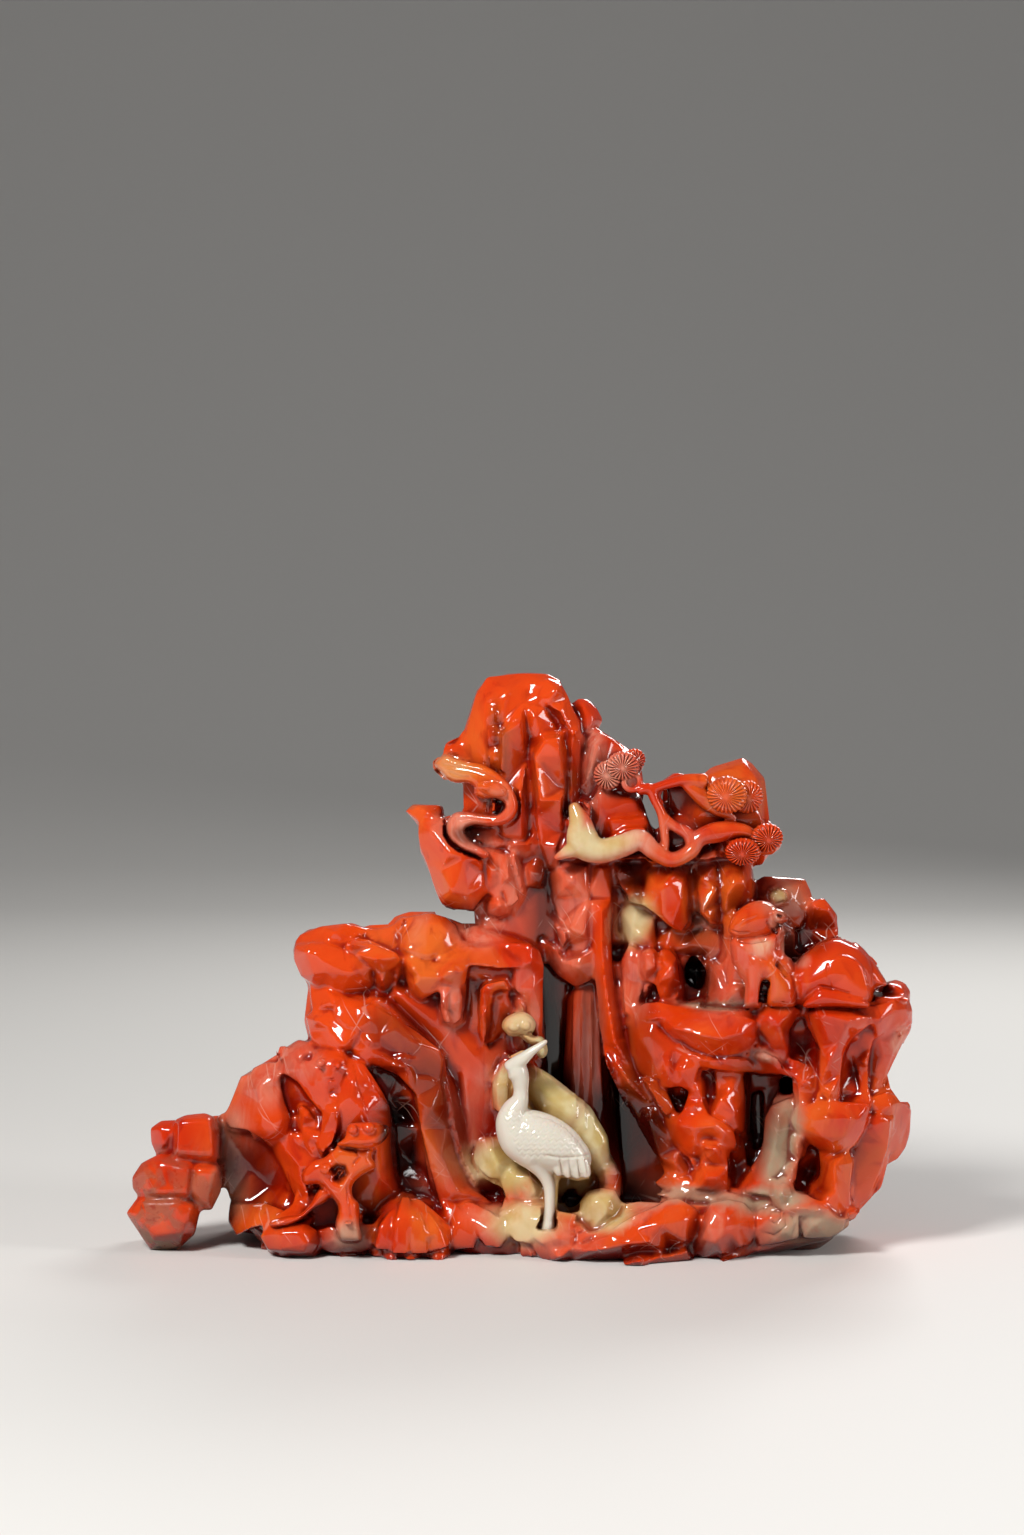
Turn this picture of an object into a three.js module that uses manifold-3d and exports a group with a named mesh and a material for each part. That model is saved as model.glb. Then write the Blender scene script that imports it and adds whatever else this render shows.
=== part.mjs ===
// A table ornament carved from one block of banded red agate: a miniature mountain of crystal-like
// crags with a crane under an overhang, a deer at rest on a shelf, an old pine over a cliff, a
// scrolling cloud and two sprays of lucky fungus. Millimetres, +Z up, the front towards -Y, the
// origin in the middle of the base.
import * as THREE from "three";
import { ConvexGeometry } from "three/addons/geometries/ConvexGeometry.js";
import { mergeVertices } from "three/addons/utils/BufferGeometryUtils.js";
import Module from "manifold-3d";

const wasm = await Module();
wasm.setup();

// Driving sizes of the whole carving.
const WIDTH = 197;
const HEIGHT = 144;
const DEPTH = 76;
const LEFT = -WIDTH / 2;
const RIGHT = WIDTH / 2;
const FRONT = -DEPTH / 2;
const BACK = DEPTH / 2;

// The outlines below are drawn on the upright plane of the front stones, as an eye a metre away and a
// little above sees them: a part that lies deeper than the plane is larger and lower than its drawing.
const FRONT_STONES = -33;
const EYE_AWAY = 998;
const EYE_HEIGHT = 181.3;

// How coarse the cut faces are.
const BAR_SIDES = 6;
const STRAND_SIDES = 6;
const PAD_SIDES = 9;
const BACK_SHRINK = 0.7;
const SLIVER = 0.7;

// How far two corners that fall on one place are drawn apart, so that the skin never touches itself.
const HAIR = 0.03;

const mix = (a, b, t) => a + (b - a) * t;

// Repeatable rough numbers from 0 to 1, one run for each seed.
function dice(seed) {
  let state = (seed * 2654435761) >>> 0;
  return () => {
    state = (Math.imul(state ^ (state >>> 15), 1 | state) + 0x6d2b79f5) >>> 0;
    return ((state ^ (state >>> 14)) >>> 0) / 4294967296;
  };
}

// How much larger a part at depth y is than its drawing on the plane of the front stones.
const swell = (y) => 1 + (y - FRONT_STONES) / EYE_AWAY;

// From a place as it is drawn to its true place, and back.
const truePlace = ([x, y, z]) => [x * swell(y), y, EYE_HEIGHT + (z - EYE_HEIGHT) * swell(y)];
const drawnPlace = ([x, y, z]) => [x / swell(y), y, EYE_HEIGHT + (z - EYE_HEIGHT) / swell(y)];

// The solid inside a closed geometry, brought from its drawn to its true places and faced outwards.
function solid(geometry) {
  const bare = new THREE.BufferGeometry().setAttribute("position", geometry.getAttribute("position"));
  bare.setIndex(geometry.index);
  const merged = mergeVertices(bare, 1e-4);
  const places = merged.attributes.position.array;
  for (let i = 0; i < places.length; i += 3) places.set(truePlace(places.subarray(i, i + 3)), i);
  const corners = new Uint32Array(merged.index.array);
  const build = () => new wasm.Manifold(
    new wasm.Mesh({ numProp: 3, vertProperties: places, triVerts: corners }),
  );
  const made = build();
  if (made.volume() > 0) return made;
  for (let i = 0; i < corners.length; i += 3) [corners[i], corners[i + 1]] = [corners[i + 1], corners[i]];
  return build();
}

// The smallest flat-faced block that holds all the corners.
function block(corners) {
  return solid(new ConvexGeometry(corners.map(([x, y, z]) => new THREE.Vector3(x, y, z))));
}

// A cut stone: its outline as seen from the front, full size at the depth `rim` and drawn in at the
// back, with the corners of its front facets given one by one.
function gem({ outline, rim, back, face = [], shrink = BACK_SHRINK }) {
  const middle = outline.reduce(
    (sum, [x, z]) => [sum[0] + x / outline.length, sum[1] + z / outline.length],
    [0, 0],
  );
  return block([
    ...outline.map(([x, z]) => [x, rim, z]),
    ...outline.map(([x, z]) => [mix(middle[0], x, shrink), back, mix(middle[1], z, shrink)]),
    ...face,
  ]);
}

// A crag: a cut stone with a flat front face, drawn in by a bevel.
function crag({ outline, front, back, bevel = 3, draw = 0.12, shrink = BACK_SHRINK }) {
  const middle = outline.reduce(
    (sum, [x, z]) => [sum[0] + x / outline.length, sum[1] + z / outline.length],
    [0, 0],
  );
  const face = outline.map(([x, z]) => [mix(x, middle[0], draw), front, mix(z, middle[1], draw)]);
  return gem({ outline, rim: front + bevel, back, face, shrink });
}

// A crystal bar from its foot to its head: it narrows to a shoulder, then comes to a blunt slanting end.
function bar({ foot, head, wide, deep = wide, turn = 0.3, taper = 0.86, tip = 0.45, neck = 2.5, slant = 0 }) {
  const sides = BAR_SIDES;
  const length = Math.hypot(head[0] - foot[0], head[1] - foot[1], head[2] - foot[2]);
  const shoulder = Math.max(0.5, 1 - neck / length);
  const rings = [
    [0, 1, 0],
    [shoulder, taper, 0],
    [1, taper * tip, slant],
  ];
  const corners = rings.flatMap(([t, share, shift]) =>
    Array.from({ length: sides }, (_, i) => {
      const a = turn + (i / sides) * 2 * Math.PI;
      return [
        mix(foot[0], head[0], t) + Math.cos(a) * 0.5 * wide * share + shift,
        mix(foot[1], head[1], t) + Math.sin(a) * 0.5 * deep * share,
        mix(foot[2], head[2], t),
      ];
    }),
  );
  return block(corners);
}

// A row of bars between two places, uneven in width, depth and height, as a carver spaces cliff columns.
function columns({ from, to, rise, count, wide, deep, seed, uneven = 0.25 }) {
  const roll = dice(seed);
  return Array.from({ length: count }, (_, i) => {
    const t = count > 1 ? i / (count - 1) : 0.5;
    const [x, y, z] = from.map((value, k) => mix(value, to[k], t));
    const reach = rise * (1 + uneven * (roll() - 0.5) * 2);
    return bar({
      foot: [x, y, z],
      head: [x + (roll() - 0.5) * 2, y + (roll() - 0.5) * 3, z + reach],
      wide: wide * (1 + uneven * (roll() - 0.5)),
      deep: deep * (1 + uneven * (roll() - 0.5)),
      turn: roll(),
      slant: (roll() - 0.5) * wide * 0.3,
      neck: wide * 0.5,
    });
  });
}

// A boulder ground to flat faces: points spread evenly over an oval, each pushed in or out a little.
function boulder({ at, size, seed = 1, corners = 14, rough = 0.14 }) {
  const roll = dice(seed);
  const golden = Math.PI * (3 - Math.sqrt(5));
  return block(
    Array.from({ length: corners }, (_, i) => {
      const up = 1 - (2 * (i + 0.5)) / corners;
      const round = Math.sqrt(1 - up * up);
      const a = i * golden + seed;
      const push = 0.5 * (1 + rough * (roll() - 0.5) * 2);
      return [
        at[0] + Math.cos(a) * round * size[0] * push,
        at[1] + Math.sin(a) * round * size[1] * push,
        at[2] + up * size[2] * push,
      ];
    }),
  );
}

// A smooth rounded form, as even as its few corners allow.
function round({ at, size, corners = 24, turn = 0 }) {
  return boulder({ at, size, corners, rough: 0, seed: turn });
}

// A strand: an oval section carried along a smooth line, with a blunt cap at each end. The sizes across
// and front to back are single numbers or lists spread evenly along the line.
function strand({ line, wide, deep = wide, sides = STRAND_SIDES, steps = line.length + 2, cap = 0.25 }) {
  const curve = new THREE.CatmullRomCurve3(
    line.map(([x, y, z]) => new THREE.Vector3(x, y, z)),
    false,
    "centripetal",
  );
  const along = (sizes, t) => {
    if (!Array.isArray(sizes)) return sizes;
    const at = t * (sizes.length - 1);
    const low = Math.min(sizes.length - 2, Math.floor(at));
    return mix(sizes[low], sizes[low + 1], at - low);
  };
  const front = new THREE.Vector3(0, -1, 0);
  const flat = 0.5 / Math.cos(Math.PI / sides);
  const places = [];
  const faces = [];
  for (let k = 0; k <= steps; k += 1) {
    const t = k / steps;
    const centre = curve.getPoint(t);
    const tangent = curve.getTangent(t);
    const across = new THREE.Vector3().crossVectors(tangent, front).normalize();
    const out = new THREE.Vector3().crossVectors(across, tangent).normalize();
    for (let i = 0; i < sides; i += 1) {
      const a = ((i + 0.5) / sides) * 2 * Math.PI;
      places.push(
        centre
          .clone()
          .addScaledVector(across, Math.cos(a) * flat * along(wide, t))
          .addScaledVector(out, Math.sin(a) * flat * along(deep, t)),
      );
    }
  }
  for (let k = 0; k < steps; k += 1)
    for (let i = 0; i < sides; i += 1) {
      const [a, b] = [k * sides + i, k * sides + ((i + 1) % sides)];
      faces.push(a, b, a + sides, b, b + sides, a + sides);
    }
  const ends = [0, 1].map((t) => {
    const out = curve.getTangent(t).multiplyScalar(
      (t ? 1 : -1) * cap * Math.min(along(wide, t), along(deep, t)),
    );
    places.push(curve.getPoint(t).add(out));
    return places.length - 1;
  });
  for (let i = 0; i < sides; i += 1) {
    const next = (i + 1) % sides;
    faces.push(ends[0], next, i, ends[1], steps * sides + i, steps * sides + next);
  }
  return solid(new THREE.BufferGeometry().setFromPoints(places).setIndex(faces));
}

// A cushion of pine needles or a fungus cap: a disc with a domed face, turned towards `facing`.
function pad({ at, radius, thick, facing = [0, -1, 0], oval = 1, spin = 0 }) {
  const turn = new THREE.Quaternion().setFromUnitVectors(
    new THREE.Vector3(0, 0, 1),
    new THREE.Vector3(...facing).normalize(),
  );
  const roll = new THREE.Quaternion().setFromAxisAngle(new THREE.Vector3(...facing).normalize(), spin);
  const rings = [
    [0.75, -0.5],
    [1, 0],
    [0.55, 0.5],
  ];
  return block(
    rings.flatMap(([share, level]) =>
      Array.from({ length: PAD_SIDES }, (_, i) => {
        const a = (i / PAD_SIDES) * 2 * Math.PI;
        return new THREE.Vector3(
          Math.cos(a) * radius * share,
          Math.sin(a) * radius * share * oval,
          level * thick,
        )
          .applyQuaternion(turn)
          .applyQuaternion(roll)
          .add(new THREE.Vector3(...at))
          .toArray();
      }),
    ),
  );
}

// The tall summit left of the middle, with its crystal bars.
function summit() {
  return Object.values({
    core: crag({
      outline: [
        [-13, 99.5], [-13, 123.9], [-13.8, 129.3], [-11.1, 138.5], [-7.9, 143.9], [-1.1, 145.4],
        [8.9, 143.4], [14.8, 132.7], [15.7, 116.6], [15.7, 99.5],
      ],
      front: -8,
      back: 26,
    }),
    leftSlab: gem({
      outline: [
        [-13.3, 120.2], [-14, 129.3], [-11.3, 138], [-10.6, 140.7], [-7.9, 144.1], [-3.5, 144.9],
        [-3.3, 138.5], [-3.8, 120.2],
      ],
      rim: -2,
      back: 14,
      face: [[-8.7, -7, 141.5], [-4.8, -9, 141], [-4.5, -12, 122], [-8.7, -11, 122], [-11.8, -7, 127.6]],
    }),
    leftWall: gem({
      outline: [[-13.3, 102], [-13.3, 123.9], [-3.8, 125.1], [-3.8, 102]],
      rim: -8,
      back: 4,
      shrink: 1,
      face: [[-12.1, -11, 121.5], [-4, -12, 122.7], [-4, -12, 103.2], [-12.1, -11, 103.2]],
    }),
    bump: bar({ foot: [-6.2, -11, 122], head: [-7, -9, 138], wide: 3.4, deep: 5, tip: 0.7 }),
    crown: gem({
      outline: [
        [-4, 141], [-3.5, 144.9], [0.1, 145.4], [6.2, 145.1], [9.1, 143.2], [14.5, 133.2], [14.8, 127.6],
        [9.9, 127.6], [-4, 131.2],
      ],
      rim: -3,
      back: 18,
      face: [
        [2.6, -8, 143.9], [8.2, -10, 142], [13.5, -12, 132.4], [9.9, -12, 129.3], [-2.8, -10, 131.7],
      ],
    }),
    rib: gem({
      outline: [
        [8.4, 142.4], [9.4, 143.4], [14.8, 133.2], [15.7, 127.6], [15.7, 109.3], [12.8, 109.3],
        [13, 131.2],
      ],
      rim: -9,
      back: 4,
      face: [[14.3, -14, 128.8], [14.3, -12, 111.7]],
    }),
    heart: gem({
      outline: [
        [-4.8, 130.7], [0.4, 137.8], [3.8, 138], [7, 136.6], [10.4, 129.3], [11.8, 119], [11.8, 99],
        [-4.8, 99],
      ],
      rim: -9,
      back: 4,
      face: [
        [1.1, -12, 136.8], [6, -12, 135.9], [8.9, -12.5, 128.8], [-2.8, -12, 128.3], [7.9, -12, 102],
        [-1.8, -12, 102],
      ],
    }),
    leftBar: gem({
      outline: [
        [-4.8, 131], [0.1, 132.7], [1.1, 130.7], [1.6, 114.1], [3.5, 102], [-3.5, 102], [-5, 116.6],
      ],
      rim: -11,
      back: -2,
      shrink: 0.9,
      face: [
        [-3.8, -15, 130.5], [-0.1, -15, 131.7], [-3.5, -15.5, 114.1], [0.4, -15.5, 114.1],
        [-0.9, -14, 103.2], [2.1, -14, 103.2],
      ],
    }),
    rightBar: gem({
      outline: [
        [3, 125.9], [6, 130.5], [10.1, 130.5], [11.3, 126.8], [11.1, 114.1], [9.1, 104.4], [7.7, 98],
        [5.5, 103.2], [3.8, 114.1],
      ],
      rim: -13,
      back: -4,
      shrink: 0.9,
      face: [
        [5.5, -18, 125.9], [7, -17, 129.3], [9.9, -17, 129.5], [9.9, -18.5, 116.6], [6, -18.5, 114.1],
        [7.2, -16, 101.5],
      ],
    }),
    grooveFill: gem({
      outline: [[9.9, 130], [15.7, 130], [16.7, 102], [9.4, 102]],
      rim: -10.5,
      back: 0,
      shrink: 1,
    }),
    blade: gem({
      outline: [
        [12.3, 137.3], [14.3, 139], [16.7, 138.8], [18.9, 136.6], [20.4, 133.7], [19.6, 132], [17.2, 130],
        [13.8, 128.8],
      ],
      rim: -1,
      back: 12,
      face: [[15.5, -5, 137.1], [18.2, -5, 134.1], [16.7, -6, 131.2]],
    }),
    paleFlank: gem({
      outline: [[14.3, 130], [19.1, 131.7], [22.6, 128.8], [25, 122.7], [23.3, 110.5], [14.3, 102]],
      rim: -4,
      back: 16,
      face: [
        [15.7, -9, 127.6], [19.1, -8, 128.3], [15.7, -12, 111.2], [20.6, -11, 114.1], [22.6, -8, 121.5],
      ],
    }),
  });
}

// The cliff under the summit, down to the floor of the cave.
function cliff() {
  return Object.values({
    core: crag({
      outline: [[-16, -8], [-13, 96], [30, 112], [40, 104], [44, -8]],
      front: 2,
      back: 31,
      draw: 0.02,
      shrink: 0.85,
    }),
    neck: gem({
      outline: [[-12.1, 91], [-9.6, 102], [7, 102], [9.9, 73.9], [-12.1, 73.9]],
      rim: -5,
      back: 20,
      shrink: 0.9,
      face: [[-7.2, -8, 99.5], [5, -8, 99.5], [6.2, -6, 76.3], [-8.4, -8, 76.3]],
    }),
    flute: gem({
      outline: [[-8.2, 102], [1.6, 102], [2.1, 91], [-0.9, 85.6], [-5.5, 85.4], [-7.9, 89.8]],
      rim: -7,
      back: 2,
      face: [
        [-5.5, -12, 100.5], [-1.6, -13, 100.5], [0.1, -12, 91.7], [-2.8, -12, 86.8], [-5.2, -12, 88.5],
      ],
    }),
    knob: round({ at: [4, -8, 96.6], size: [6.5, 8, 9], corners: 14 }),
    paleColumn: gem({
      outline: [
        [6.5, 101.5], [11.3, 101.5], [17, 100], [17.4, 79], [14.3, 76.1], [10.6, 74.9], [8.7, 83.7],
      ],
      rim: -8,
      back: 6,
      shrink: 0.9,
      face: [
        [8.9, -12, 98], [11.8, -14, 98], [15.7, -14, 97.6], [16.2, -13, 80.5], [13.3, -13, 78],
        [10.9, -12, 80.5],
      ],
    }),
    lip: gem({
      outline: [[7.9, 75.6], [13.5, 76.3], [18.2, 78.5], [19.6, 72.2], [16.2, 70.2], [10.4, 71.7]],
      rim: -3,
      back: 10,
      face: [[12.3, -8, 74.6], [17.2, -9, 75.9], [17.7, -8, 72.2]],
    }),
    redColumn: gem({
      outline: [[16.5, 100], [20.4, 100], [20.6, 78.8], [19.1, 75.1], [17, 77.6]],
      rim: -9,
      back: 4,
      shrink: 0.9,
      face: [[17.7, -12.5, 98], [19.6, -12.5, 98], [19.1, -11.5, 80]],
    }),
    dripHead: gem({
      outline: [[20.1, 100], [24, 100], [23, 92.2], [21.8, 84.9], [22.1, 76.3], [19.6, 76.3]],
      rim: -9,
      back: 4,
      shrink: 0.9,
      face: [[21.1, -13, 98], [23, -12, 98], [20.9, -12, 83.7]],
    }),
    drip: strand({
      line: [
        [20.4, -8, 82.4], [20.9, -10, 69], [22.6, -13, 55.6], [25, -14, 46.3], [30.6, -15, 37.3],
        [35.2, -16, 28.8], [42.1, -17, 19],
      ],
      wide: [4, 4.6, 5, 5.5, 5.5, 6, 7],
      deep: 10,
      steps: 7,
    }),
    fold: strand({
      line: [
        [24.5, -8, 58], [26.5, -11, 50.7], [31.8, -13, 43.9], [36.2, -14, 34.9], [40.1, -14, 26.3],
        [45.2, -15, 20.5],
      ],
      wide: [5, 6, 7, 6, 6, 7],
      deep: 10,
      steps: 5,
    }),
    fallArch: gem({
      outline: [
        [11.6, 65.4], [13.5, 69], [17.2, 71], [20.4, 69.5], [22.6, 45.9], [25.7, 16.6], [8.9, 16.6],
        [10.4, 45.9],
      ],
      rim: -2,
      back: 10,
      shrink: 0.9,
      face: [
        [14.3, -6, 67.8], [18.7, -6, 68.8], [19.6, -7, 45.9], [12.8, -7, 45.9], [21.1, -6, 19],
        [12.3, -6, 19],
      ],
    }),
    darkWall: gem({
      outline: [[4, 80], [11.3, 75.1], [11.3, 15.4], [2.6, 15.4]],
      rim: 0,
      back: 12,
      shrink: 1,
    }),
  });
}

// The red blocks and hanging columns behind the pine, with a small cave under them.
function curtain() {
  return Object.values({
    redBlock: gem({
      outline: [
        [16, 114.1], [17.2, 123.9], [21.1, 128.3], [23.3, 129], [26, 127.3], [29.4, 124.6], [30.6, 116.6],
        [29.4, 109.3],
      ],
      rim: -4,
      back: 14,
      face: [
        [22.1, -8, 127.6], [24.5, -8, 126.3], [22.6, -11, 116.6], [19.6, -10, 121.5], [27.9, -10, 117.8],
      ],
    }),
    ledge: gem({
      outline: [
        [14.3, 111.2], [18.7, 117.6], [22.6, 117.8], [29.4, 115.6], [31.3, 111.2], [29.9, 103.2],
        [14.8, 102],
      ],
      rim: -9,
      back: 10,
      face: [
        [19.6, -13, 116.1], [28.4, -13, 114.1], [29.9, -12, 111.2], [19.6, -13, 110.5],
        [17.7, -12, 104.9], [28.4, -12, 104.9],
      ],
    }),
    ledgeFront: gem({
      outline: [[21.1, 110], [31.3, 110.5], [33.5, 107.3], [31.8, 103.9], [21.6, 103.9]],
      rim: -12,
      back: 0,
      face: [[22.1, -14.5, 109.3], [30.6, -14.5, 109.8], [31.3, -14, 106.8], [23, -14, 105.9]],
    }),
    core: crag({
      outline: [
        [15.5, 104.4], [31.8, 105.4], [35.2, 105.9], [56.2, 106.3], [56.2, 88.5], [53.8, 80], [31.8, 80],
        [19.6, 77.6], [15.5, 89.8],
      ],
      front: -7,
      back: 26,
    }),
    rearWall: gem({
      outline: [[34, 103.2], [34.5, 111.2], [35.2, 119], [44, 120], [47, 102]],
      rim: -6,
      back: 10,
      face: [[41.6, -9, 117.6], [36.7, -11, 108], [44, -11, 106.8], [36.2, -7, 116.6]],
    }),
    disc: round({ at: [38.4, -9, 104.9], size: [9, 10, 8.6], corners: 16 }),
    shade: gem({
      outline: [[22.8, 100.5], [31.1, 101.5], [31.1, 88.3], [29.4, 89], [26.5, 89.5], [24.3, 93.7]],
      rim: -9,
      back: 0,
      shrink: 0.9,
      face: [[25, -11, 98.5], [29.4, -11, 98.5], [28.4, -11, 91.2]],
    }),
    columnA: gem({
      outline: [[29.4, 101.5], [35.2, 100.5], [35.2, 88.5], [33.8, 85.9], [30.9, 88.8]],
      rim: -9,
      back: 0,
      shrink: 0.9,
      face: [[31.3, -13, 99], [34, -13.5, 98.5], [33.8, -12.5, 88.5], [31.8, -12, 90.7]],
    }),
    columnB: gem({
      outline: [[34.8, 99.5], [41.8, 99.5], [42.3, 83.4], [40.1, 81.7], [37.2, 82.9], [34.5, 86.8]],
      rim: -10,
      back: 0,
      shrink: 0.9,
      face: [
        [36.2, -14, 97.6], [40.1, -14, 97.6], [41.1, -15, 89.8], [40.1, -13, 83.7], [37.4, -13, 84.4],
        [36.2, -15.5, 89.8],
      ],
    }),
    columnC: gem({
      outline: [[41.3, 102], [49.4, 104.9], [49.6, 88.5], [47.4, 83.4], [44, 86.1], [42.3, 93.4]],
      rim: -10,
      back: 0,
      shrink: 0.9,
      face: [[43.5, -14.5, 100], [47.9, -15, 102], [48.4, -15.5, 89.8], [47, -13, 84.9], [44, -14, 88.5]],
    }),
    columnD: gem({
      outline: [[49.1, 105.4], [56.7, 103.9], [57, 89.8], [55, 83.7], [49.6, 85.4]],
      rim: -9,
      back: 6,
      shrink: 0.9,
      face: [[50.9, -14, 102.4], [55.2, -14, 102], [55.2, -14.5, 89.8], [51.3, -14.5, 87.8]],
    }),
    backWall: gem({
      outline: [[33, 86.1], [57.4, 94.6], [58.7, 77.6], [58.7, 61.7], [29.4, 61.7], [30.6, 77.6]],
      rim: -6,
      back: 10,
      shrink: 0.9,
      face: [[35.5, -8, 78.8], [52.6, -10, 83.7], [53.8, -11, 64.1], [34.3, -10, 64.1]],
    }),
    crystal: gem({
      outline: [[25, 76.3], [27.9, 78.5], [33, 78], [34.3, 69], [29.4, 60.5], [26, 61], [25.2, 69]],
      rim: -8,
      back: 4,
      face: [[27, -12, 76.1], [31.3, -13, 76.3], [31.8, -13, 69], [27.4, -12, 63.4]],
    }),
    smallLeft: gem({
      outline: [[33, 73.9], [35.2, 78], [38.2, 77.1], [40.1, 72.7], [41.1, 64.4], [33.8, 63.9]],
      rim: -11,
      back: 0,
      face: [[35.2, -14, 76.1], [36.2, -16, 69], [38.7, -14, 72.7], [38.2, -17, 65.9]],
    }),
    perch: gem({
      outline: [
        [46, 71.5], [49.4, 78.8], [54.3, 81], [58.2, 77.6], [59.1, 62.9], [44, 62.9], [45.5, 66.6],
      ],
      rim: -11,
      back: 4,
      face: [[50.4, -15, 77.1], [54.8, -15, 78], [48.9, -18, 66.6], [55.2, -18, 66.6]],
    }),
    caveWall: gem({
      outline: [[21.6, 73.9], [23.5, 83.7], [28.4, 88.5], [34.3, 86.8], [34.3, 77.6], [30.6, 73.9]],
      rim: -2,
      back: 10,
      face: [[26.5, -5, 83.7], [30.6, -6, 82.4]],
    }),
  });
}

// The right-hand peak behind the pine's foliage.
function peak() {
  return Object.values({
    saddle: gem({
      outline: [
        [34.3, 116.1], [36.2, 120], [39.1, 120.5], [43.5, 120.2], [46.5, 114.1], [44, 109.3],
        [36.2, 110.5],
      ],
      rim: -4,
      back: 10,
      face: [[39.1, -9, 118.5], [43.5, -10, 118.5], [42.6, -11, 112.9]],
    }),
    mass: gem({
      outline: [
        [42.6, 104.4], [43.5, 119.5], [46.7, 122.2], [50.6, 123.4], [54.5, 124.6], [56.7, 123.2],
        [59.9, 119.5], [60.9, 114.1], [61.3, 108.3], [57.4, 102],
      ],
      rim: -3,
      back: 18,
      face: [
        [46.5, -9, 120.2], [55, -8, 122.9], [57.9, -10, 119], [58.2, -11, 109.3], [52.6, -13, 104.9],
        [45, -12, 108],
      ],
    }),
    shelf: gem({
      outline: [[44, 107.8], [49.4, 112.7], [58.7, 111.2], [60.6, 107.8], [53.8, 103.9], [45.5, 103.9]],
      rim: -9,
      back: 2,
      face: [[47.7, -14, 109.3], [55, -14, 109.3]],
    }),
    corner: gem({
      outline: [[55.7, 102], [61.3, 109.3], [62.6, 103.2], [59.1, 98], [56.7, 98]],
      rim: -6,
      back: 6,
      face: [[58.7, -11, 102]],
    }),
  });
}

// Blocks behind the deer.
function backdrop() {
  return Object.values({
    paleBlock: gem({
      outline: [
        [55.7, 88.5], [56.7, 93.2], [59.4, 95.6], [69.9, 94.9], [71.6, 91.5], [71.3, 61.7], [55.7, 61.7],
      ],
      rim: -4,
      back: 12,
      face: [[59.9, -10, 92.2], [68.4, -10, 92.4], [68.4, -12, 83.7], [60.6, -12, 77.6]],
    }),
    redBlock: gem({
      outline: [
        [67.9, 77.6], [68.4, 86.1], [71.3, 89.8], [74.3, 90.2], [77.7, 86.1], [78.7, 62.9], [68.4, 62.9],
      ],
      rim: -5,
      back: 10,
      face: [[72.1, -10, 87.8], [76, -10, 86.6], [76.5, -12, 75.1], [70.4, -12, 78.8]],
    }),
    endBlock: gem({
      outline: [
        [85, 63.4], [87.9, 69], [92.1, 70.2], [94.3, 69.3], [95.7, 67.3], [95.7, 62.4], [85.5, 62.4],
      ],
      rim: -6,
      back: 12,
      face: [[90.4, -13, 69], [94, -12, 67.3]],
    }),
  });
}

// The shelf that the deer lies on: its flat top, and the faceted stones that hang from its edge.
function shelf() {
  const edge = [
    [31.3, -21, 62.4], [44, -21, 64.1], [57.9, -21, 63.7], [68.4, -21, 63.9], [95.2, -21, 65.6],
    [95.7, -21, 60], [87.9, -21, 58], [39.1, -21, 58],
  ];
  return Object.values({
    top: block([...edge, ...edge.map(truePlace).map(([x, , z]) => drawnPlace([x, 12, z]))]),
    leftBelly: gem({
      outline: [
        [31.6, 62.4], [57.9, 63.9], [59.1, 58], [60.6, 52], [58.7, 48.3], [53.8, 47.6], [46.2, 48.8],
        [39.4, 53.2], [34, 58.3],
      ],
      rim: -18,
      back: 4,
      shrink: 0.85,
      face: [
        [36.2, -24, 61], [44, -26, 62], [52.6, -28, 61], [56.2, -29, 55.6], [51.8, -26, 51.2],
        [44, -26, 54.9], [38.2, -24, 57.1],
      ],
    }),
    tuskA: gem({
      outline: [[57.4, 62.9], [69.1, 63.4], [69.6, 54.4], [68.4, 48.8], [66, 49.3], [60.6, 56.8]],
      rim: -20,
      back: 0,
      face: [[60.6, -26, 62], [67.4, -27, 62.4], [65, -27, 59.5], [68.4, -24, 54.4], [61.6, -25, 59.5]],
    }),
    keel: gem({
      outline: [[52.6, 52], [61.1, 54.4], [66.5, 51.2], [68.4, 46.3], [59.9, 47.3], [53.8, 47.6]],
      rim: -19,
      back: 0,
      face: [[60.6, -24, 52.7], [64.8, -22, 49.3], [56.2, -24, 49.3]],
    }),
    tuskB: gem({
      outline: [
        [69.9, 62.9], [84.5, 63.4], [86.2, 60], [82.6, 56.1], [78.7, 52], [73.8, 52], [71.3, 56.8],
      ],
      rim: -20,
      back: 0,
      face: [[74.8, -27, 62.4], [80.6, -29, 61.7], [85.2, -25, 60.2], [78.7, -24, 53.7], [75.5, -26, 58]],
    }),
    rightEnd: gem({
      outline: [
        [83.5, 62.9], [95.2, 65.9], [96.2, 62.9], [96.2, 58], [92.6, 53.7], [88.4, 50.7], [85, 55.6],
      ],
      rim: -12,
      back: 8,
      face: [[85, -22, 60.5], [90.4, -22, 63.4], [94.8, -17, 62.4], [87.9, -19, 57.1]],
    }),
  });
}

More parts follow.
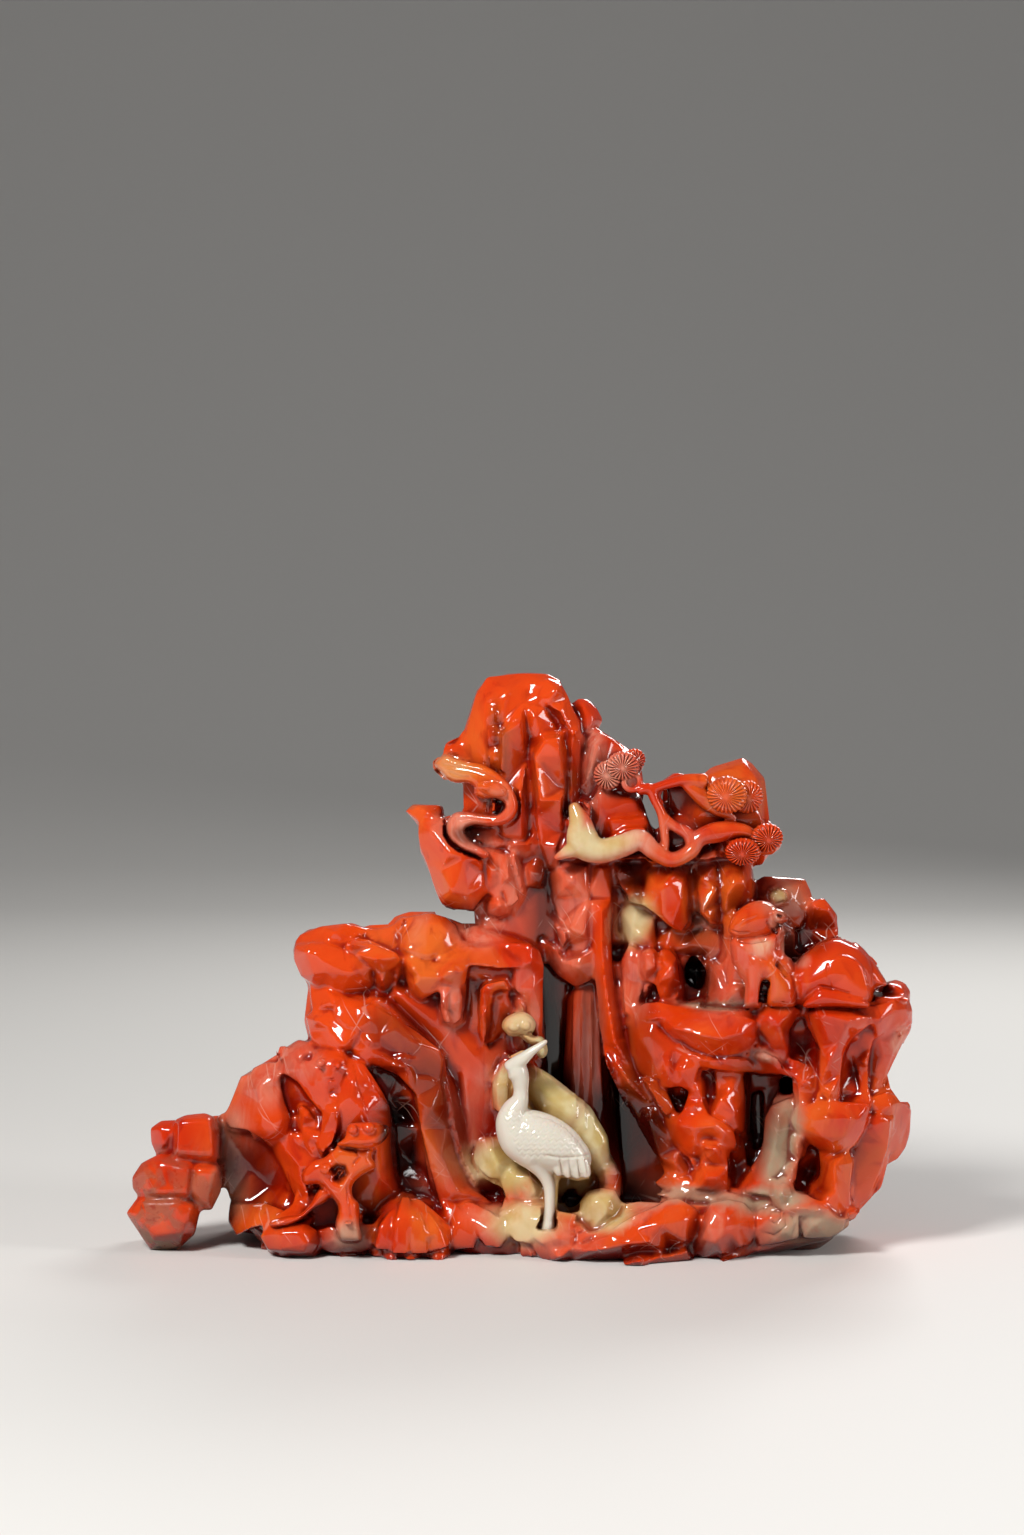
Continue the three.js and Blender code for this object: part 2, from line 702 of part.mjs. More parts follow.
// The pillars that carry the right end of the shelf, and the lower ledge half way down.
function pillars() {
  return Object.values({
    core: gem({
      outline: [
        [65.5, 55.6], [94, 58], [90.9, 45.9], [94, 41], [88.9, 19], [81.1, 10.2], [65.5, 12.9],
        [67.7, 36.1],
      ],
      rim: -11,
      back: 16,
      shrink: 0.85,
      face: [[68.4, -14, 53.2], [87.9, -15, 53.2], [87.9, -15, 36.1], [83.5, -16, 19], [69.1, -15, 16.6]],
    }),
    postA: bar({
      foot: [68.9, -16, 38],
      head: [67.9, -18, 55.6],
      wide: 3.6,
      deep: 10,
      tip: 1,
      turn: 0.2,
    }),
    postB: bar({
      foot: [76.2, -19, 38.5],
      head: [76, -19, 55.6],
      wide: 6.8,
      deep: 12,
      tip: 1,
      taper: 0.95,
      turn: 0,
    }),
    postC: bar({
      foot: [83, -17, 39.5],
      head: [83.5, -17, 55.6],
      wide: 4.6,
      deep: 11,
      tip: 1,
      turn: 0.2,
    }),
    postD: gem({
      outline: [[86, 54.6], [96.2, 58.5], [92.6, 50.2], [89.4, 42.4], [86.5, 42]],
      rim: -10,
      back: 8,
      face: [[87.9, -17, 53.7], [87.4, -16, 43.4], [91.6, -14, 52.7]],
    }),
    ledge: gem({
      outline: [
        [67.7, 36.6], [69.1, 39.5], [72.1, 41.5], [83.5, 42.2], [86, 39], [84.5, 35.1], [81.1, 30],
        [77, 26.3], [72.8, 28.3], [68.4, 31.2],
      ],
      rim: -18,
      back: 0,
      face: [
        [70.4, -22, 38], [73.8, -26, 36.3], [82.6, -24, 37.6], [79.6, -25, 32.2], [76.7, -24, 28.8],
        [71.3, -24, 32.7],
      ],
    }),
    rightBlock: gem({
      outline: [
        [84, 38], [88.7, 44.4], [91.6, 43.4], [94, 41.5], [97.2, 37.6], [94.8, 28.8], [92.8, 25.9],
        [88.4, 23.4],
      ],
      rim: -5,
      back: 10,
      shrink: 0.8,
      face: [[85.5, -17, 38], [87.9, -19, 35.1], [91.6, -17, 36.1], [90.4, -16, 31.2], [95, -9, 36.6]],
    }),
    rightLeg: gem({
      outline: [[82.1, 36.6], [91.1, 37.6], [90.4, 25.1], [87, 16.6], [83.5, 12.7], [81.6, 21.5]],
      rim: -12,
      back: 2,
      shrink: 0.85,
      face: [[85, -19, 35.1], [88.4, -18, 34.6], [84.5, -19, 21.5], [83.5, -18, 15.6]],
    }),
    middleLeg: bar({
      foot: [77.7, -19, 11.2],
      head: [77.2, -19, 30],
      wide: 8.4,
      deep: 12,
      tip: 1,
      turn: 0.1,
    }),
    leftLeg: strand({
      line: [[69.1, -18, 32.7], [68.2, -19, 26.8], [67, -20, 22], [65, -22, 18.5]],
      wide: [5, 4, 4, 5],
      deep: 9,
      steps: 4,
    }),
    arch: strand({
      line: [[68.4, -19, 18.5], [72.1, -19, 18], [75.2, -19, 20]],
      wide: 4,
      deep: 9,
      steps: 2,
    }),
    footRoll: strand({
      line: [
        [63.3, -23, 18.5], [65.5, -25, 15.9], [70.4, -26, 13.7], [76.2, -25, 12.4], [80.9, -22, 12.7],
      ],
      wide: [5, 6, 5.4, 5, 4],
      deep: 9,
      steps: 5,
    }),
    greyColumn: strand({
      line: [
        [66, -8, 41.5], [64.8, -13, 37.3], [63.5, -15, 30.7], [61.3, -16, 23.9], [58.7, -17, 18.5],
        [55.7, -18, 14.6],
      ],
      wide: [6, 7, 6.6, 7, 9, 14],
      deep: [8, 10, 10, 10, 10, 10],
      steps: 6,
    }),
  });
}

// The stones under the left end of the shelf.
function understone() {
  return Object.values({
    core: gem({
      outline: [[22.6, 55.6], [33, 65.4], [66, 58], [61.1, 16.6], [44, 15.4], [31.8, 36.1]],
      rim: -9,
      back: 16,
      shrink: 0.85,
      face: [[41.6, -12, 45.9], [53.8, -12, 43.4], [52.6, -12, 20.2], [31.8, -11, 45.9]],
    }),
    shoulder: gem({
      outline: [[23, 58], [32.3, 63.9], [37.2, 58], [36.2, 48.3], [32.3, 44.4], [26, 49.3]],
      rim: -11,
      back: 0,
      face: [[27, -16, 58], [33, -18, 60], [34.3, -18, 53.2], [31.3, -16, 48.8]],
    }),
    middle: gem({
      outline: [[33.3, 56.6], [38.2, 55.6], [43.5, 49.8], [42.6, 41], [38.2, 41], [33.8, 46.3]],
      rim: -13,
      back: 0,
      face: [[35.2, -18, 53.7], [39.1, -19, 51.2], [41.1, -18, 47.3], [39.1, -17, 43.4]],
    }),
    postA: bar({
      foot: [44.5, -14, 34.9],
      head: [44.5, -15, 50.7],
      wide: 5.6,
      deep: 12,
      tip: 1,
      turn: 0,
    }),
    postB: gem({
      outline: [[47.4, 49.3], [56.2, 48.8], [56.7, 36.1], [55.7, 16.6], [48.9, 16.6], [47.4, 28.8]],
      rim: -11,
      back: 0,
      shrink: 0.9,
      face: [[49.4, -16, 47.3], [54.3, -17, 46.3], [54.8, -17, 33.7], [53.8, -16, 19], [49.9, -16, 28.8]],
    }),
    cap: gem({
      outline: [
        [36.5, 33.7], [39.1, 36.3], [44, 36.8], [49.4, 35.6], [53.3, 30.7], [53.5, 26.3], [45, 25.4],
        [40.6, 27.8],
      ],
      rim: -18,
      back: -4,
      face: [
        [39.1, -21, 33.7], [44, -22, 35.4], [49.4, -24, 32.7], [51.8, -23, 28.3], [45.5, -24, 28.8],
        [41.6, -23, 30.7],
      ],
    }),
    shaft: bar({ foot: [47.9, -18, 15.6], head: [47.9, -18, 30], wide: 7.6, deep: 11, tip: 1, turn: 0 }),
    foot: gem({
      outline: [
        [34.3, 21.5], [37.2, 22.7], [44, 21.5], [52.6, 21], [53.8, 17.6], [45.2, 16.6], [36.2, 18.5],
      ],
      rim: -17,
      back: -4,
      face: [[37.2, -22, 20.7], [45, -24, 19.5], [51.3, -24, 19.5]],
    }),
  });
}

// The upper plateau on the left with its hanging columns.
function plateau() {
  return Object.values({
    leftBoulder: gem({
      outline: [
        [-53.5, 71.7], [-55.5, 76.8], [-54.8, 79.8], [-51.8, 82.4], [-48.2, 83.4], [-40.9, 84.1],
        [-37.9, 82.9], [-36, 77.6], [-41.3, 67.3], [-51.8, 68.3],
      ],
      rim: -7,
      back: 18,
      shrink: 0.8,
      face: [
        [-53.5, -13, 78.5], [-52.6, -18, 77.1], [-48.2, -20, 78], [-46.7, -22, 74.4], [-49.6, -19, 71],
        [-41.3, -18, 76.3],
      ],
    }),
    frontBoulder: gem({
      outline: [
        [-44.3, 78], [-41.3, 80.5], [-37, 80], [-28.7, 76.3], [-27.7, 73.2], [-30.6, 68.3], [-35.5, 69],
        [-41.3, 74.6],
      ],
      rim: -14,
      back: 2,
      face: [
        [-40.9, -21, 78.3], [-37.4, -22, 78], [-31.1, -22, 75.1], [-34, -23, 72.2], [-38.9, -22, 76.1],
      ],
    }),
    farTop: gem({
      outline: [
        [-42.6, 69], [-38.4, 82.9], [-32.3, 83.2], [-29.9, 85.1], [-27, 86.8], [-19.4, 86.8],
        [-15.2, 84.4], [-11.1, 83.7], [-9.6, 69],
      ],
      rim: -4,
      back: 20,
      shrink: 0.85,
      face: [
        [-28.4, -8, 84.4], [-27.7, -14, 77.6], [-22.6, -16, 75.9], [-18.2, -9, 83.4], [-15, -15, 77.6],
        [-21.8, -14, 69],
      ],
    }),
    nearTop: gem({
      outline: [
        [-17, 69], [-15.7, 81.2], [-11.1, 83.7], [-4.8, 80], [1.8, 79], [5.2, 76.3], [5.2, 65.4],
        [-4.8, 62.9],
      ],
      rim: -8,
      back: 16,
      face: [[-12.1, -15, 77.6], [-7.2, -15, 78], [0.6, -14, 77.6], [0.1, -14, 70.2], [-12.1, -16, 71.5]],
    }),
    wedge: gem({
      outline: [
        [-28.7, 75.6], [-25.2, 76.1], [-19.1, 72.2], [-19.9, 67.3], [-23.3, 64.4], [-26.2, 65.9],
        [-28.2, 70.2],
      ],
      rim: -14,
      back: 0,
      face: [[-26.7, -20, 74.1], [-24.3, -22, 70.7], [-20.4, -20, 71.5], [-23.8, -19, 66.3]],
    }),
    columnA: gem({
      outline: [
        [-20.1, 71.7], [-15.7, 75.9], [-12.6, 73.7], [-13, 65.4], [-13.8, 60], [-16.5, 58.3],
        [-19.4, 59.5],
      ],
      rim: -15,
      back: 0,
      face: [
        [-18.4, -21, 70.7], [-15.5, -21, 73.7], [-14, -20, 71.2], [-15.7, -19, 60.5], [-17.9, -20, 61],
      ],
    }),
    columnB: gem({
      outline: [[-14, 73.2], [-8.7, 73.9], [-8.2, 62.9], [-9.6, 53.2], [-13.5, 58]],
      rim: -11,
      back: 2,
      face: [[-11.3, -14, 71.5], [-11.1, -14, 59.3]],
    }),
    columnC: gem({
      outline: [
        [-10.1, 67.3], [-8.2, 69.8], [-3, 70.2], [-2.3, 65.4], [-3, 56.6], [-6.7, 54.1], [-9.6, 57.1],
      ],
      rim: -14,
      back: 0,
      face: [[-8.2, -20, 67.8], [-4, -20, 68.8], [-4.8, -18, 58.5], [-7.7, -19, 59]],
    }),
    columnD: gem({
      outline: [[-3.3, 74.6], [1.6, 78], [5.2, 76.1], [5.2, 54.4], [3.5, 48.8], [-1.3, 52]],
      rim: -11,
      back: 6,
      face: [[0.1, -17, 73.9], [4, -15, 73.7], [3.8, -14, 55.6], [1.1, -15, 55.6]],
    }),
    slopingWall: gem({
      outline: [
        [-36, 71.5], [-19.4, 69], [-3.5, 60.5], [0.1, 45.9], [-9.6, 38.5], [-18.2, 49.8], [-26.7, 57.6],
        [-36, 65.4],
      ],
      rim: -11,
      back: 4,
      face: [[-29.1, -16, 66.3], [-19.4, -15, 58], [-12.1, -14, 50.7], [-7.2, -13, 45.9]],
    }),
  });
}

// The rock that overhangs to the left under the cloud.
function overhang() {
  return Object.values({
    body: gem({
      outline: [
        [-24.8, 108.3], [-22.8, 110.2], [-16.5, 110.2], [-11.1, 102.9], [-7.9, 100.5], [-7.7, 92.7],
        [-10.6, 87.1], [-15.2, 87.8], [-19.1, 89], [-22.6, 97.3], [-24.5, 102],
      ],
      rim: -5,
      back: 10,
      face: [[-21.8, -11, 106.3], [-17, -14, 100.7], [-11.1, -13, 100.5], [-14.5, -12, 90.7]],
    }),
    leftFacet: gem({
      outline: [[-23.3, 103.2], [-21.8, 106.3], [-17, 100.5], [-15.5, 91], [-17.9, 89], [-21.3, 93.4]],
      rim: -10,
      back: 0,
      face: [[-20.9, -13, 103.9], [-17.9, -15, 100], [-17.4, -13, 91.7]],
    }),
    rightFacet: gem({
      outline: [[-17, 100.5], [-12.6, 102], [-9.6, 98.3], [-8.7, 91], [-10.6, 88.3], [-14.5, 89.3]],
      rim: -12,
      back: 0,
      face: [[-15.5, -16, 99.5], [-12.1, -15, 99], [-12.6, -14, 90.7]],
    }),
    spout: gem({
      outline: [[-27.9, 111.5], [-26, 113.2], [-18.7, 112.9], [-18.2, 111], [-20.4, 108.3], [-24.8, 108]],
      rim: -4,
      back: 8,
      face: [[-25.5, -8, 111.7], [-19.9, -8, 111.5], [-23.8, -8, 109.8]],
    }),
    saddle: gem({
      outline: [[-19.4, 106.8], [-17.7, 110.5], [-7.2, 110.5], [-4.8, 102], [-9.6, 98.5], [-16.5, 101.5]],
      rim: -7,
      back: 6,
      face: [[-12.1, -10, 106.3], [-9.6, -12, 102]],
    }),
  });
}

// The left flank: diagonal ribs, the smooth shaft with a small animal's face at its top, and the folds.
function flank() {
  return Object.values({
    core: crag({
      outline: [[-52.6, 62.9], [-50.6, 75.1], [5, 75.1], [9.9, 9.3], [-46.2, 9.3], [-50.6, 50.7]],
      front: -8,
      back: 26,
      draw: 0.03,
      shrink: 0.85,
    }),
    bulge: gem({
      outline: [
        [-51.8, 69], [-46.2, 70.2], [-35.5, 71.5], [-32.1, 65.4], [-33.5, 55.6], [-42.6, 51.2],
        [-49.1, 52.7], [-51.3, 55.1], [-52.8, 60], [-51.3, 63.4],
      ],
      rim: -7,
      back: 12,
      face: [
        [-49.6, -14, 62], [-45.7, -18, 65.4], [-37.9, -20, 65.4], [-35.5, -21, 59.3], [-42.8, -20, 54.6],
        [-48.2, -17, 56.1],
      ],
    }),
    upperRib: gem({
      outline: [
        [-37.4, 65.4], [-34.5, 67.3], [-26.2, 60], [-18.4, 51.7], [-17.7, 46.8], [-26.2, 49.3],
        [-37.4, 54.6],
      ],
      rim: -15,
      back: 0,
      shrink: 0.85,
      face: [
        [-35, -21, 64.4], [-27.2, -21, 58], [-19.9, -20, 50.2], [-26.2, -23, 51.7], [-35.5, -22, 57.1],
      ],
    }),
    outerFold: gem({
      outline: [
        [-23.3, 53.2], [-17.9, 50.2], [-14, 41], [-10.1, 28.8], [-8.2, 15.1], [-17.4, 14.1],
        [-20.4, 33.7],
      ],
      rim: -11,
      back: 2,
      shrink: 0.9,
      face: [[-19.9, -17, 48.8], [-17, -17, 41], [-15, -17, 26.3], [-13, -18, 16.6]],
    }),
    innerFold: strand({
      line: [
        [-37.4, -18, 53.2], [-31.6, -19, 51.2], [-26.7, -18, 47.8], [-24.5, -16, 42.2],
        [-22.8, -14, 33.7], [-21.3, -13, 25.1], [-19.4, -13, 15.4],
      ],
      wide: [8, 7, 6, 5, 5, 6, 8],
      deep: 9,
      steps: 7,
    }),
    farFold: gem({
      outline: [
        [-17.4, 55.6], [-12.1, 58], [-3.5, 53.2], [0.1, 45.9], [-1.8, 15.4], [-14.5, 15.4], [-17.4, 36.1],
      ],
      rim: -9,
      back: 6,
      shrink: 0.9,
      face: [[-14, -13, 50.7], [-7.2, -12, 50.7], [-5.7, -14, 21.5], [-10.9, -15, 21.5]],
    }),
    animalHead: gem({
      outline: [
        [-51.1, 52.2], [-49.1, 54.1], [-42.6, 53.7], [-37.4, 49.3], [-35, 42.9], [-41.3, 38], [-46.2, 41],
        [-50.1, 45.4],
      ],
      rim: -17,
      back: 0,
      shrink: 0.85,
      face: [
        [-49.1, -23, 51.7], [-43.8, -25, 51.7], [-47.2, -26, 45.9], [-43.3, -27, 43.9],
        [-38.9, -25, 45.9],
      ],
    }),
    shaft: gem({
      outline: [
        [-47.2, 44.6], [-38.4, 49.3], [-33.5, 42.9], [-30.9, 36.1], [-30.1, 27.6], [-28.2, 21],
        [-25.7, 15.6], [-29.1, 9.8], [-45, 9.8], [-46.2, 26.3], [-45.2, 33.7],
      ],
      rim: -17,
      back: 0,
      shrink: 0.85,
      face: [
        [-42.6, -27, 43.4], [-37.4, -26, 43.4], [-33, -25, 35.1], [-41.3, -28.5, 33.7],
        [-35.5, -27.5, 33.7], [-40.9, -27, 16.6], [-33, -26, 16.6],
      ],
    }),
    crossRib: strand({
      line: [[-57.7, -13, 51.2], [-52.3, -17, 47.1], [-48.2, -20, 42.2], [-45.2, -22, 36.6]],
      wide: [4, 3.4, 3.4, 3],
      deep: 9,
      steps: 3,
    }),
  });
}

// The lower left slope: two dished slabs, finger flutes and a deep bowl.
function slope() {
  return Object.values({
    core: gem({
      outline: [
        [-72.6, 35.6], [-68.4, 46.1], [-62.1, 49.5], [-54, 55.4], [-50.6, 53.9], [-42.6, 43.4],
        [-42.6, 10.5], [-62.8, 6.8], [-69.1, 7.8], [-72.1, 26.3],
      ],
      rim: -3,
      back: 20,
      shrink: 0.85,
      face: [[-63.8, -7, 38.5], [-51.1, -12, 45.9], [-50.6, -16, 23.9], [-57.2, -13, 23.9]],
    }),
    dishedSlab: gem({
      outline: [
        [-66, 45.9], [-64.3, 48.8], [-60.9, 49.5], [-57.9, 47.1], [-56.7, 39], [-56.2, 33.2], [-58.7, 30],
        [-62.1, 31.2], [-65, 35.1],
      ],
      rim: -9,
      back: 2,
      shrink: 0.85,
      face: [
        [-64, -14, 46.3], [-59.4, -15, 46.8], [-57.7, -17, 38], [-58.4, -17, 32.2], [-62.8, -17, 34.1],
        [-64.3, -15, 39],
      ],
    }),
    edgeSlab: gem({
      outline: [[-72.8, 35.1], [-70.4, 40.2], [-68.4, 46.1], [-65.2, 47.8], [-63.8, 34.9], [-67.7, 32.7]],
      rim: -6,
      back: 6,
      shrink: 0.85,
      face: [[-68.2, -10, 43.9], [-65.7, -12, 44.6], [-66.2, -13, 36.1], [-69.1, -10, 37.1]],
    }),
    topSlab: gem({
      outline: [[-58.7, 47.1], [-58.7, 52.4], [-54.3, 55.4], [-50.6, 53.9], [-49.1, 45.9], [-53.5, 41]],
      rim: -6,
      back: 6,
      shrink: 0.85,
      face: [[-57, -11, 51.7], [-53, -12, 53.2], [-51.6, -15, 48.3], [-53.5, -14, 43.9]],
    }),
    fingerA: bar({
      foot: [-54.3, -16, 21.5],
      head: [-55.5, -14, 35.6],
      wide: 3.4,
      deep: 9,
      turn: 0.5,
      neck: 4,
    }),
    fingerB: bar({
      foot: [-50.9, -18, 22],
      head: [-53.3, -15, 39.5],
      wide: 4,
      deep: 10,
      turn: 0.5,
      neck: 4,
    }),
    fingerC: bar({
      foot: [-47.7, -20, 22.9],
      head: [-47.2, -18, 40.5],
      wide: 4,
      deep: 11,
      turn: 0.5,
      neck: 4,
    }),
    fingerWeb: gem({
      outline: [[-56.5, 36.1], [-46.2, 39.8], [-44.8, 20.2], [-54.5, 19]],
      rim: -15,
      back: -2,
      shrink: 0.9,
      face: [[-51.1, -18, 28.8], [-47.2, -20, 28.8], [-51.1, -19, 21]],
    }),
    bowlRim: strand({
      line: [[-62.8, -13, 32.7], [-58.4, -15, 26.3], [-55.5, -17, 20], [-52.1, -19, 13.7]],
      wide: [8, 8, 8, 9],
      deep: 10,
      steps: 4,
    }),
    root: strand({
      line: [
        [-46.2, -22, 23.9], [-47.7, -23, 18.5], [-50.6, -24, 13.9], [-56, -24, 10.7], [-61.8, -22, 7.8],
      ],
      wide: [7, 7, 6, 5, 4],
      deep: 11,
      steps: 5,
    }),
    toe: gem({
      outline: [
        [-68.7, 11.2], [-66.7, 14.9], [-62.3, 15.9], [-57.4, 13.7], [-53.5, 11.2], [-54.5, 6.3],
        [-62.8, 4.4],
      ],
      rim: -11,
      back: 2,
      face: [[-64.3, -16, 13.2], [-59.4, -19, 11.2], [-62.8, -17, 8.3]],
    }),
  });
}

// The rough stones at the far left, joined to the slope by a bridge behind the hollow.
function outlier() {
  return Object.values({
    topStone: gem({
      outline: [
        [-84.5, 35.6], [-81.8, 36.8], [-77, 37.3], [-74.8, 36.3], [-73.5, 33.2], [-73.8, 25.9],
        [-80.4, 23.4], [-85.2, 24.9], [-85.2, 31.2],
      ],
      rim: -13,
      back: 4,
      face: [[-83.3, -18, 35.1], [-76, -18, 35.6], [-75.2, -19, 26.8], [-83.8, -19, 27.3]],
    }),
    topLeft: gem({
      outline: [[-90.6, 33.4], [-87.9, 35.4], [-83.3, 35.6], [-82.8, 26.8], [-88.9, 26.3], [-90.4, 29.8]],
      rim: -8,
      back: 3,
      face: [[-88.2, -12, 33.7], [-84.8, -12, 33.7], [-87.2, -13, 29.3]],
    }),
    middleStone: gem({
      outline: [
        [-95.2, 21.2], [-92.8, 24.9], [-88.2, 27.3], [-79.9, 26.3], [-78.4, 20.2], [-80.9, 14.4],
        [-90.1, 14.1], [-93.3, 16.3], [-95, 18.5],
      ],
      rim: -14,
      back: 4,
      face: [
        [-92.1, -18, 23.4], [-87.7, -19, 24.9], [-81.3, -20, 23.4], [-81.8, -21, 17.6],
        [-90.1, -20, 17.6],
      ],
    }),
    middleRight: gem({
      outline: [
        [-80.9, 25.6], [-74.5, 25.4], [-72.6, 22.9], [-73.3, 17.6], [-75.5, 13.2], [-79.4, 12.7],
        [-81.8, 19],
      ],
      rim: -14,
      back: 5,
      face: [[-78.9, -19, 23.4], [-74.5, -19, 22.9], [-76.5, -18, 15.1], [-79.9, -19, 17.6]],
    }),
    bottomStone: gem({
      outline: [
        [-96.8, 12.4], [-94, 16.1], [-90.1, 16.8], [-80.4, 17.1], [-77.9, 13.2], [-79.6, 7.3], [-84, 2.9],
        [-90.6, 2.9], [-94.3, 8.8],
      ],
      rim: -14,
      back: 3,
      face: [
        [-92.1, -19, 15.1], [-84.8, -21, 15.1], [-80.4, -20, 13.7], [-82.8, -21, 7.8], [-89.6, -20, 6.8],
        [-93, -19, 10.7],
      ],
    }),
    bridge: gem({
      outline: [[-81.6, 20.2], [-77.9, 36.1], [-71.8, 37.1], [-63.3, 36.1], [-63.3, 16.6], [-71.8, 19]],
      rim: -8,
      back: 10,
      shrink: 0.8,
    }),
  });
}

// The low base under the whole carving.
function base() {
  return Object.values({
    core: crag({
      outline: [
        [-67, -5.4], [-62.8, 7.3], [-46.2, 11.2], [-14.5, 15.4], [31.8, 15.4], [68.4, 12.9], [79.6, 10.2],
        [77.2, 6.3], [61.1, -5.4],
      ],
      front: -15,
      back: 34,
      bevel: 2,
      draw: 0.03,
      shrink: 0.88,
    }),
    middleStone: gem({
      outline: [[-18.2, -5.4], [-19.4, 14.1], [-9.6, 15.9], [-1.8, 15.4], [5, 8], [3.8, -5.4]],
      rim: -14,
      back: 0,
      face: [[-15, -19, 11.7], [-9.6, -20, 13.7], [-3.3, -24, 9.3], [-12.1, -21, 4.4], [-3.5, -22, 2.9]],
    }),
    rightStone: gem({
      outline: [
        [53.8, 10.5], [58.7, 13.9], [68.4, 14.9], [80.6, 12], [81.3, 9.5], [76.7, 6.1], [68.4, 4.4],
        [58.7, 1.5], [53.8, 1.5],
      ],
      rim: -18,
      back: 0,
      face: [[59.9, -26, 11.2], [68.4, -25, 11.7], [77, -22, 9.8], [67.2, -24, 6.3], [59.1, -26, 3.9]],
    }),
    sill: gem({
      outline: [[0.1, -5.4], [0.1, 10.5], [29.4, 15.4], [58.7, 13.7], [55, -5.4]],
      rim: -24,
      back: 0,
      shrink: 0.9,
    }),
  });
}

// The stones along the front of the base.
function foreground() {
  return Object.values({
    leftRoll: gem({
      outline: [
        [-62.6, 6.8], [-58.4, 10.2], [-53, 9.8], [-48.7, 8.5], [-47, 5.4], [-48.2, -5.4], [-60.9, -5.4],
      ],
      rim: -18,
      back: 0,
      face: [
        [-57.4, -24, 8.3], [-52.6, -26, 7.8], [-50.9, -28, 5.4], [-51.3, -28, 1.5], [-57.9, -27, 2],
        [-59.4, -25, 5.9],
      ],
    }),
    greyStone: gem({
      outline: [[-49.6, -5.4], [-48.2, 6.8], [-43.8, 9.3], [-37.7, 9.8], [-35.2, -5.4]],
      rim: -17,
      back: -2,
      face: [[-42.6, -22, 6.8], [-43.8, -25, 2], [-38.4, -24, 2.4]],
    }),
    hill: gem({
      outline: [
        [-40.9, -5.4], [-38.9, 8.3], [-35, 12], [-30.1, 15.9], [-26.2, 17.3], [-23, 16.3], [-19.1, 11.7],
        [-15.5, 6.8], [-14, -5.4],
      ],
      rim: -15,
      back: 2,
      shrink: 0.85,
      face: [
        [-30.6, -20, 14.1], [-26.2, -21, 15.6], [-22.8, -21, 13.7], [-19.4, -23, 7.8], [-34.5, -23, 7.8],
        [-36, -25, 1.5], [-26.7, -27, 1], [-17.4, -25, 1.5],
      ],
    }),
    fingerA: bar({ foot: [-31.1, -27, -1.5], head: [-33, -22, 9.8], wide: 4.6, deep: 7, neck: 4 }),
    fingerB: bar({
      foot: [-26.5, -28, -2],
      head: [-27.2, -22, 10.7],
      wide: 4.8,
      deep: 7,
      neck: 4,
      turn: 0,
    }),
    fingerC: bar({ foot: [-20.4, -27, -1.5], head: [-20.1, -22, 9.3], wide: 5.6, deep: 7, neck: 4 }),
    longBoulder: gem({
      outline: [
        [2.1, -5.4], [1.6, 4.4], [6.2, 8.8], [19.6, 10.7], [29.4, 13.7], [37.9, 16.1], [43.5, 14.4],
        [45, 9.3], [44, -5.4],
      ],
      rim: -23,
      back: -4,
      face: [
        [6.5, -29, 5.9], [12.3, -31, 4.9], [35.2, -29, 13.2], [42.1, -31, 10.2], [40.6, -33, 4.9],
        [24.5, -34, 4.4], [6.2, -32, 2], [29.4, -35, -0.5],
      ],
    }),
    smallStone: gem({
      outline: [[20.4, -5.4], [21.1, 2.9], [26.5, 6.3], [31.8, 6.6], [34.5, 3.9], [34.3, -5.4]],
      rim: -30,
      back: -20,
      face: [[26.5, -36, 4.4], [30.9, -36, 4.9], [29.4, -38.5, 1], [23.5, -36, 1]],
    }),
    cutBoulder: gem({
      outline: [
        [43, 9.8], [45, 14.6], [51.3, 15.9], [57, 12.7], [58.7, 6.3], [55.7, 2.4], [54.3, -5.4],
        [42.1, -5.4], [41.6, 4.9],
      ],
      rim: -20,
      back: -2,
      face: [
        [45.5, -27, 12], [50.9, -30, 12.2], [49.4, -34, 7.3], [53.3, -31, 8.8], [45.5, -32, 5.4],
        [49.4, -32, 1], [55.2, -28, 6.8],
      ],
    }),
  });
}

// The back of the mountain, plainer than the front.
function rear() {
  return [
    ...columns({
      from: [-44, 24, 22],
      to: [24, 27, 30],
      rise: 46,
      count: 5,
      wide: 17,
      deep: 20,
      seed: 21,
    }),
    ...columns({
      from: [-6, 20, 88],
      to: [12, 22, 88],
      rise: 46,
      count: 3,
      wide: 10,
      deep: 16,
      seed: 27,
    }),
    ...columns({
      from: [44, 20, 40],
      to: [78, 14, 40],
      rise: 34,
      count: 3,
      wide: 15,
      deep: 18,
      seed: 29,
    }),
    boulder({ at: [-42, 24, 16], size: [42, 28, 34], seed: 121 }),
    boulder({ at: [8, 27, 14], size: [46, 27, 30], seed: 123 }),
    boulder({ at: [54, 22, 16], size: [44, 28, 36], seed: 125 }),
    boulder({ at: [50, 14, 108], size: [22, 16, 26], seed: 127 }),
  ];
}

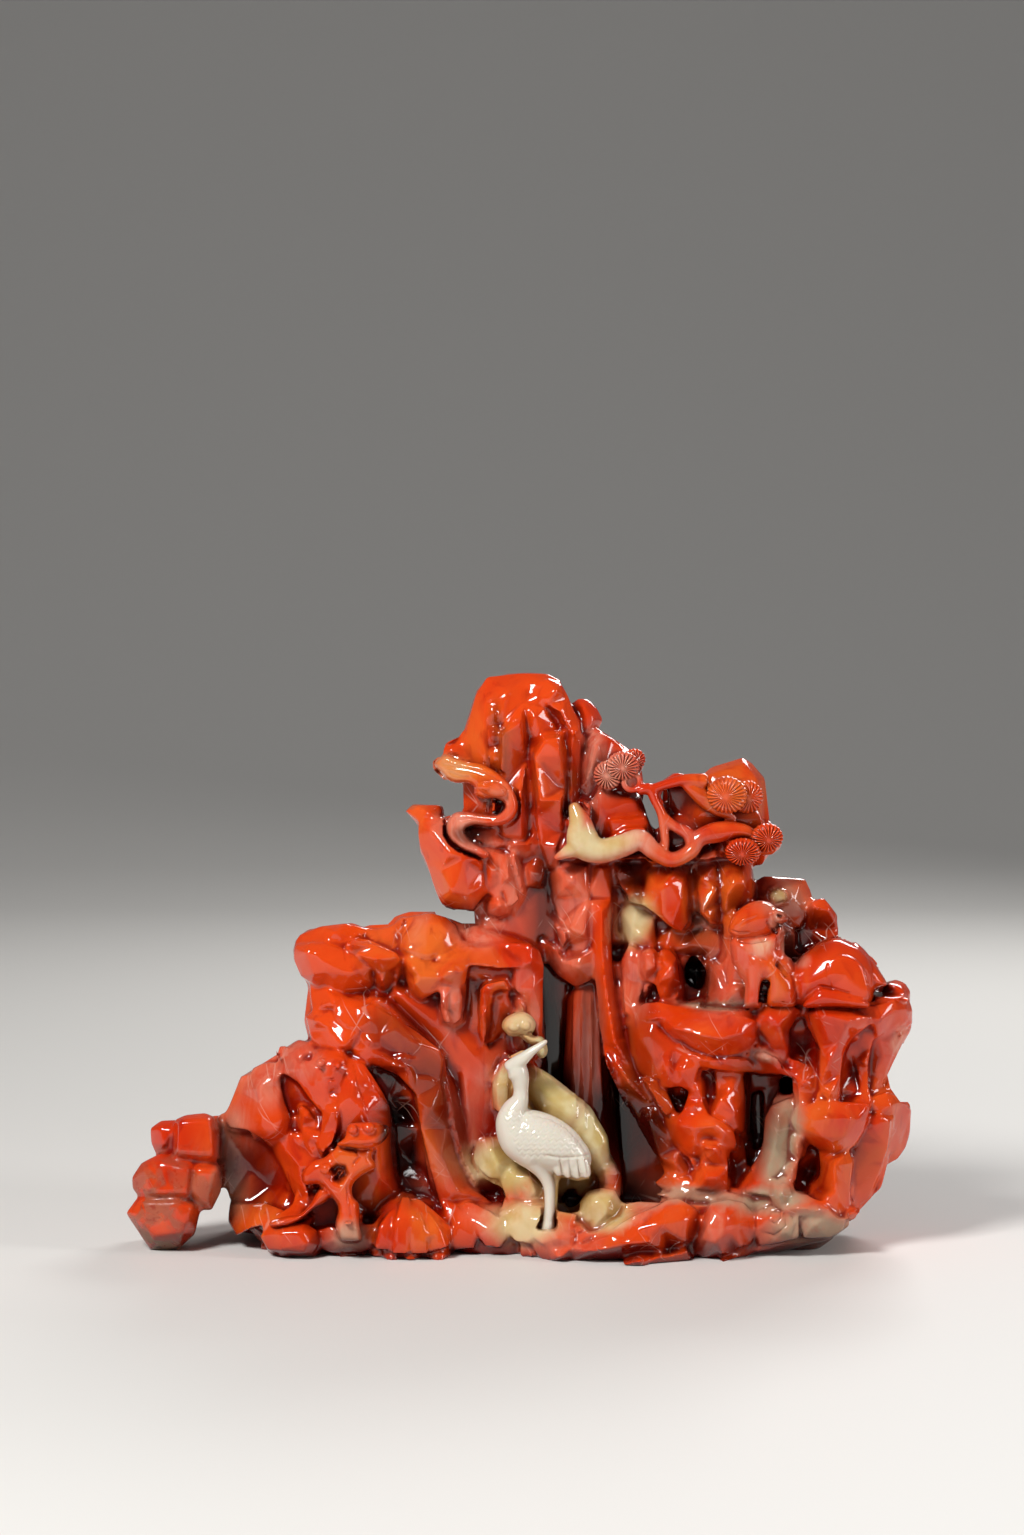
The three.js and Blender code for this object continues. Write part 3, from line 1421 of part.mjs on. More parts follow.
// The crane: body, neck and head, a leg, the beak, and the fungus that it holds.
function crane() {
  const y = -22;
  return Object.values({
    breast: round({ at: [-0.4, y, 34.1], size: [11.4, 10, 13], corners: 30 }),
    body: strand({
      line: [[0.1, y, 36.1], [3, y, 32.7], [8.2, y, 29.3], [13.8, y, 26.3], [17.4, y, 23.4]],
      wide: [12, 14.6, 14, 10, 4],
      deep: [10, 12, 11, 8, 3],
      sides: 8,
      steps: 5,
    }),
    neck: strand({
      line: [[-1.8, y, 48.8], [-0.4, y, 45.9], [0.1, y, 42.9], [-0.6, y, 39]],
      wide: [4.4, 4.2, 4.6, 7.4],
      deep: [4.4, 4.2, 4.6, 7],
      steps: 4,
    }),
    beak: strand({
      line: [[-2.8, y, 48.5], [1.6, y, 51.5], [6.2, y, 54.6]],
      wide: [4.6, 3.2, 1.8],
      deep: [4.4, 3, 1.8],
      steps: 2,
    }),
    leaf: strand({
      line: [[1.6, y, 49.8], [4.3, y, 51.5], [6.5, y, 52.4]],
      wide: [2, 3.2, 3.4],
      deep: 2.8,
      steps: 2,
    }),
    leg: strand({
      line: [[6.5, y, 25.4], [7.4, y, 19.5], [7.7, y, 14.6], [7.4, y, 9.3]],
      wide: [8, 4, 2.8, 4.4],
      deep: [7, 4, 2.8, 4.4],
      steps: 4,
    }),
    fungusCap: round({ at: [-0.4, -22, 59], size: [9.4, 6, 6.2], corners: 14, turn: 2 }),
    fungusStem: strand({
      line: [[1.3, y, 58], [2.6, y, 55.4], [5.2, y, 54.4]],
      wide: [3.4, 2.4, 3.4],
      steps: 2,
    }),
    tail: gem({
      outline: [
        [8.4, 22.4], [10.4, 26.8], [17.9, 27.8], [18.7, 23.9], [17.7, 21], [14.3, 20.2], [10.9, 20.7],
      ],
      rim: -22,
      back: -17,
      face: [[12.3, -27, 24.4], [16.2, -26, 24.9], [13.8, -24, 21.5]],
    }),
  });
}

// The pale rockwork that stands round the crane.
function rockwork() {
  return Object.values({
    leftTall: gem({
      outline: [
        [-5.7, 33.7], [-5.2, 42], [-3.3, 46.8], [2.1, 48.5], [5.5, 46.3], [10.4, 42.9], [12.8, 38],
        [13.8, 16.6], [-4.8, 16.6],
      ],
      rim: -13,
      back: 4,
      face: [[2.6, -16, 45.9], [8.9, -17, 41], [6.2, -17, 21.5]],
    }),
    rightTall: gem({
      outline: [
        [9.9, 42], [13.3, 41], [18.7, 37.1], [20.1, 33.2], [20.1, 27.3], [19.1, 16.6], [11.1, 16.6],
      ],
      rim: -13,
      back: 4,
      face: [[14.8, -17, 37.3], [18.2, -17, 32.4], [16.7, -17, 21.5]],
    }),
    rightLow: gem({
      outline: [[17.7, 22.7], [19.6, 26.3], [22.3, 25.4], [24, 22], [24.3, 15.4], [17.7, 15.4]],
      rim: -14,
      back: 0,
      face: [[21.1, -18, 23.4], [21.6, -18, 18.5]],
    }),
    cube: gem({
      outline: [
        [15, 15.6], [16.7, 18], [22.6, 18.5], [25, 15.6], [24.5, 12.7], [20.6, 9.3], [16.2, 10.7],
      ],
      rim: -21,
      back: -8,
      face: [[17.7, -26, 16.1], [22.1, -26, 16.1], [20.6, -27, 12.2]],
    }),
    leftShelf: gem({
      outline: [
        [-11.6, 27.8], [-10.1, 30.5], [-6.7, 31.5], [0.1, 28.8], [6.2, 24.4], [6.2, 18], [0.1, 16.6],
        [-5.2, 19.5], [-9.1, 21],
      ],
      rim: -17,
      back: -2,
      face: [[-8.7, -21, 28.3], [-3.8, -22, 26.8], [-3.5, -21, 21.5], [2.6, -21, 23.4]],
    }),
    leftLow: gem({
      outline: [[-5.2, 11.2], [-3.3, 17.6], [5, 18], [8.9, 11.2], [6.2, 5.6], [-1.8, 5.6]],
      rim: -21,
      back: -6,
      face: [[-1.3, -25, 15.1], [3.5, -25, 15.1], [2.1, -29, 8.8], [-2.3, -27, 9.3]],
    }),
    floor: gem({
      outline: [[2.6, 6.8], [5, 11.2], [16, 11.2], [21.1, 8.8], [17.2, 4.4], [6.2, 2.9]],
      rim: -24,
      back: -8,
      face: [[7, -31, 8.3], [14.8, -31, 8.3]],
    }),
  });
}

// The deer at rest, its head turned to the left.
function deer() {
  const y = -18;
  return Object.values({
    rump: round({ at: [78.2, y, 72.2], size: [18.6, 15, 16.4], corners: 40 }),
    shoulder: round({ at: [67.7, y, 70.2], size: [14, 12, 12], corners: 20 }),
    tail: strand({
      line: [[82.1, y, 74.4], [86.2, y, 72.2], [89.6, y, 69.3]],
      wide: [8, 5, 1.4],
      deep: [8, 5, 2],
      steps: 2,
    }),
    neck: strand({
      line: [[61.1, y, 67.8], [60.6, y, 74.6], [60.6, y, 79], [61.8, y, 83.9]],
      wide: [9, 8.4, 7, 6],
      deep: [9, 9, 7, 6],
      steps: 3,
    }),
    head: gem({
      outline: [
        [51.6, 82.4], [52.6, 85.1], [55, 87.8], [58.2, 89.5], [62.3, 88.5], [64.8, 85.9], [64.3, 82.4],
        [59.6, 80.5], [53.3, 80.7],
      ],
      rim: y - 1,
      back: y + 6,
      face: [
        [54.8, -22, 85.9], [58.7, -23, 88], [62.1, -23, 86.3], [62.1, -24, 83.2], [54.8, -23, 82.2],
        [59.1, -24.5, 82.2],
      ],
    }),
    ear: pad({ at: [63.5, -23, 85.9], radius: 2.2, thick: 2.4, oval: 0.6, facing: [0.3, -0.9, 0.2] }),
    haunch: round({ at: [81.3, -22, 71], size: [10, 9, 10.6], corners: 20, turn: 4 }),
    hindFoot: strand({
      line: [[85, -24, 65.6], [79.4, -25, 66.1], [71.3, -25, 65.1]],
      wide: [4.4, 4.6, 2.6],
      deep: 5,
      steps: 2,
    }),
    straightLeg: strand({
      line: [[58.4, -21, 77.1], [57.9, -22, 70.2], [57.2, -23, 63.7]],
      wide: [6, 4.2, 4],
      deep: 6,
      steps: 2,
    }),
    bentThigh: strand({
      line: [[61.1, -21, 76.1], [64.5, -23, 72.2], [66.7, -24, 68.3]],
      wide: [5.4, 6.4, 6],
      deep: 6,
      steps: 2,
    }),
    bentShin: strand({
      line: [[67.4, -24, 67.8], [65, -25, 65.6], [61.6, -25, 64.6]],
      wide: [5, 4.6, 2.8],
      deep: 5,
      steps: 2,
    }),
  });
}

// The old pine that leans over the cliff, with its round cushions of needles.
function pine() {
  const y = -15;
  const ring = { at: [27.4, y, 118.5], radius: 1.7, tube: 0.95 };
  const loop = Array.from({ length: 7 }, (_, i) => {
    const a = Math.PI * (0.1 + (i / 6) * 1.95);
    return [ring.at[0] + Math.cos(a) * ring.radius, y, ring.at[2] + Math.sin(a) * ring.radius];
  });
  return Object.values({
    trunk: strand({
      line: [
        [15.2, y, 113.7], [14.5, y, 108.8], [15.5, y, 103.9], [18.9, y, 101.2], [22.6, y, 102],
        [25.5, y, 104.4], [28.9, y, 106.1], [31.8, y, 103.9],
      ],
      wide: [4.4, 5.6, 6.6, 5.4, 5, 5, 4, 3.6],
      deep: [5.4, 6, 6.6, 6, 6, 6, 5, 5],
      steps: 9,
    }),
    lowerLoop: strand({
      line: [
        [30.4, y, 105.6], [32.3, y, 102.4], [34.8, y, 99.8], [38.4, y, 99.3], [41.8, y, 101],
        [43.5, y, 104.1], [42.6, y, 107.6], [39.6, y, 109.8], [36.2, y, 109.8],
      ],
      wide: [3.6, 3.6, 3.4, 3.4, 3.6, 3.6, 3.2, 3, 2.6],
      deep: 5,
      steps: 10,
    }),
    upperStem: strand({
      line: [[28.9, y, 116.6], [31.8, y, 116.8], [33.5, y, 114.1], [35, y, 110.5], [34.8, y, 106.1]],
      wide: [2.6, 3, 2.4, 2.4, 2.4],
      deep: [3.6, 4, 4.6, 5, 5],
      steps: 5,
    }),
    ringLoop: strand({ line: loop, wide: ring.tube * 2, deep: 3.6, sides: 5, steps: 7 }),
    upperBranch: strand({
      line: [[32.8, y, 115.9], [34.8, y + 1, 117.8], [37.9, y + 3, 119.3], [42.1, y + 4, 118.8]],
      wide: [2.4, 2.8, 3, 3],
      deep: 5,
      steps: 3,
    }),
    hollowRim: strand({
      line: [[34.8, y, 112.7], [37.9, y, 111], [41.6, y, 110.7], [44, y + 2, 112.7]],
      wide: 2.6,
      deep: 5,
      steps: 3,
    }),
    rightBranch: strand({
      line: [[42.6, y, 107.3], [47.7, y, 107.1], [52.6, y, 105.9], [56.7, y, 103.4]],
      wide: [4, 4.2, 4.4, 5],
      deep: 6,
      steps: 3,
    }),
    rootTip: strand({
      line: [[16.2, y, 102.9], [11.8, y, 101.5], [8.2, y + 1, 100.7]],
      wide: [6, 4, 1.6],
      steps: 2,
    }),
    needlesA: pad({ at: [21.8, -14, 120.2], radius: 3.4, thick: 6, facing: [-0.2, -1, 0.1] }),
    needlesB: pad({ at: [25, -14, 122.4], radius: 4, thick: 7, facing: [0, -1, 0.2] }),
    needlesC: pad({ at: [27.4, -11, 122.9], radius: 3.2, thick: 7, facing: [0.3, -1, 0.2] }),
    needlesD: pad({ at: [50.4, -13, 115.6], radius: 4.8, thick: 6, facing: [-0.1, -1, 0.1] }),
    needlesE: pad({ at: [54.3, -11, 115.1], radius: 4.4, thick: 6, facing: [0.3, -1, 0] }),
    needlesF: pad({
      at: [60.1, -12, 104.4],
      radius: 4.6,
      thick: 7,
      oval: 0.9,
      facing: [0.3, -1, 0.1],
      spin: 0.5,
    }),
    needlesG: pad({ at: [54.5, -15, 102], radius: 4.8, thick: 6, oval: 0.85, facing: [-0.1, -1, 0.2] }),
  });
}

// The scrolling cloud that curls round the left side of the summit.
function cloud() {
  return Object.values({
    ribbon: strand({
      line: [
        [-20.1, -9, 122.9], [-17, -11, 121.5], [-12.1, -13, 120.7], [-7.2, -15, 119.8],
        [-3.5, -17, 117.1], [-2.3, -17.5, 113.9], [-3.3, -17, 111],
        [-6.5, -15.5, 109.5], [-10.6, -14, 109.8], [-14.3, -13, 109.3], [-15.7, -12, 106.8],
        [-14.3, -13, 103.9], [-10.6, -14, 102.2], [-6.7, -12, 100],
      ],
      wide: [3, 6.4, 6, 5.4, 4.8, 4.6, 4.4, 4, 3.8, 4, 4.6, 4.8, 4.6, 3.4],
      deep: 6,
      steps: 14,
    }),
    lobe: strand({
      line: [[-11.6, -12, 117.6], [-8.2, -14.5, 117.1], [-4.8, -15.5, 116.1]],
      wide: [3.6, 4.4, 3.4],
      deep: 6,
      steps: 2,
    }),
    curl: strand({
      line: [[-8.2, -13, 114.4], [-5.5, -15, 113.9], [-4.5, -15.5, 112]],
      wide: 2.2,
      deep: 6,
      steps: 2,
    }),
    horn: strand({
      line: [[-17.7, -9, 123.9], [-16, -7, 126.8], [-12.1, -6, 129.3]],
      wide: [4, 4.6, 4.6],
      steps: 2,
    }),
  });
}

// The sprays of fungus on the left slope: two caps on a forked stem.
function fungus() {
  const y = -30;
  return Object.values({
    upperCap: pad({
      at: [-38.2, y, 32],
      radius: 6.6,
      thick: 4.6,
      oval: 0.5,
      facing: [-0.1, -1, 0.6],
      spin: -0.12,
    }),
    rightStem: strand({
      line: [
        [-37.4, y, 30], [-36.5, y, 26.8], [-37, y, 24.4], [-39.9, y, 22], [-42.3, y, 19],
        [-42.1, y, 15.1], [-41.3, y + 1, 9.3],
      ],
      wide: [3.6, 3.4, 3.8, 4, 4.6, 4.4, 6],
      deep: 7,
      steps: 6,
    }),
    leftStem: strand({
      line: [[-40.9, y + 1, 28.8], [-43.8, y + 2, 26.8], [-46.7, y + 3, 24.9], [-50.1, y + 4, 22.4]],
      wide: [4.6, 5, 4.6, 4],
      deep: 7,
      steps: 3,
    }),
    lowerCap: pad({ at: [-49.4, y + 3, 22.4], radius: 4, thick: 5, oval: 0.7, facing: [-0.3, -1, 0.4] }),
    bridge: strand({
      line: [[-42.3, y, 19], [-45.5, y, 19], [-48.7, y + 1, 20.5]],
      wide: [4.4, 3.6, 3.6],
      deep: 7,
      steps: 2,
    }),
  });
}

// Hollows that are ground out of the rock before the figures are added.
function hollows() {
  return Object.values({
    smallCave: boulder({ at: [29.4, -6, 83.4], size: [8, 14, 10], seed: 201, rough: 0.05 }),
    darkPocket: boulder({ at: [43, -8, 71.7], size: [6, 12, 10], seed: 203, rough: 0.05 }),
    bowl: gem({
      outline: [
        [-71.1, 28.8], [-62.8, 30.2], [-57.9, 21.5], [-53.5, 13.7], [-57.4, 12.2], [-63.8, 16.1],
        [-71.1, 14.6],
      ],
      rim: -24,
      back: -2,
      shrink: 0.6,
    }),
    shaftShade: gem({
      outline: [[-30.1, 46.3], [-26.2, 45.4], [-24.3, 31.2], [-21.3, 18.5], [-25.2, 17.1], [-29.6, 26.3]],
      rim: -30,
      back: -6,
      shrink: 0.7,
    }),
    twigHollow: boulder({ at: [38.4, -12, 114.4], size: [6, 12, 5], seed: 209, rough: 0.05 }),
    legHollow: gem({
      outline: [[68.2, 26.3], [71.8, 27.3], [73.8, 21.5], [70.9, 18], [67.4, 19.5]],
      rim: -28,
      back: -8,
      shrink: 0.8,
    }),
    postShade: gem({
      outline: [[56.5, 43.4], [60.1, 44.4], [60.1, 28.8], [57.2, 25.4]],
      rim: -24,
      back: -4,
      shrink: 0.8,
    }),
    window: gem({
      outline: [[63.3, 45.9], [67.4, 46.3], [67.7, 42], [64, 41.5]],
      rim: -24,
      back: 2,
      shrink: 0.8,
    }),
    craneShade: gem({
      outline: [[10.4, 18.5], [14.3, 19.5], [14.8, 14.1], [11.3, 13.2]],
      rim: -22,
      back: -12,
      shrink: 0.8,
    }),
    pineWindow: gem({
      outline: [[31.1, 115.1], [33, 112.7], [34.3, 109.3], [33.8, 106.3], [32.1, 107.3], [30.9, 111.2]],
      rim: -30,
      back: 40,
      shrink: 1,
    }),
  });
}

const join = (solids) => wasm.Manifold.union(solids);

// The whole carving as one solid, sawn flat underneath.
function carving() {
  const rock = join([
    ...summit(),
    ...cliff(),
    ...curtain(),
    ...peak(),
    ...backdrop(),
    ...shelf(),
    ...pillars(),
    ...understone(),
    ...plateau(),
    ...overhang(),
    ...flank(),
    ...slope(),
    ...outlier(),
    ...base(),
    ...foreground(),
    ...rockwork(),
    ...rear(),
  ]);
  const carved = rock.subtract(join(hollows()));
  const figures = join([...crane(), ...deer(), ...pine(), ...cloud(), ...fungus()]);
  const corners = [LEFT, RIGHT].flatMap(
    (x) => [FRONT, BACK].flatMap((y) => [0, HEIGHT].map((z) => [x, y, z])),
  );
  const room = block(corners.map(drawnPlace));
  const whole = carved.add(figures).intersect(room).asOriginal().simplify(SLIVER);
  const [body] = whole.decompose().sort((a, b) => b.volume() - a.volume());
  return body;
}

// Draws each corner that shares its place with another one back into the stone by a hair.
function drawApart(places, corners) {
  const bare = new THREE.BufferGeometry().setAttribute("position", new THREE.BufferAttribute(places, 3));
  bare.setIndex(new THREE.BufferAttribute(corners, 1)).computeVertexNormals();
  const normals = bare.attributes.normal.array;
  const at = new Map();
  for (let i = 0; i < places.length; i += 3) {
    const name = Array.from(places.subarray(i, i + 3), (value) => value.toFixed(2)).join(" ");
    at.set(name, [...(at.get(name) ?? []), i]);
  }
  const shared = [...at.values()].filter((starts) => starts.length > 1).flat();
  for (const i of shared) for (const k of [0, 1, 2]) places[i + k] -= HAIR * normals[i + k];
}

function geometryOf(made) {
  const mesh = made.getMesh();
  const places = new Float32Array(mesh.numVert * 3);
  for (let i = 0; i < mesh.numVert; i += 1)
    places.set(mesh.vertProperties.subarray(i * mesh.numProp, i * mesh.numProp + 3), i * 3);
  drawApart(places, mesh.triVerts);
  return new THREE.BufferGeometry()
    .setAttribute("position", new THREE.BufferAttribute(places, 3))
    .setIndex(new THREE.BufferAttribute(mesh.triVerts, 1));
}

// Red agate, ground and polished by hand.
const agate = new THREE.MeshStandardMaterial({ color: 0xc8401c, roughness: 0.18, metalness: 0 });

const ornament = new THREE.Group();
const stone = new THREE.Mesh(geometryOf(carving()), agate);
stone.name = "agate_carving";
ornament.add(stone);

export default ornament;
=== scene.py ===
"""The looks of a one-piece agate landscape carving with a crane, a deer and a pine, built round the frame.

Sizes are millimetres while a shape is worked out, and metres once it is in a mesh. Most places are given as
(across, down, depth): the point of the front picture, in its pixels, where the form is seen, and the depth in
millimetres behind or before the middle of the stone. The function spot() turns that into the frame.
"""
import math

import bpy
import numpy as np
import openvdb
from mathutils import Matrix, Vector
from mathutils.geometry import delaunay_2d_cdt


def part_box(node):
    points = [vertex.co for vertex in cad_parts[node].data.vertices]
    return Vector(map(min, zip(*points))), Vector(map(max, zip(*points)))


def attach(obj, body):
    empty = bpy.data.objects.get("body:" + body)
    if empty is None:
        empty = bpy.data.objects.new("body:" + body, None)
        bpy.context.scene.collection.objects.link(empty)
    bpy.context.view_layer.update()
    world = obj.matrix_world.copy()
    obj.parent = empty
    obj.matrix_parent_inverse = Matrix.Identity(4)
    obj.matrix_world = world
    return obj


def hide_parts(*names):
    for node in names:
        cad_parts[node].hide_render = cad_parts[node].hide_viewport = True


bl_info = {
    "name": "Agate landscape carving",
    "version": (1, 0, 0),
    "blender": (4, 5, 0),
    "location": "View3D > Sidebar > Agate carving",
    "description": "Rockwork, crane, deer, pine, cloud and fungus carved from one red agate",
    "category": "Add Mesh",
}

NODE = "agate_carving"
STONE = "polished_red_agate"
MM = 0.001

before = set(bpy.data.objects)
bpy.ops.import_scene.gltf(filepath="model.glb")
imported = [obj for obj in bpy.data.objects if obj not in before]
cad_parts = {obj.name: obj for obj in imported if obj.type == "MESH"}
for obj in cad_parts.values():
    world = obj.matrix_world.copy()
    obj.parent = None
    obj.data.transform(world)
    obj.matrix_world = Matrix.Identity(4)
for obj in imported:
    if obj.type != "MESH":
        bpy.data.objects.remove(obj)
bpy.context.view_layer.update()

# The eye that sees the front picture, and the upright plane on which the picture has its plain scale.
PICTURE_WIDTH = 1024
PICTURE_HEIGHT = 1535
PIXELS_PER_MM = 4.1
MIDDLE_ACROSS = 519.5
GROUND_DOWN = 1268.0
PICTURE_PLANE = -33.0
EYE_AWAY = 998.0
EYE_HEIGHT = 181.3


def spot(places):
    """Turns rows of (across, down, depth) into frame millimetres.

    The picture point is laid on the picture plane, and slid along the line of sight to its depth.
    """
    places = np.asarray(places, float)
    scale = 1 + (places[..., 2] - PICTURE_PLANE) / EYE_AWAY
    across = (places[..., 0] - MIDDLE_ACROSS) / PIXELS_PER_MM
    height = (GROUND_DOWN - places[..., 1]) / PIXELS_PER_MM
    return np.stack([across * scale, places[..., 2], EYE_HEIGHT + (height - EYE_HEIGHT) * scale], -1)


def seen(points):
    """The opposite of spot(): frame millimetres to (across, down), in picture pixels."""
    scale = 1 + (points[:, 1] - PICTURE_PLANE) / EYE_AWAY
    across = points[:, 0] / scale * PIXELS_PER_MM + MIDDLE_ACROSS
    height = EYE_HEIGHT + (points[:, 2] - EYE_HEIGHT) / scale
    return across, GROUND_DOWN - height * PIXELS_PER_MM


def linear(hex_colour):
    """An sRGB hex colour as linear red, green, blue: each channel by the sRGB curve."""
    value = np.array([int(hex_colour[i:i + 2], 16) / 255 for i in (1, 3, 5)])
    low = value / 12.92
    high = ((value + 0.055) / 1.055) ** 2.4
    return tuple(float(v) for v in np.where(value <= 0.04045, low, high))


def through(points, count):
    """A smooth line through the rows: cubics whose slope at a row is half the step between its neighbours."""
    points = np.asarray(points, float)
    padded = np.vstack([2 * points[0] - points[1], points, 2 * points[-1] - points[-2]])
    along = np.linspace(0, len(points) - 1, count)
    index = np.minimum(along.astype(int), len(points) - 2)
    t = (along - index)[:, None]
    a, b, c, d = (padded[index + k] for k in range(4))
    return 0.5 * (2 * b + (c - a) * t + (2 * a - 5 * b + 4 * c - d) * t ** 2 + (3 * b - a - 3 * c + d) * t ** 3)


def closed(rings, first, last):
    """A closed skin over rings of equal count, with a point at each end: vertices and outward triangles."""
    count, sides = rings.shape[:2]
    verts = np.vstack([rings.reshape(-1, 3), first, last])
    ring = np.arange(count - 1)[:, None] * sides
    here = np.arange(sides)[None, :]
    there = (here + 1) % sides
    a, b = (ring + here).ravel(), (ring + there).ravel()
    c, d = (ring + sides + there).ravel(), (ring + sides + here).ravel()
    faces = [np.stack([a, b, c], 1), np.stack([a, c, d], 1)]
    rim = np.arange(sides)
    turn = (rim + 1) % sides
    top = (count - 1) * sides
    faces.append(np.stack([np.full(sides, count * sides), turn, rim], 1))
    faces.append(np.stack([np.full(sides, count * sides + 1), top + rim, top + turn], 1))
    faces = np.vstack(faces)
    corners = verts[faces]
    volume = np.einsum("ij,ij->i", corners[:, 0], np.cross(corners[:, 1], corners[:, 2])).sum()
    return verts, faces if volume > 0 else faces[:, ::-1]


# The rings that round off a strand's end, and in millimetres its least half size and the reach of its tip.
CAP_RINGS = 5
THINNEST = 0.05
TIP = 0.02


def strand(rows, sides=20, steps=None, blunt=0.6):
    """A profile carried along a path.

    Each row is (across, down, depth, half width in pixels, half depth in millimetres). The profile is an
    ellipse, its wide axis square to the path in the picture and its deep axis away from the eye. The ends
    close as quarter circles whose length is blunt times the smaller half size.
    """
    rows = np.asarray(rows, float)
    steps = steps or max(12, 7 * len(rows))
    line = through(np.hstack([spot(rows[:, :3]), rows[:, 3:4] / PIXELS_PER_MM, rows[:, 4:5]]), steps)
    path, wide, deep = line[:, :3], np.maximum(line[:, 3], THINNEST), np.maximum(line[:, 4], THINNEST)
    run = np.gradient(path, axis=0)
    run /= np.linalg.norm(run, axis=1, keepdims=True)
    side = np.cross(run, np.array([0.0, 1.0, 0.0]))
    side /= np.maximum(np.linalg.norm(side, axis=1, keepdims=True), 1e-6)
    away = np.cross(side, run)
    caps = np.linspace(0.08, 1.0, CAP_RINGS + 1)[:-1] * np.pi / 2
    grow, push = np.sin(caps), np.cos(caps)

    def end(k, sign):
        centre = path[k] + sign * run[k] * (push * blunt * min(wide[k], deep[k]))[:, None]
        turned = (np.repeat(v[k][None], CAP_RINGS, 0) for v in (side, away))
        return centre, grow * wide[k], grow * deep[k], *turned

    head, tail = end(0, -1), [v[::-1] for v in end(-1, 1)]
    centre = np.vstack([head[0], path, tail[0]])
    wide = np.concatenate([head[1], wide, tail[1]])
    deep = np.concatenate([head[2], deep, tail[2]])
    side = np.vstack([head[3], side, tail[3]])
    away = np.vstack([head[4], away, tail[4]])
    angle = np.linspace(0, 2 * np.pi, sides, endpoint=False)
    rings = (centre[:, None] + side[:, None] * (wide[:, None] * np.cos(angle))[..., None]
             + away[:, None] * (deep[:, None] * np.sin(angle))[..., None])
    return closed(rings, centre[0] - run[0] * TIP, centre[-1] + run[-1] * TIP)


def pebble(place, radii, turn=0.0, sides=32, rings=20):
    """An ellipsoid, turned by turn degrees in the picture.

    The radii are (half width, half height) in pixels and half depth in millimetres.
    """
    centre = spot([place])[0]
    wide, tall, deep = radii[0] / PIXELS_PER_MM, radii[1] / PIXELS_PER_MM, radii[2]
    lat = np.linspace(0, np.pi, rings + 2)[1:-1, None]
    lon = np.linspace(0, 2 * np.pi, sides, endpoint=False)[None, :]
    x = wide * np.cos(lon) * np.sin(lat)
    y = deep * np.sin(lon) * np.sin(lat)
    z = tall * np.cos(lat) * np.ones_like(lon)
    c, s = math.cos(math.radians(turn)), math.sin(math.radians(turn))
    shape = np.stack([c * x - s * z, y, s * x + c * z], -1) + centre
    pole = np.array([-s * tall, 0, c * tall])
    return closed(shape, centre + pole, centre - pole)


def needle_pad(place, radius, thick, needles, depth, facing, squash=1.0):
    """A round pine pad: a flat dome whose front is scored by grooves from its middle to its scalloped rim.

    Going from the front pole to the rim and on to the back pole, the radius is the sine of the ring angle
    and the height its cosine, both made fuller by a power below one. The grooves are a squared cosine of
    the needle count round the pad, depth millimetres deep. Facing is how far the pad looks to the side and
    up, in degrees.
    """
    centre = spot([place])[0]
    size = radius / PIXELS_PER_MM
    sides = needles * 6
    ring = np.linspace(0.04, np.pi - 0.04, 22)[:, None]
    angle = np.linspace(0, 2 * np.pi, sides, endpoint=False)[None, :]
    reach = np.sin(ring) ** 0.8
    score = (np.cos(needles * angle) * 0.5 + 0.5) ** 2
    front = np.clip(np.cos(ring), 0, 1)
    bite = depth * score * np.clip(reach * 1.3 - 0.12, 0, 1) * (0.35 + 0.65 * (ring < np.pi / 2))
    radial = size * reach * (1 - 0.045 * score * (reach > 0.8))
    dome = np.sign(np.cos(ring)) * np.abs(np.cos(ring)) ** 0.75
    height = thick * dome - bite * (ring < np.pi / 2) * (0.25 + front)
    x, z = radial * np.cos(angle), radial * np.sin(angle) * squash
    y = -height * np.ones_like(angle)
    yaw, pitch = (math.radians(v) for v in facing)
    x, y = x * math.cos(yaw) - y * math.sin(yaw), x * math.sin(yaw) + y * math.cos(yaw)
    y, z = y * math.cos(pitch) - z * math.sin(pitch), y * math.sin(pitch) + z * math.cos(pitch)
    shape = np.stack([x, y, z], -1)
    return closed(shape + centre, shape[0].mean(0) + centre, shape[-1].mean(0) + centre)


def facets(outline, inner=(), thick=7.0):
    """A slab with a cut front: flat triangles laid between the outline's corners and the inner corners.

    Every corner is (across, down, depth). The back is the same net of triangles, thick millimetres farther
    away, and straight walls close the two along the outline.
    """
    corners = np.array(list(outline) + list(inner), float)
    count = len(outline)
    flat, _, net, source, _, _ = delaunay_2d_cdt([Vector((x, -y)) for x, y, _ in corners],
                                                 [(k, (k + 1) % count) for k in range(count)], [], 1, 1e-3)
    flat = np.array([(v.x, -v.y) for v in flat])
    nearest = ((flat[:, None] - corners[None, :, :2]) ** 2).sum(2).argmin(1)
    depth = corners[nearest, 2]
    net = np.array(net)
    front = spot(np.column_stack([flat, depth]))
    back = spot(np.column_stack([flat, depth + thick]))
    size = len(flat)
    sides = np.vstack([net[:, [0, 1]], net[:, [1, 2]], net[:, [2, 0]]])
    known = set(map(tuple, sides))
    rim = np.array([side for side in map(tuple, sides) if side[::-1] not in known])
    walls = np.vstack([np.column_stack([rim[:, 1], rim[:, 0], rim[:, 0] + size]),
                       np.column_stack([rim[:, 1], rim[:, 0] + size, rim[:, 1] + size])])
    return np.vstack([front, back]), np.vstack([net, net[:, ::-1] + size, walls])


# The pixels between the points inside a puff.
PUFF_STEP = 2.4


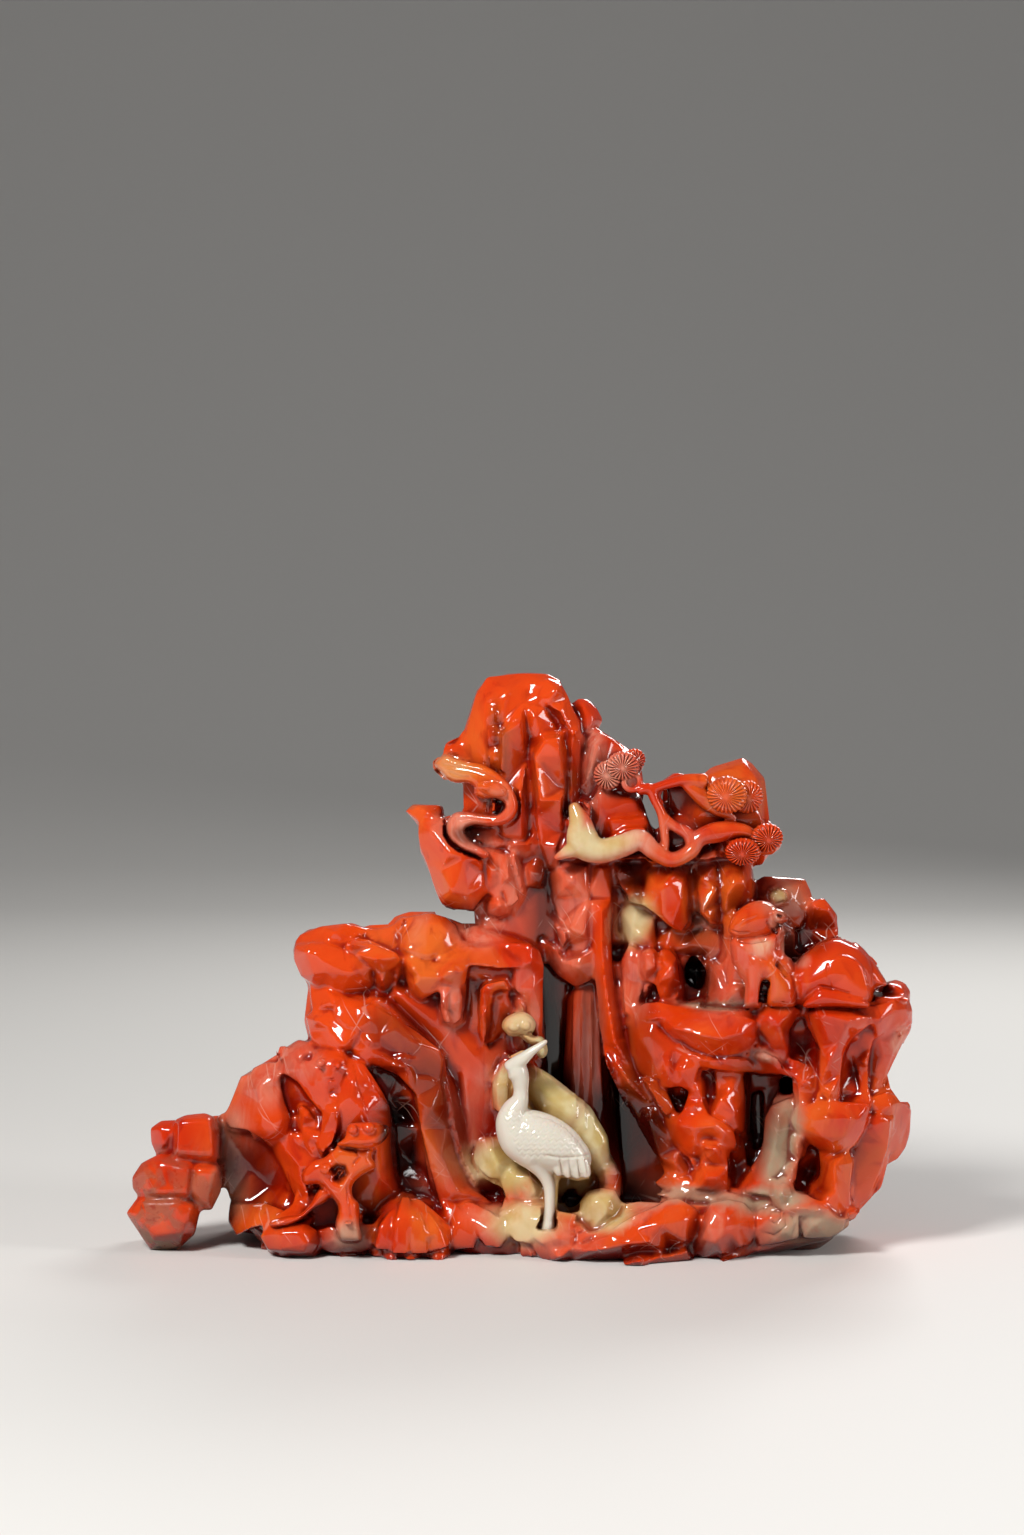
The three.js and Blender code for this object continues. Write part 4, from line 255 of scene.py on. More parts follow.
def puff(outline, depth, height, reach, thick, lean=(0.0, 0.0)):
    """A swelling with a smooth outline: from the rim it rises as a quarter circle and is level from reach on.

    The outline is a list of (across, down), rounded through its points. Depth is that of the rim at the
    outline's middle, lean the depth it gains for each pixel across and down, height the swelling in
    millimetres, reach the width of the slope in pixels and thick how far the flat back lies behind the front.
    """
    ring = np.array(outline, float)
    curve = through(np.vstack([ring[-1], ring, ring[0], ring[1]]), 8 * (len(ring) + 2) + 1)[8:-16]
    low, high = curve.min(0), curve.max(0)
    grid = np.stack(np.meshgrid(*(np.arange(low[k], high[k], PUFF_STEP) for k in (0, 1))), -1).reshape(-1, 2)
    start, end = curve, np.roll(curve, -1, 0)
    along = end - start
    offset = grid[:, None] - start[None]
    share = np.clip((offset * along).sum(2) / np.maximum((along ** 2).sum(1), 1e-6), 0, 1)
    away = np.sqrt(((offset - share[..., None] * along) ** 2).sum(2)).min(1)
    over = (start[None, :, 1] > grid[:, None, 1]) != (end[None, :, 1] > grid[:, None, 1])
    cross = start[None, :, 0] + (grid[:, None, 1] - start[None, :, 1]) * along[None, :, 0] / np.where(
        along[:, 1] == 0, 1e-9, along[:, 1])[None]
    inside = (over & (grid[:, None, 0] < cross)).sum(1) % 2 == 1
    keep = inside & (away > PUFF_STEP / 2)
    grid, away = grid[keep], away[keep]
    rise = height * np.sqrt(np.clip(1 - (1 - np.clip(away / reach, 0, 1)) ** 2, 0, 1))
    middle = curve.mean(0)
    rim = depth + (curve - middle) @ np.array(lean)
    body = depth + (grid - middle) @ np.array(lean) - rise
    return facets(np.column_stack([curve, rim]), np.column_stack([grid, body]), thick)


def joined(parts):
    """Several closed skins as one list of vertices and one of triangles."""
    verts, faces, start = [], [], 0
    for v, f in parts:
        verts.append(v)
        faces.append(f + start)
        start += len(v)
    return np.vstack(verts), np.vstack(faces)


def put_mesh(name, verts_mm, faces):
    """A mesh object at the origin from millimetre vertices and triangles, written with foreach_set."""
    mesh = bpy.data.meshes.new(name)
    count = len(faces)
    mesh.vertices.add(len(verts_mm))
    mesh.loops.add(count * 3)
    mesh.polygons.add(count)
    mesh.vertices.foreach_set("co", (verts_mm * MM).astype(np.float32).ravel())
    mesh.loops.foreach_set("vertex_index", faces.astype(np.int32).ravel())
    mesh.polygons.foreach_set("loop_start", np.arange(0, count * 3, 3, dtype=np.int32))
    mesh.update(calc_edges=True)
    mesh.validate()
    obj = bpy.data.objects.new(name, mesh)
    bpy.context.scene.collection.objects.link(obj)
    return obj


def drop(obj):
    """Takes an object and its mesh out of the file."""
    mesh = obj.data
    bpy.data.objects.remove(obj)
    bpy.data.meshes.remove(mesh)


def read_mesh(mesh):
    """Vertices in millimetres and triangles of a mesh."""
    co = np.empty(len(mesh.vertices) * 3, np.float32)
    mesh.vertices.foreach_get("co", co)
    mesh.calc_loop_triangles()
    tri = np.empty(len(mesh.loop_triangles) * 3, np.int32)
    mesh.loop_triangles.foreach_get("vertices", tri)
    return co.reshape(-1, 3).astype(float) / MM, tri.reshape(-1, 3)


def with_modifier(obj, kind, **settings):
    """Puts one modifier on, takes the result as the object's mesh and removes the modifier."""
    modifier = obj.modifiers.new(kind, kind)
    for key, value in settings.items():
        setattr(modifier, key, value)
    graph = bpy.context.evaluated_depsgraph_get()
    fresh = bpy.data.meshes.new_from_object(obj.evaluated_get(graph), depsgraph=graph)
    obj.modifiers.clear()
    old = obj.data
    obj.data = fresh
    bpy.data.meshes.remove(old)


def edges_of(faces):
    """Each edge once, as two columns of vertex numbers."""
    pairs = np.vstack([faces[:, [0, 1]], faces[:, [1, 2]], faces[:, [2, 0]]])
    pairs.sort(axis=1)
    return np.unique(pairs, axis=0)


def normals_of(verts, faces):
    """Vertex normals: the sum of the normals of the triangles round a vertex, by area."""
    a, b, c = (verts[faces[:, k]] for k in range(3))
    flat = np.cross(b - a, c - a)
    total = np.zeros_like(verts)
    for k in range(3):
        for axis in range(3):
            total[:, axis] += np.bincount(faces[:, k], flat[:, axis], len(verts))
    return total / np.maximum(np.linalg.norm(total, axis=1, keepdims=True), 1e-12)


def neighbour_mean(values, edges, count):
    """The mean over each vertex's neighbours of one value or of three."""
    values = values.reshape(len(values), -1)
    degree = np.bincount(edges.ravel(), minlength=count)
    out = np.empty_like(values)
    for axis in range(values.shape[1]):
        column = values[:, axis]
        total = np.bincount(edges[:, 0], column[edges[:, 1]], count)
        total += np.bincount(edges[:, 1], column[edges[:, 0]], count)
        out[:, axis] = total / np.maximum(degree, 1)
    return out


def polished(verts, faces, passes, valley, ridge):
    """Rubs the skin down as polishing does.

    Each pass moves a vertex towards the mean of its neighbours: by the share called valley where that is
    outwards, so joins fill with a round, and by the smaller share called ridge where it is inwards.
    """
    edges = edges_of(faces)
    for _ in range(passes):
        normal = normals_of(verts, faces)
        step = neighbour_mean(verts, edges, len(verts)) - verts
        outward = (step * normal).sum(1, keepdims=True)
        verts = verts + step * np.where(outward > 0, valley, ridge)
    return verts


# The shares called valley and ridge, for the rock and for the figures.
ROCK_POLISH = (0.45, 0.05)
FIGURE_POLISH = (0.6, 0.3)


def near_line(across, down, points):
    """Each vertex's distance in the picture from a line of points, and how far along the line that is."""
    points = np.asarray(points, float)
    best = np.full(len(across), 1e9)
    share = np.zeros(len(across))
    for k in range(len(points) - 1):
        a, d = points[k], points[k + 1] - points[k]
        t = np.clip(((across - a[0]) * d[0] + (down - a[1]) * d[1]) / max(d @ d, 1e-9), 0, 1)
        gap = np.hypot(across - a[0] - t * d[0], down - a[1] - t * d[1])
        closer = gap < best
        best = np.where(closer, gap, best)
        share = np.where(closer, (k + t) / (len(points) - 1), share)
    return best, share


def chiselled(verts, faces, strokes):
    """Raises or cuts strokes on the side that faces the eye.

    A stroke is (points, half width in pixels, height in millimetres, nearest depth, farthest depth). The
    height falls off as a bell across the stroke and fades at its ends, and follows the vertex's own normal.
    """
    normal = normals_of(verts, faces)
    across, down = seen(verts)
    facing = np.clip(-normal[:, 1] * 2.2, 0, 1)
    move = np.zeros(len(verts))
    for points, width, height, near, far in strokes:
        pts = np.asarray(points, float)
        low, high = pts.min(0) - 3 * width, pts.max(0) + 3 * width
        pick = np.flatnonzero((across > low[0]) & (across < high[0]) & (down > low[1]) & (down < high[1])
                              & (verts[:, 1] > near) & (verts[:, 1] < far))
        if len(pick):
            gap, share = near_line(across[pick], down[pick], pts)
            fade = np.clip(np.minimum(share, 1 - share) * 8 + 0.25, 0, 1)
            move[pick] += height * np.exp(-(gap / width) ** 2) * fade * facing[pick]
    return verts + normal * move[:, None]


# Each patch is (across, down, half width, half height, turn in degrees, strength), soft at its edge, and
# with a seventh number it colours only what lies before that depth.
ZONES = {
    "milky": [
        (594, 765, 14, 40, 0, 0.8), (569, 905, 24, 58, 0, 0.35), (584, 1060, 18, 95, 2, 0.45),
        (720, 975, 34, 42, 0, 0.3), (782, 895, 26, 20, 0, 0.4), (478, 1100, 18, 60, 35, 0.3),
        (452, 1010, 13, 26, 0, 0.5), (520, 1020, 16, 48, 0, 0.3), (610, 772, 24, 20, 0, 0.8),
        (470, 838, 34, 14, 10, 0.4), (445, 826, 14, 14, 0, 0.35), (510, 880, 16, 42, 0, 0.4),
        (262, 1075, 26, 32, 0, 0.45), (232, 1150, 16, 40, 0, 0.6), (770, 1059, 16, 6, 20, 1.0),
        (905, 1042, 8, 14, 15, 0.9), (480, 925, 26, 22, 0, 0.5), (570, 965, 26, 10, 0, 0.4),
        (440, 1175, 20, 30, 30, 0.2), (636, 985, 14, 40, 10, 0.4), (790, 945, 10, 22, 0, 0.6),
        (620, 1222, 60, 7, -22, 0.6), (712, 1238, 9, 26, 12, 0.5), (340, 1245, 20, 18, 0, 0.6),
        (500, 1225, 34, 20, 0, 0.5), (420, 930, 10, 22, 0, 0.25), (555, 1245, 40, 16, 0, 0.35),
        (700, 1200, 60, 8, 0, 0.5), (683, 845, 30, 22, 0, 0.25), (300, 1060, 26, 18, 30, 0.35),
    ],
    "cream": [
        (636, 924, 17, 24, 0, 0.9), (778, 897, 8, 7, 0, 0.8),
        (545, 1110, 36, 46, 35, 1.0, -13), (590, 1150, 26, 46, 10, 0.95, -13), (508, 1165, 36, 28, 0, 1.0, -13),
        (522, 1225, 36, 22, 0, 0.85, -16), (600, 1212, 26, 22, 0, 0.9, -16), (510, 1090, 18, 34, 0, 0.9, -13),
        (565, 1190, 40, 30, 0, 0.9, -13), (450, 770, 20, 14, 0, 0.35), (519, 1035, 24, 24, 0, 0.75, -14),
    ],
    "grey": [
        (782, 1150, 17, 48, 4, 1.0), (772, 1205, 34, 14, 0, 0.95), (810, 1236, 48, 22, -4, 0.95),
        (785, 900, 22, 20, 0, 0.3), (228, 1195, 18, 26, 0, 0.5),
        (345, 1246, 16, 16, 0, 0.6), (640, 1200, 40, 10, 0, 0.5), (700, 1200, 50, 9, 0, 0.7),
        (710, 1005, 36, 5, 0, 0.8),
    ],
    # Dark red patches: partly the stone's own darker translucent red, partly painted shade laid in recesses and
    # gaps.
    "deep": [
        (540, 900, 13, 50, 0, 0.8), (551, 1080, 12, 120, 0, 1.0), (625, 1130, 34, 62, -30, 1.0),
        (398, 1130, 16, 66, -8, 1.0), (400, 1040, 46, 26, 35, 0.5), (628, 885, 15, 24, 0, 0.6),
        (584, 1080, 20, 110, 2, 0.6), (445, 1110, 24, 70, -20, 0.6), (695, 974, 14, 22, 0, 1.0),
        (815, 932, 18, 22, 0, 0.5), (570, 1204, 12, 14, 0, 0.9, -10), (250, 1175, 24, 34, 0, 0.6),
        (760, 1110, 18, 60, 0, 0.6), (476, 836, 18, 9, 0, 0.7),
        (700, 975, 18, 34, 0, 0.5), (430, 1100, 12, 50, -8, 0.5), (792, 930, 14, 34, 0, 0.5),
        (640, 1060, 14, 60, 0, 0.4), (500, 735, 6, 36, 0, 0.4),
    ],
    "amber": [
        (420, 960, 50, 34, 0, 0.6), (690, 900, 60, 50, 0, 0.5), (450, 880, 30, 36, 0, 0.4),
        (730, 790, 40, 26, 0, 0.5), (250, 1220, 26, 30, 0, 0.5), (400, 1230, 50, 26, 0, 0.5),
        (350, 1190, 40, 40, 0, 0.5), (760, 985, 26, 26, 0, 0.5), (650, 1130, 26, 60, 0, 0.4),
        (850, 1130, 50, 60, 0, 0.35), (490, 760, 22, 60, 0, 0.4), (420, 1170, 40, 40, 0, 0.4),
    ],
    "skin": [
        (150, 1215, 34, 44, 0, 0.55), (196, 1200, 22, 30, 0, 0.45), (152, 1245, 40, 14, 0, 0.8),
        (165, 1160, 36, 12, 0, 0.35), (226, 1170, 12, 50, 0, 0.4), (405, 808, 8, 5, 0, 0.5),
        (700, 915, 12, 18, 0, 0.4), (715, 1002, 26, 5, 0, 0.6), (215, 1130, 10, 16, 0, 0.5),
    ],
}
ZONE_NAMES = list(ZONES)

# Patches that only one piece has.
OWN_ZONES = {
    "pine": {"cream": [(592, 842, 40, 16, -8, 0.85), (577, 826, 12, 24, 0, 0.8)],
             "milky": [(612, 770, 26, 20, 0, 0.8), (606, 840, 54, 26, -8, 1.0)]},
    "cloud": {"milky": [(455, 835, 34, 26, 0, 0.7), (500, 800, 12, 20, 0, 0.3)],
              "amber": [(460, 768, 30, 14, 0, 0.8)]},
    "held_lingzhi": {"cream": [(530, 1036, 40, 40, 0, 0.8)], "milky": [(520, 1024, 20, 14, 0, 0.6)]},
    "deer": {"cream": [(764, 946, 9, 5, 0, 0.2)],
             "milky": [(762, 948, 15, 9, 0, 1.0), (776, 924, 6, 8, 0, 1.0), (783, 942, 4, 18, 0, 1.0),
                       (798, 962, 10, 8, 0, 0.6), (781, 917, 6, 5, 0, 0.6)]},
}
# The attribute of hollow depth, which the material turns into painted shade.
HOLLOW = "hollow"
WHITE = "white"


def zone_weights(name, verts, white):
    """How much of each colour zone a vertex has: soft patches of the picture, carried through the stone.

    The patches' edges sway by a few pixels, as a sum of sines of the place.
    """
    own = OWN_ZONES.get(name, {})
    across, down = seen(verts)
    x, y, z = verts.T
    sway = np.sin(z * 0.21 + y * 0.13) + np.sin(x * 0.17 - y * 0.19 + 1.3)
    across = across + 3.0 * sway
    down = down + 3.0 * np.cos(x * 0.23 + y * 0.11)
    out = {}
    for zone, patches in ZONES.items():
        total = np.zeros(len(verts))
        for middle, row, wide, tall, turn, strength, *far in patches + own.get(zone, []):
            c, s = math.cos(math.radians(turn)), math.sin(math.radians(turn))
            dx, dy = across - middle, down - row
            u, v = (c * dx + s * dy) / wide, (-s * dx + c * dy) / tall
            reach = np.clip(1.45 - np.sqrt(u * u + v * v), 0, 0.9) / 0.9
            if far:
                reach = reach * np.clip((far[0] - y) / 3 + 0.5, 0, 1)
            total = np.maximum(total, strength * reach * reach * (3 - 2 * reach))
        out[zone] = total
    out[WHITE] = np.full(len(verts), white)
    return out


# The depth in millimetres at which a hollow's painted shade is at its darkest, on plain skins and on scored
# ones.
HOLLOW_DEPTH = 0.9
SCORED_HOLLOW_DEPTH = 0.3


def add_zones(obj, white, hollow_passes, hollow_depth):
    """Writes the zone weights, and how deep in a hollow each vertex lies, as point attributes; the material
    turns that depth into painted shade.

    The hollow's depth is how far the mean of the neighbours, taken hollow_passes times, lies outside the skin.
    """
    verts, faces = read_mesh(obj.data)
    weights = zone_weights(obj.name, verts, white)
    edges = edges_of(faces)
    soft = verts
    for _ in range(hollow_passes):
        soft = neighbour_mean(soft, edges, len(verts))
    sunk = ((soft - verts) * normals_of(verts, faces)).sum(1)
    weights[HOLLOW] = np.clip(sunk / hollow_depth, -1, 1) * 0.5 + 0.5
    for name, values in weights.items():
        attribute = obj.data.attributes.new(name, "FLOAT", "POINT")
        attribute.data.foreach_set("value", values.astype(np.float32))


def node(tree, kind, links=(), **settings):
    """Adds one node, sets its properties or its sockets by name, and links sockets given as (name, output)."""
    made = tree.nodes.new(kind)
    for key, value in settings.items():
        if hasattr(made, key):
            setattr(made, key, value)
        else:
            made.inputs[key.replace("_", " ")].default_value = value
    for name, output in links:
        tree.links.new(output, made.inputs[name])
    return made


def polished_agate():
    """Red agate (carnelian), cut with abrasive points and polished to a wet gloss.

    The eye gets a sharp reflection over a body that glows through: vivid orange red with amber clouds,
    painted shade that darkens the hollow places and recesses, milky veils, straight pale fracture lines, and
    dull skin where it was left.
    """
    material = bpy.data.materials.new(STONE)
    material.use_nodes = True
    tree = material.node_tree
    shader = tree.nodes["Principled BSDF"]
    place = node(tree, "ShaderNodeTexCoord").outputs["Object"]

    def noise(scale_mm, detail=3.0, warp=0.0, stretch=(1, 1, 1), turn=(0, 0, 0)):
        laid = node(tree, "ShaderNodeMapping", [("Vector", place)], vector_type="POINT")
        laid.inputs["Scale"].default_value = [v / (scale_mm * MM) for v in stretch]
        laid.inputs["Rotation"].default_value = [math.radians(v) for v in turn]
        return node(tree, "ShaderNodeTexNoise", [("Vector", laid.outputs[0])], Scale=1.0, Detail=detail,
                    Distortion=warp).outputs[0]

    def span(value, low, high, start=0.0, end=1.0):
        return node(tree, "ShaderNodeMapRange", [("Value", value)], From_Min=low, From_Max=high,
                    To_Min=start, To_Max=end, interpolation_type="SMOOTHSTEP").outputs[0]

    def sums(kind, a, b):
        made = node(tree, "ShaderNodeMath", operation=kind, use_clamp=True)
        for k, v in enumerate((a, b)):
            if isinstance(v, float):
                made.inputs[k].default_value = v
            else:
                tree.links.new(v, made.inputs[k])
        return made.outputs[0]

    def blend(share, under, over, kind="MIX"):
        made = tree.nodes.new("ShaderNodeMix")
        made.data_type = "RGBA"
        made.blend_type = kind
        for socket, v in ((made.inputs[0], share), (made.inputs[6], under), (made.inputs[7], over)):
            if isinstance(v, str):
                socket.default_value = (*linear(v), 1)
            elif isinstance(v, float):
                socket.default_value = v
            else:
                tree.links.new(v, socket)
        return made.outputs[2]

    zone = {n: node(tree, "ShaderNodeAttribute", attribute_name=n).outputs["Fac"]
            for n in ZONE_NAMES + [HOLLOW, WHITE]}
    # The red ground with its lighter, amber and darker clouds, then the veils and the paler stones.
    colour = blend(span(noise(26, 3, 0.6), 0.35, 0.65), "#CC3008", "#DE4610")
    colour = blend(sums("MULTIPLY", span(noise(15, 4, 0.8, (1, 1, 0.45)), 0.5, 0.72), 0.5), colour, "#E8662A")
    clouds = span(noise(9, 3, 0.5, (1, 1, 0.4)), 0.35, 0.6)
    colour = blend(sums("MULTIPLY", zone["amber"], clouds), colour, "#DC6E24")
    colour = blend(sums("MULTIPLY", span(noise(7, 3, 1.0, (1, 1, 0.5)), 0.58, 0.75), 0.6), colour, "#A81606")
    wisps = span(noise(4, 5, 1.2, (1.2, 1, 0.3), (0, 20, 0)), 0.3, 0.7, 0.35, 1.0)
    colour = blend(sums("MULTIPLY", zone["milky"], wisps), colour, "#E09A80")
    colour = blend(sums("MULTIPLY", zone["grey"], span(noise(5, 4, 0.8, (1, 1, 0.4)), 0.2, 0.6, 0.6, 1.0)),
                   colour, "#AE9A7E")
    # The deep patches: partly the stone's darker red, partly painted shade in recesses and gaps.
    colour = blend(zone["deep"], colour, "#3A0804")
    colour = blend(zone["cream"], colour, blend(span(noise(8, 3, 0.4), 0.35, 0.65), "#C9B070", "#D9CC9C"))
    colour = blend(zone[WHITE], colour, "#DDD6C6")
    # Painted shade: the colour is multiplied by darker tints where the skin lies in a hollow, by the hollow
    # attribute, and in recesses, by ambient occlusion.
    hollow_shade = blend(zone["cream"], "#A02A1C", blend(zone[WHITE], "#C08A5A", "#E0C8A8"))
    colour = blend(sums("MULTIPLY", span(zone[HOLLOW], 0.52, 0.9), 0.85), colour, hollow_shade, "MULTIPLY")
    # Painted shade in recesses: ambient occlusion within 14 mm darkens the colour by multiplying.
    shade = node(tree, "ShaderNodeAmbientOcclusion", Distance=14 * MM, samples=6).outputs["AO"]
    recess_shade = blend(zone["cream"], "#6E0A06", blend(zone[WHITE], "#B08A60", "#D8C8B0"))
    colour = blend(span(shade, 0.08, 0.8, 1.0, 0.0), colour, recess_shade, "MULTIPLY")
    # Straight pale fracture lines in three directions, gap millimetres apart, broken by a cloud.
    streaks = None
    for turn, gap in (((0, 38, 12), 17.0), ((0, -33, -20), 23.0), ((0, 74, 40), 29.0)):
        laid = node(tree, "ShaderNodeMapping", [("Vector", place)], vector_type="POINT")
        laid.inputs["Rotation"].default_value = [math.radians(v) for v in turn]
        laid.inputs["Scale"].default_value = [1 / (gap * MM)] * 3
        wave = node(tree, "ShaderNodeTexWave", [("Vector", laid.outputs[0])], Scale=1.0, Distortion=0.3,
                    Detail=1.0, Detail_Scale=0.5).outputs[1]
        line = sums("MULTIPLY", span(wave, 0.992, 1.0), span(noise(14, 3), 0.56, 0.68, 0.0, 0.3))
        streaks = line if streaks is None else sums("MAXIMUM", streaks, line)
    colour = blend(sums("MULTIPLY", streaks, sums("SUBTRACT", 1.0, zone[WHITE])), colour, "#E0B4A0")
    # The rough brown skin that was left on the outer stones.
    specks = span(noise(1.6, 3), 0.56, 0.66)
    skin = blend(specks, "#6E5A44", "#2E241C")
    skin_share = sums("MULTIPLY", zone["skin"], span(noise(6, 4, 0.6), 0.4, 0.55))
    colour = blend(skin_share, colour, skin)
    tree.links.new(colour, shader.inputs["Base Color"])
    rough = span(skin_share, 0.0, 1.0, 0.09, 0.6)
    tree.links.new(rough, shader.inputs["Roughness"])
    shader.inputs["IOR"].default_value = 1.54
    shader.inputs["Subsurface Weight"].default_value = 0.13
    shader.inputs["Subsurface Radius"].default_value = (1.0, 0.28, 0.12)
    shader.inputs["Subsurface Scale"].default_value = 3.0 * MM
    shader.inputs["Coat Weight"].default_value = 0.06
    shader.inputs["Coat Roughness"].default_value = 0.04
    return material


def agate():
    """The one stone's material, made once."""
    return bpy.data.materials.get(STONE) or polished_agate()


def finish_piece(obj, triangles, white=0.0, hollow_passes=14, extra=(), crease=None):
    """Thins a piece to its share of triangles, joins any extra skins, writes its zones and gives it the stone.

    Edges that turn by more than crease degrees are left sharp; all the others are shaded smooth.
    """
    _, faces = read_mesh(obj.data)
    if len(faces) > triangles:
        with_modifier(obj, "DECIMATE", ratio=triangles / len(faces), use_collapse_triangulate=True)
    if extra:
        name, body = obj.name, read_mesh(obj.data)
        drop(obj)
        obj = put_mesh(name, *joined([body] + list(extra)))
    obj.data.materials.clear()
    obj.data.materials.append(agate())
    obj.data.polygons.foreach_set("use_smooth", np.ones(len(obj.data.polygons), bool))
    if crease:
        obj.data.set_sharp_from_angle(angle=math.radians(crease))
    add_zones(obj, white, hollow_passes, SCORED_HOLLOW_DEPTH if extra else HOLLOW_DEPTH)
    obj.data.update()
    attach(obj, "root")
    return obj


def melted(verts, faces, voxel_mm):
    """Closed skins melted into one by a voxel remesh: vertices and triangles."""
    obj = put_mesh("melt", verts, faces)
    with_modifier(obj, "REMESH", mode="VOXEL", voxel_size=voxel_mm * MM, adaptivity=0.0)
    result = read_mesh(obj.data)
    drop(obj)
    return result


def cut_away(verts, faces, tools):
    """A closed skin less the room of the tools: vertices and triangles."""
    body, tool = put_mesh("body", verts, faces), put_mesh("tool", *joined(tools))
    with_modifier(body, "BOOLEAN", operation="DIFFERENCE", solver="EXACT", object=tool)
    result = read_mesh(body.data)
    drop(body)
    drop(tool)
    return result


def carved(parts, voxel_mm, passes, strokes=()):
    """A figure's closed skins melted into one, rubbed down and chiselled: vertices and triangles."""
    verts, faces = melted(*joined(parts), voxel_mm)
    verts = polished(verts, faces, passes, *FIGURE_POLISH)
    return chiselled(verts, faces, strokes), faces


def gap_filling(verts, faces, reach, sunk, voxel):
    """What fills a body's narrow gaps: the body grown by reach and shrunk again by reach and sunk millimetres.

    Both steps are level sets of the distance to the skin, so gaps narrower than twice the reach stay closed
    and their floor lies sunk below the rims.
    """
    grid = openvdb.FloatGrid.createLevelSetFromPolygons(
        verts.astype(np.float32), triangles=faces.astype(np.uint32),
        transform=openvdb.createLinearTransform(voxel), exBandWidth=reach / voxel + 2, inBandWidth=3.0)
    points, triangles, quads = grid.convertToPolygons(isovalue=reach)
    grid = openvdb.FloatGrid.createLevelSetFromPolygons(
        points, triangles=triangles, quads=quads, transform=openvdb.createLinearTransform(voxel),
        exBandWidth=3.0, inBandWidth=(reach + sunk) / voxel + 2)
    points, triangles, quads = grid.convertToPolygons(isovalue=-reach - sunk)
    quads = quads.astype(int)
    return points.astype(float), np.vstack([triangles.astype(int), quads[:, [0, 1, 2]], quads[:, [0, 2, 3]]])


# The skins of the figures made so far, which the rockwork leaves room for.
FIGURES = {}
# A depth in millimetres that no form has.
NOWHERE = 1e3


def room_for(verts, forms, reach=2, margin=None):
    """Presses the rock back where finer forms stand before it.

    The forms' vertices are laid in a grid of picture pixels that keeps their nearest and farthest depth,
    grown by a few pixels. A rock vertex nearer than a form's middle depth is moved back to it, or, with a
    margin, to that many millimetres behind the form's face.
    """
    near = np.full((PICTURE_HEIGHT, PICTURE_WIDTH), NOWHERE)
    far = np.full((PICTURE_HEIGHT, PICTURE_WIDTH), -NOWHERE)
    for form in forms:
        across, down = (v.astype(int) for v in seen(form))
        np.minimum.at(near, (down, across), form[:, 1])
        np.maximum.at(far, (down, across), form[:, 1])
    for _ in range(reach):
        for shift, axis in ((1, 0), (-1, 0), (1, 1), (-1, 1)):
            near = np.minimum(near, np.roll(near, shift, axis))
            far = np.maximum(far, np.roll(far, shift, axis))
    across, down = (v.astype(int) for v in seen(verts))
    floor = ((near + far) / 2 if margin is None else near + margin)[down, across]
    inside = (near[down, across] < NOWHERE) & (verts[:, 1] < floor)
    verts = verts.copy()
    verts[inside, 1] = floor[inside]
    return verts


def crystal(rows, sides=6, spin=0.0):
    """A long cut crystal: flat faces between the rows, square to the path, and a flat cut at each end.

    Each row is (across, down, depth, half width in pixels, half depth in millimetres). The ring at a row is
    a regular polygon stretched to those two sizes and spun by spin degrees.
    """
    rows = np.asarray(rows, float)
    path, wide, deep = spot(rows[:, :3]), rows[:, 3] / PIXELS_PER_MM, rows[:, 4]
    run = np.gradient(path, axis=0)
    run /= np.linalg.norm(run, axis=1, keepdims=True)
    side = np.cross(run, np.array([0.0, 1.0, 0.0]))
    side /= np.linalg.norm(side, axis=1, keepdims=True)
    away = np.cross(side, run)
    angle = np.linspace(0, 2 * np.pi, sides, endpoint=False) + math.radians(spin)
    rings = (path[:, None] + side[:, None] * (wide[:, None] * np.cos(angle))[..., None]
             + away[:, None] * (deep[:, None] * np.sin(angle))[..., None])
    return closed(rings, path[0], path[-1])


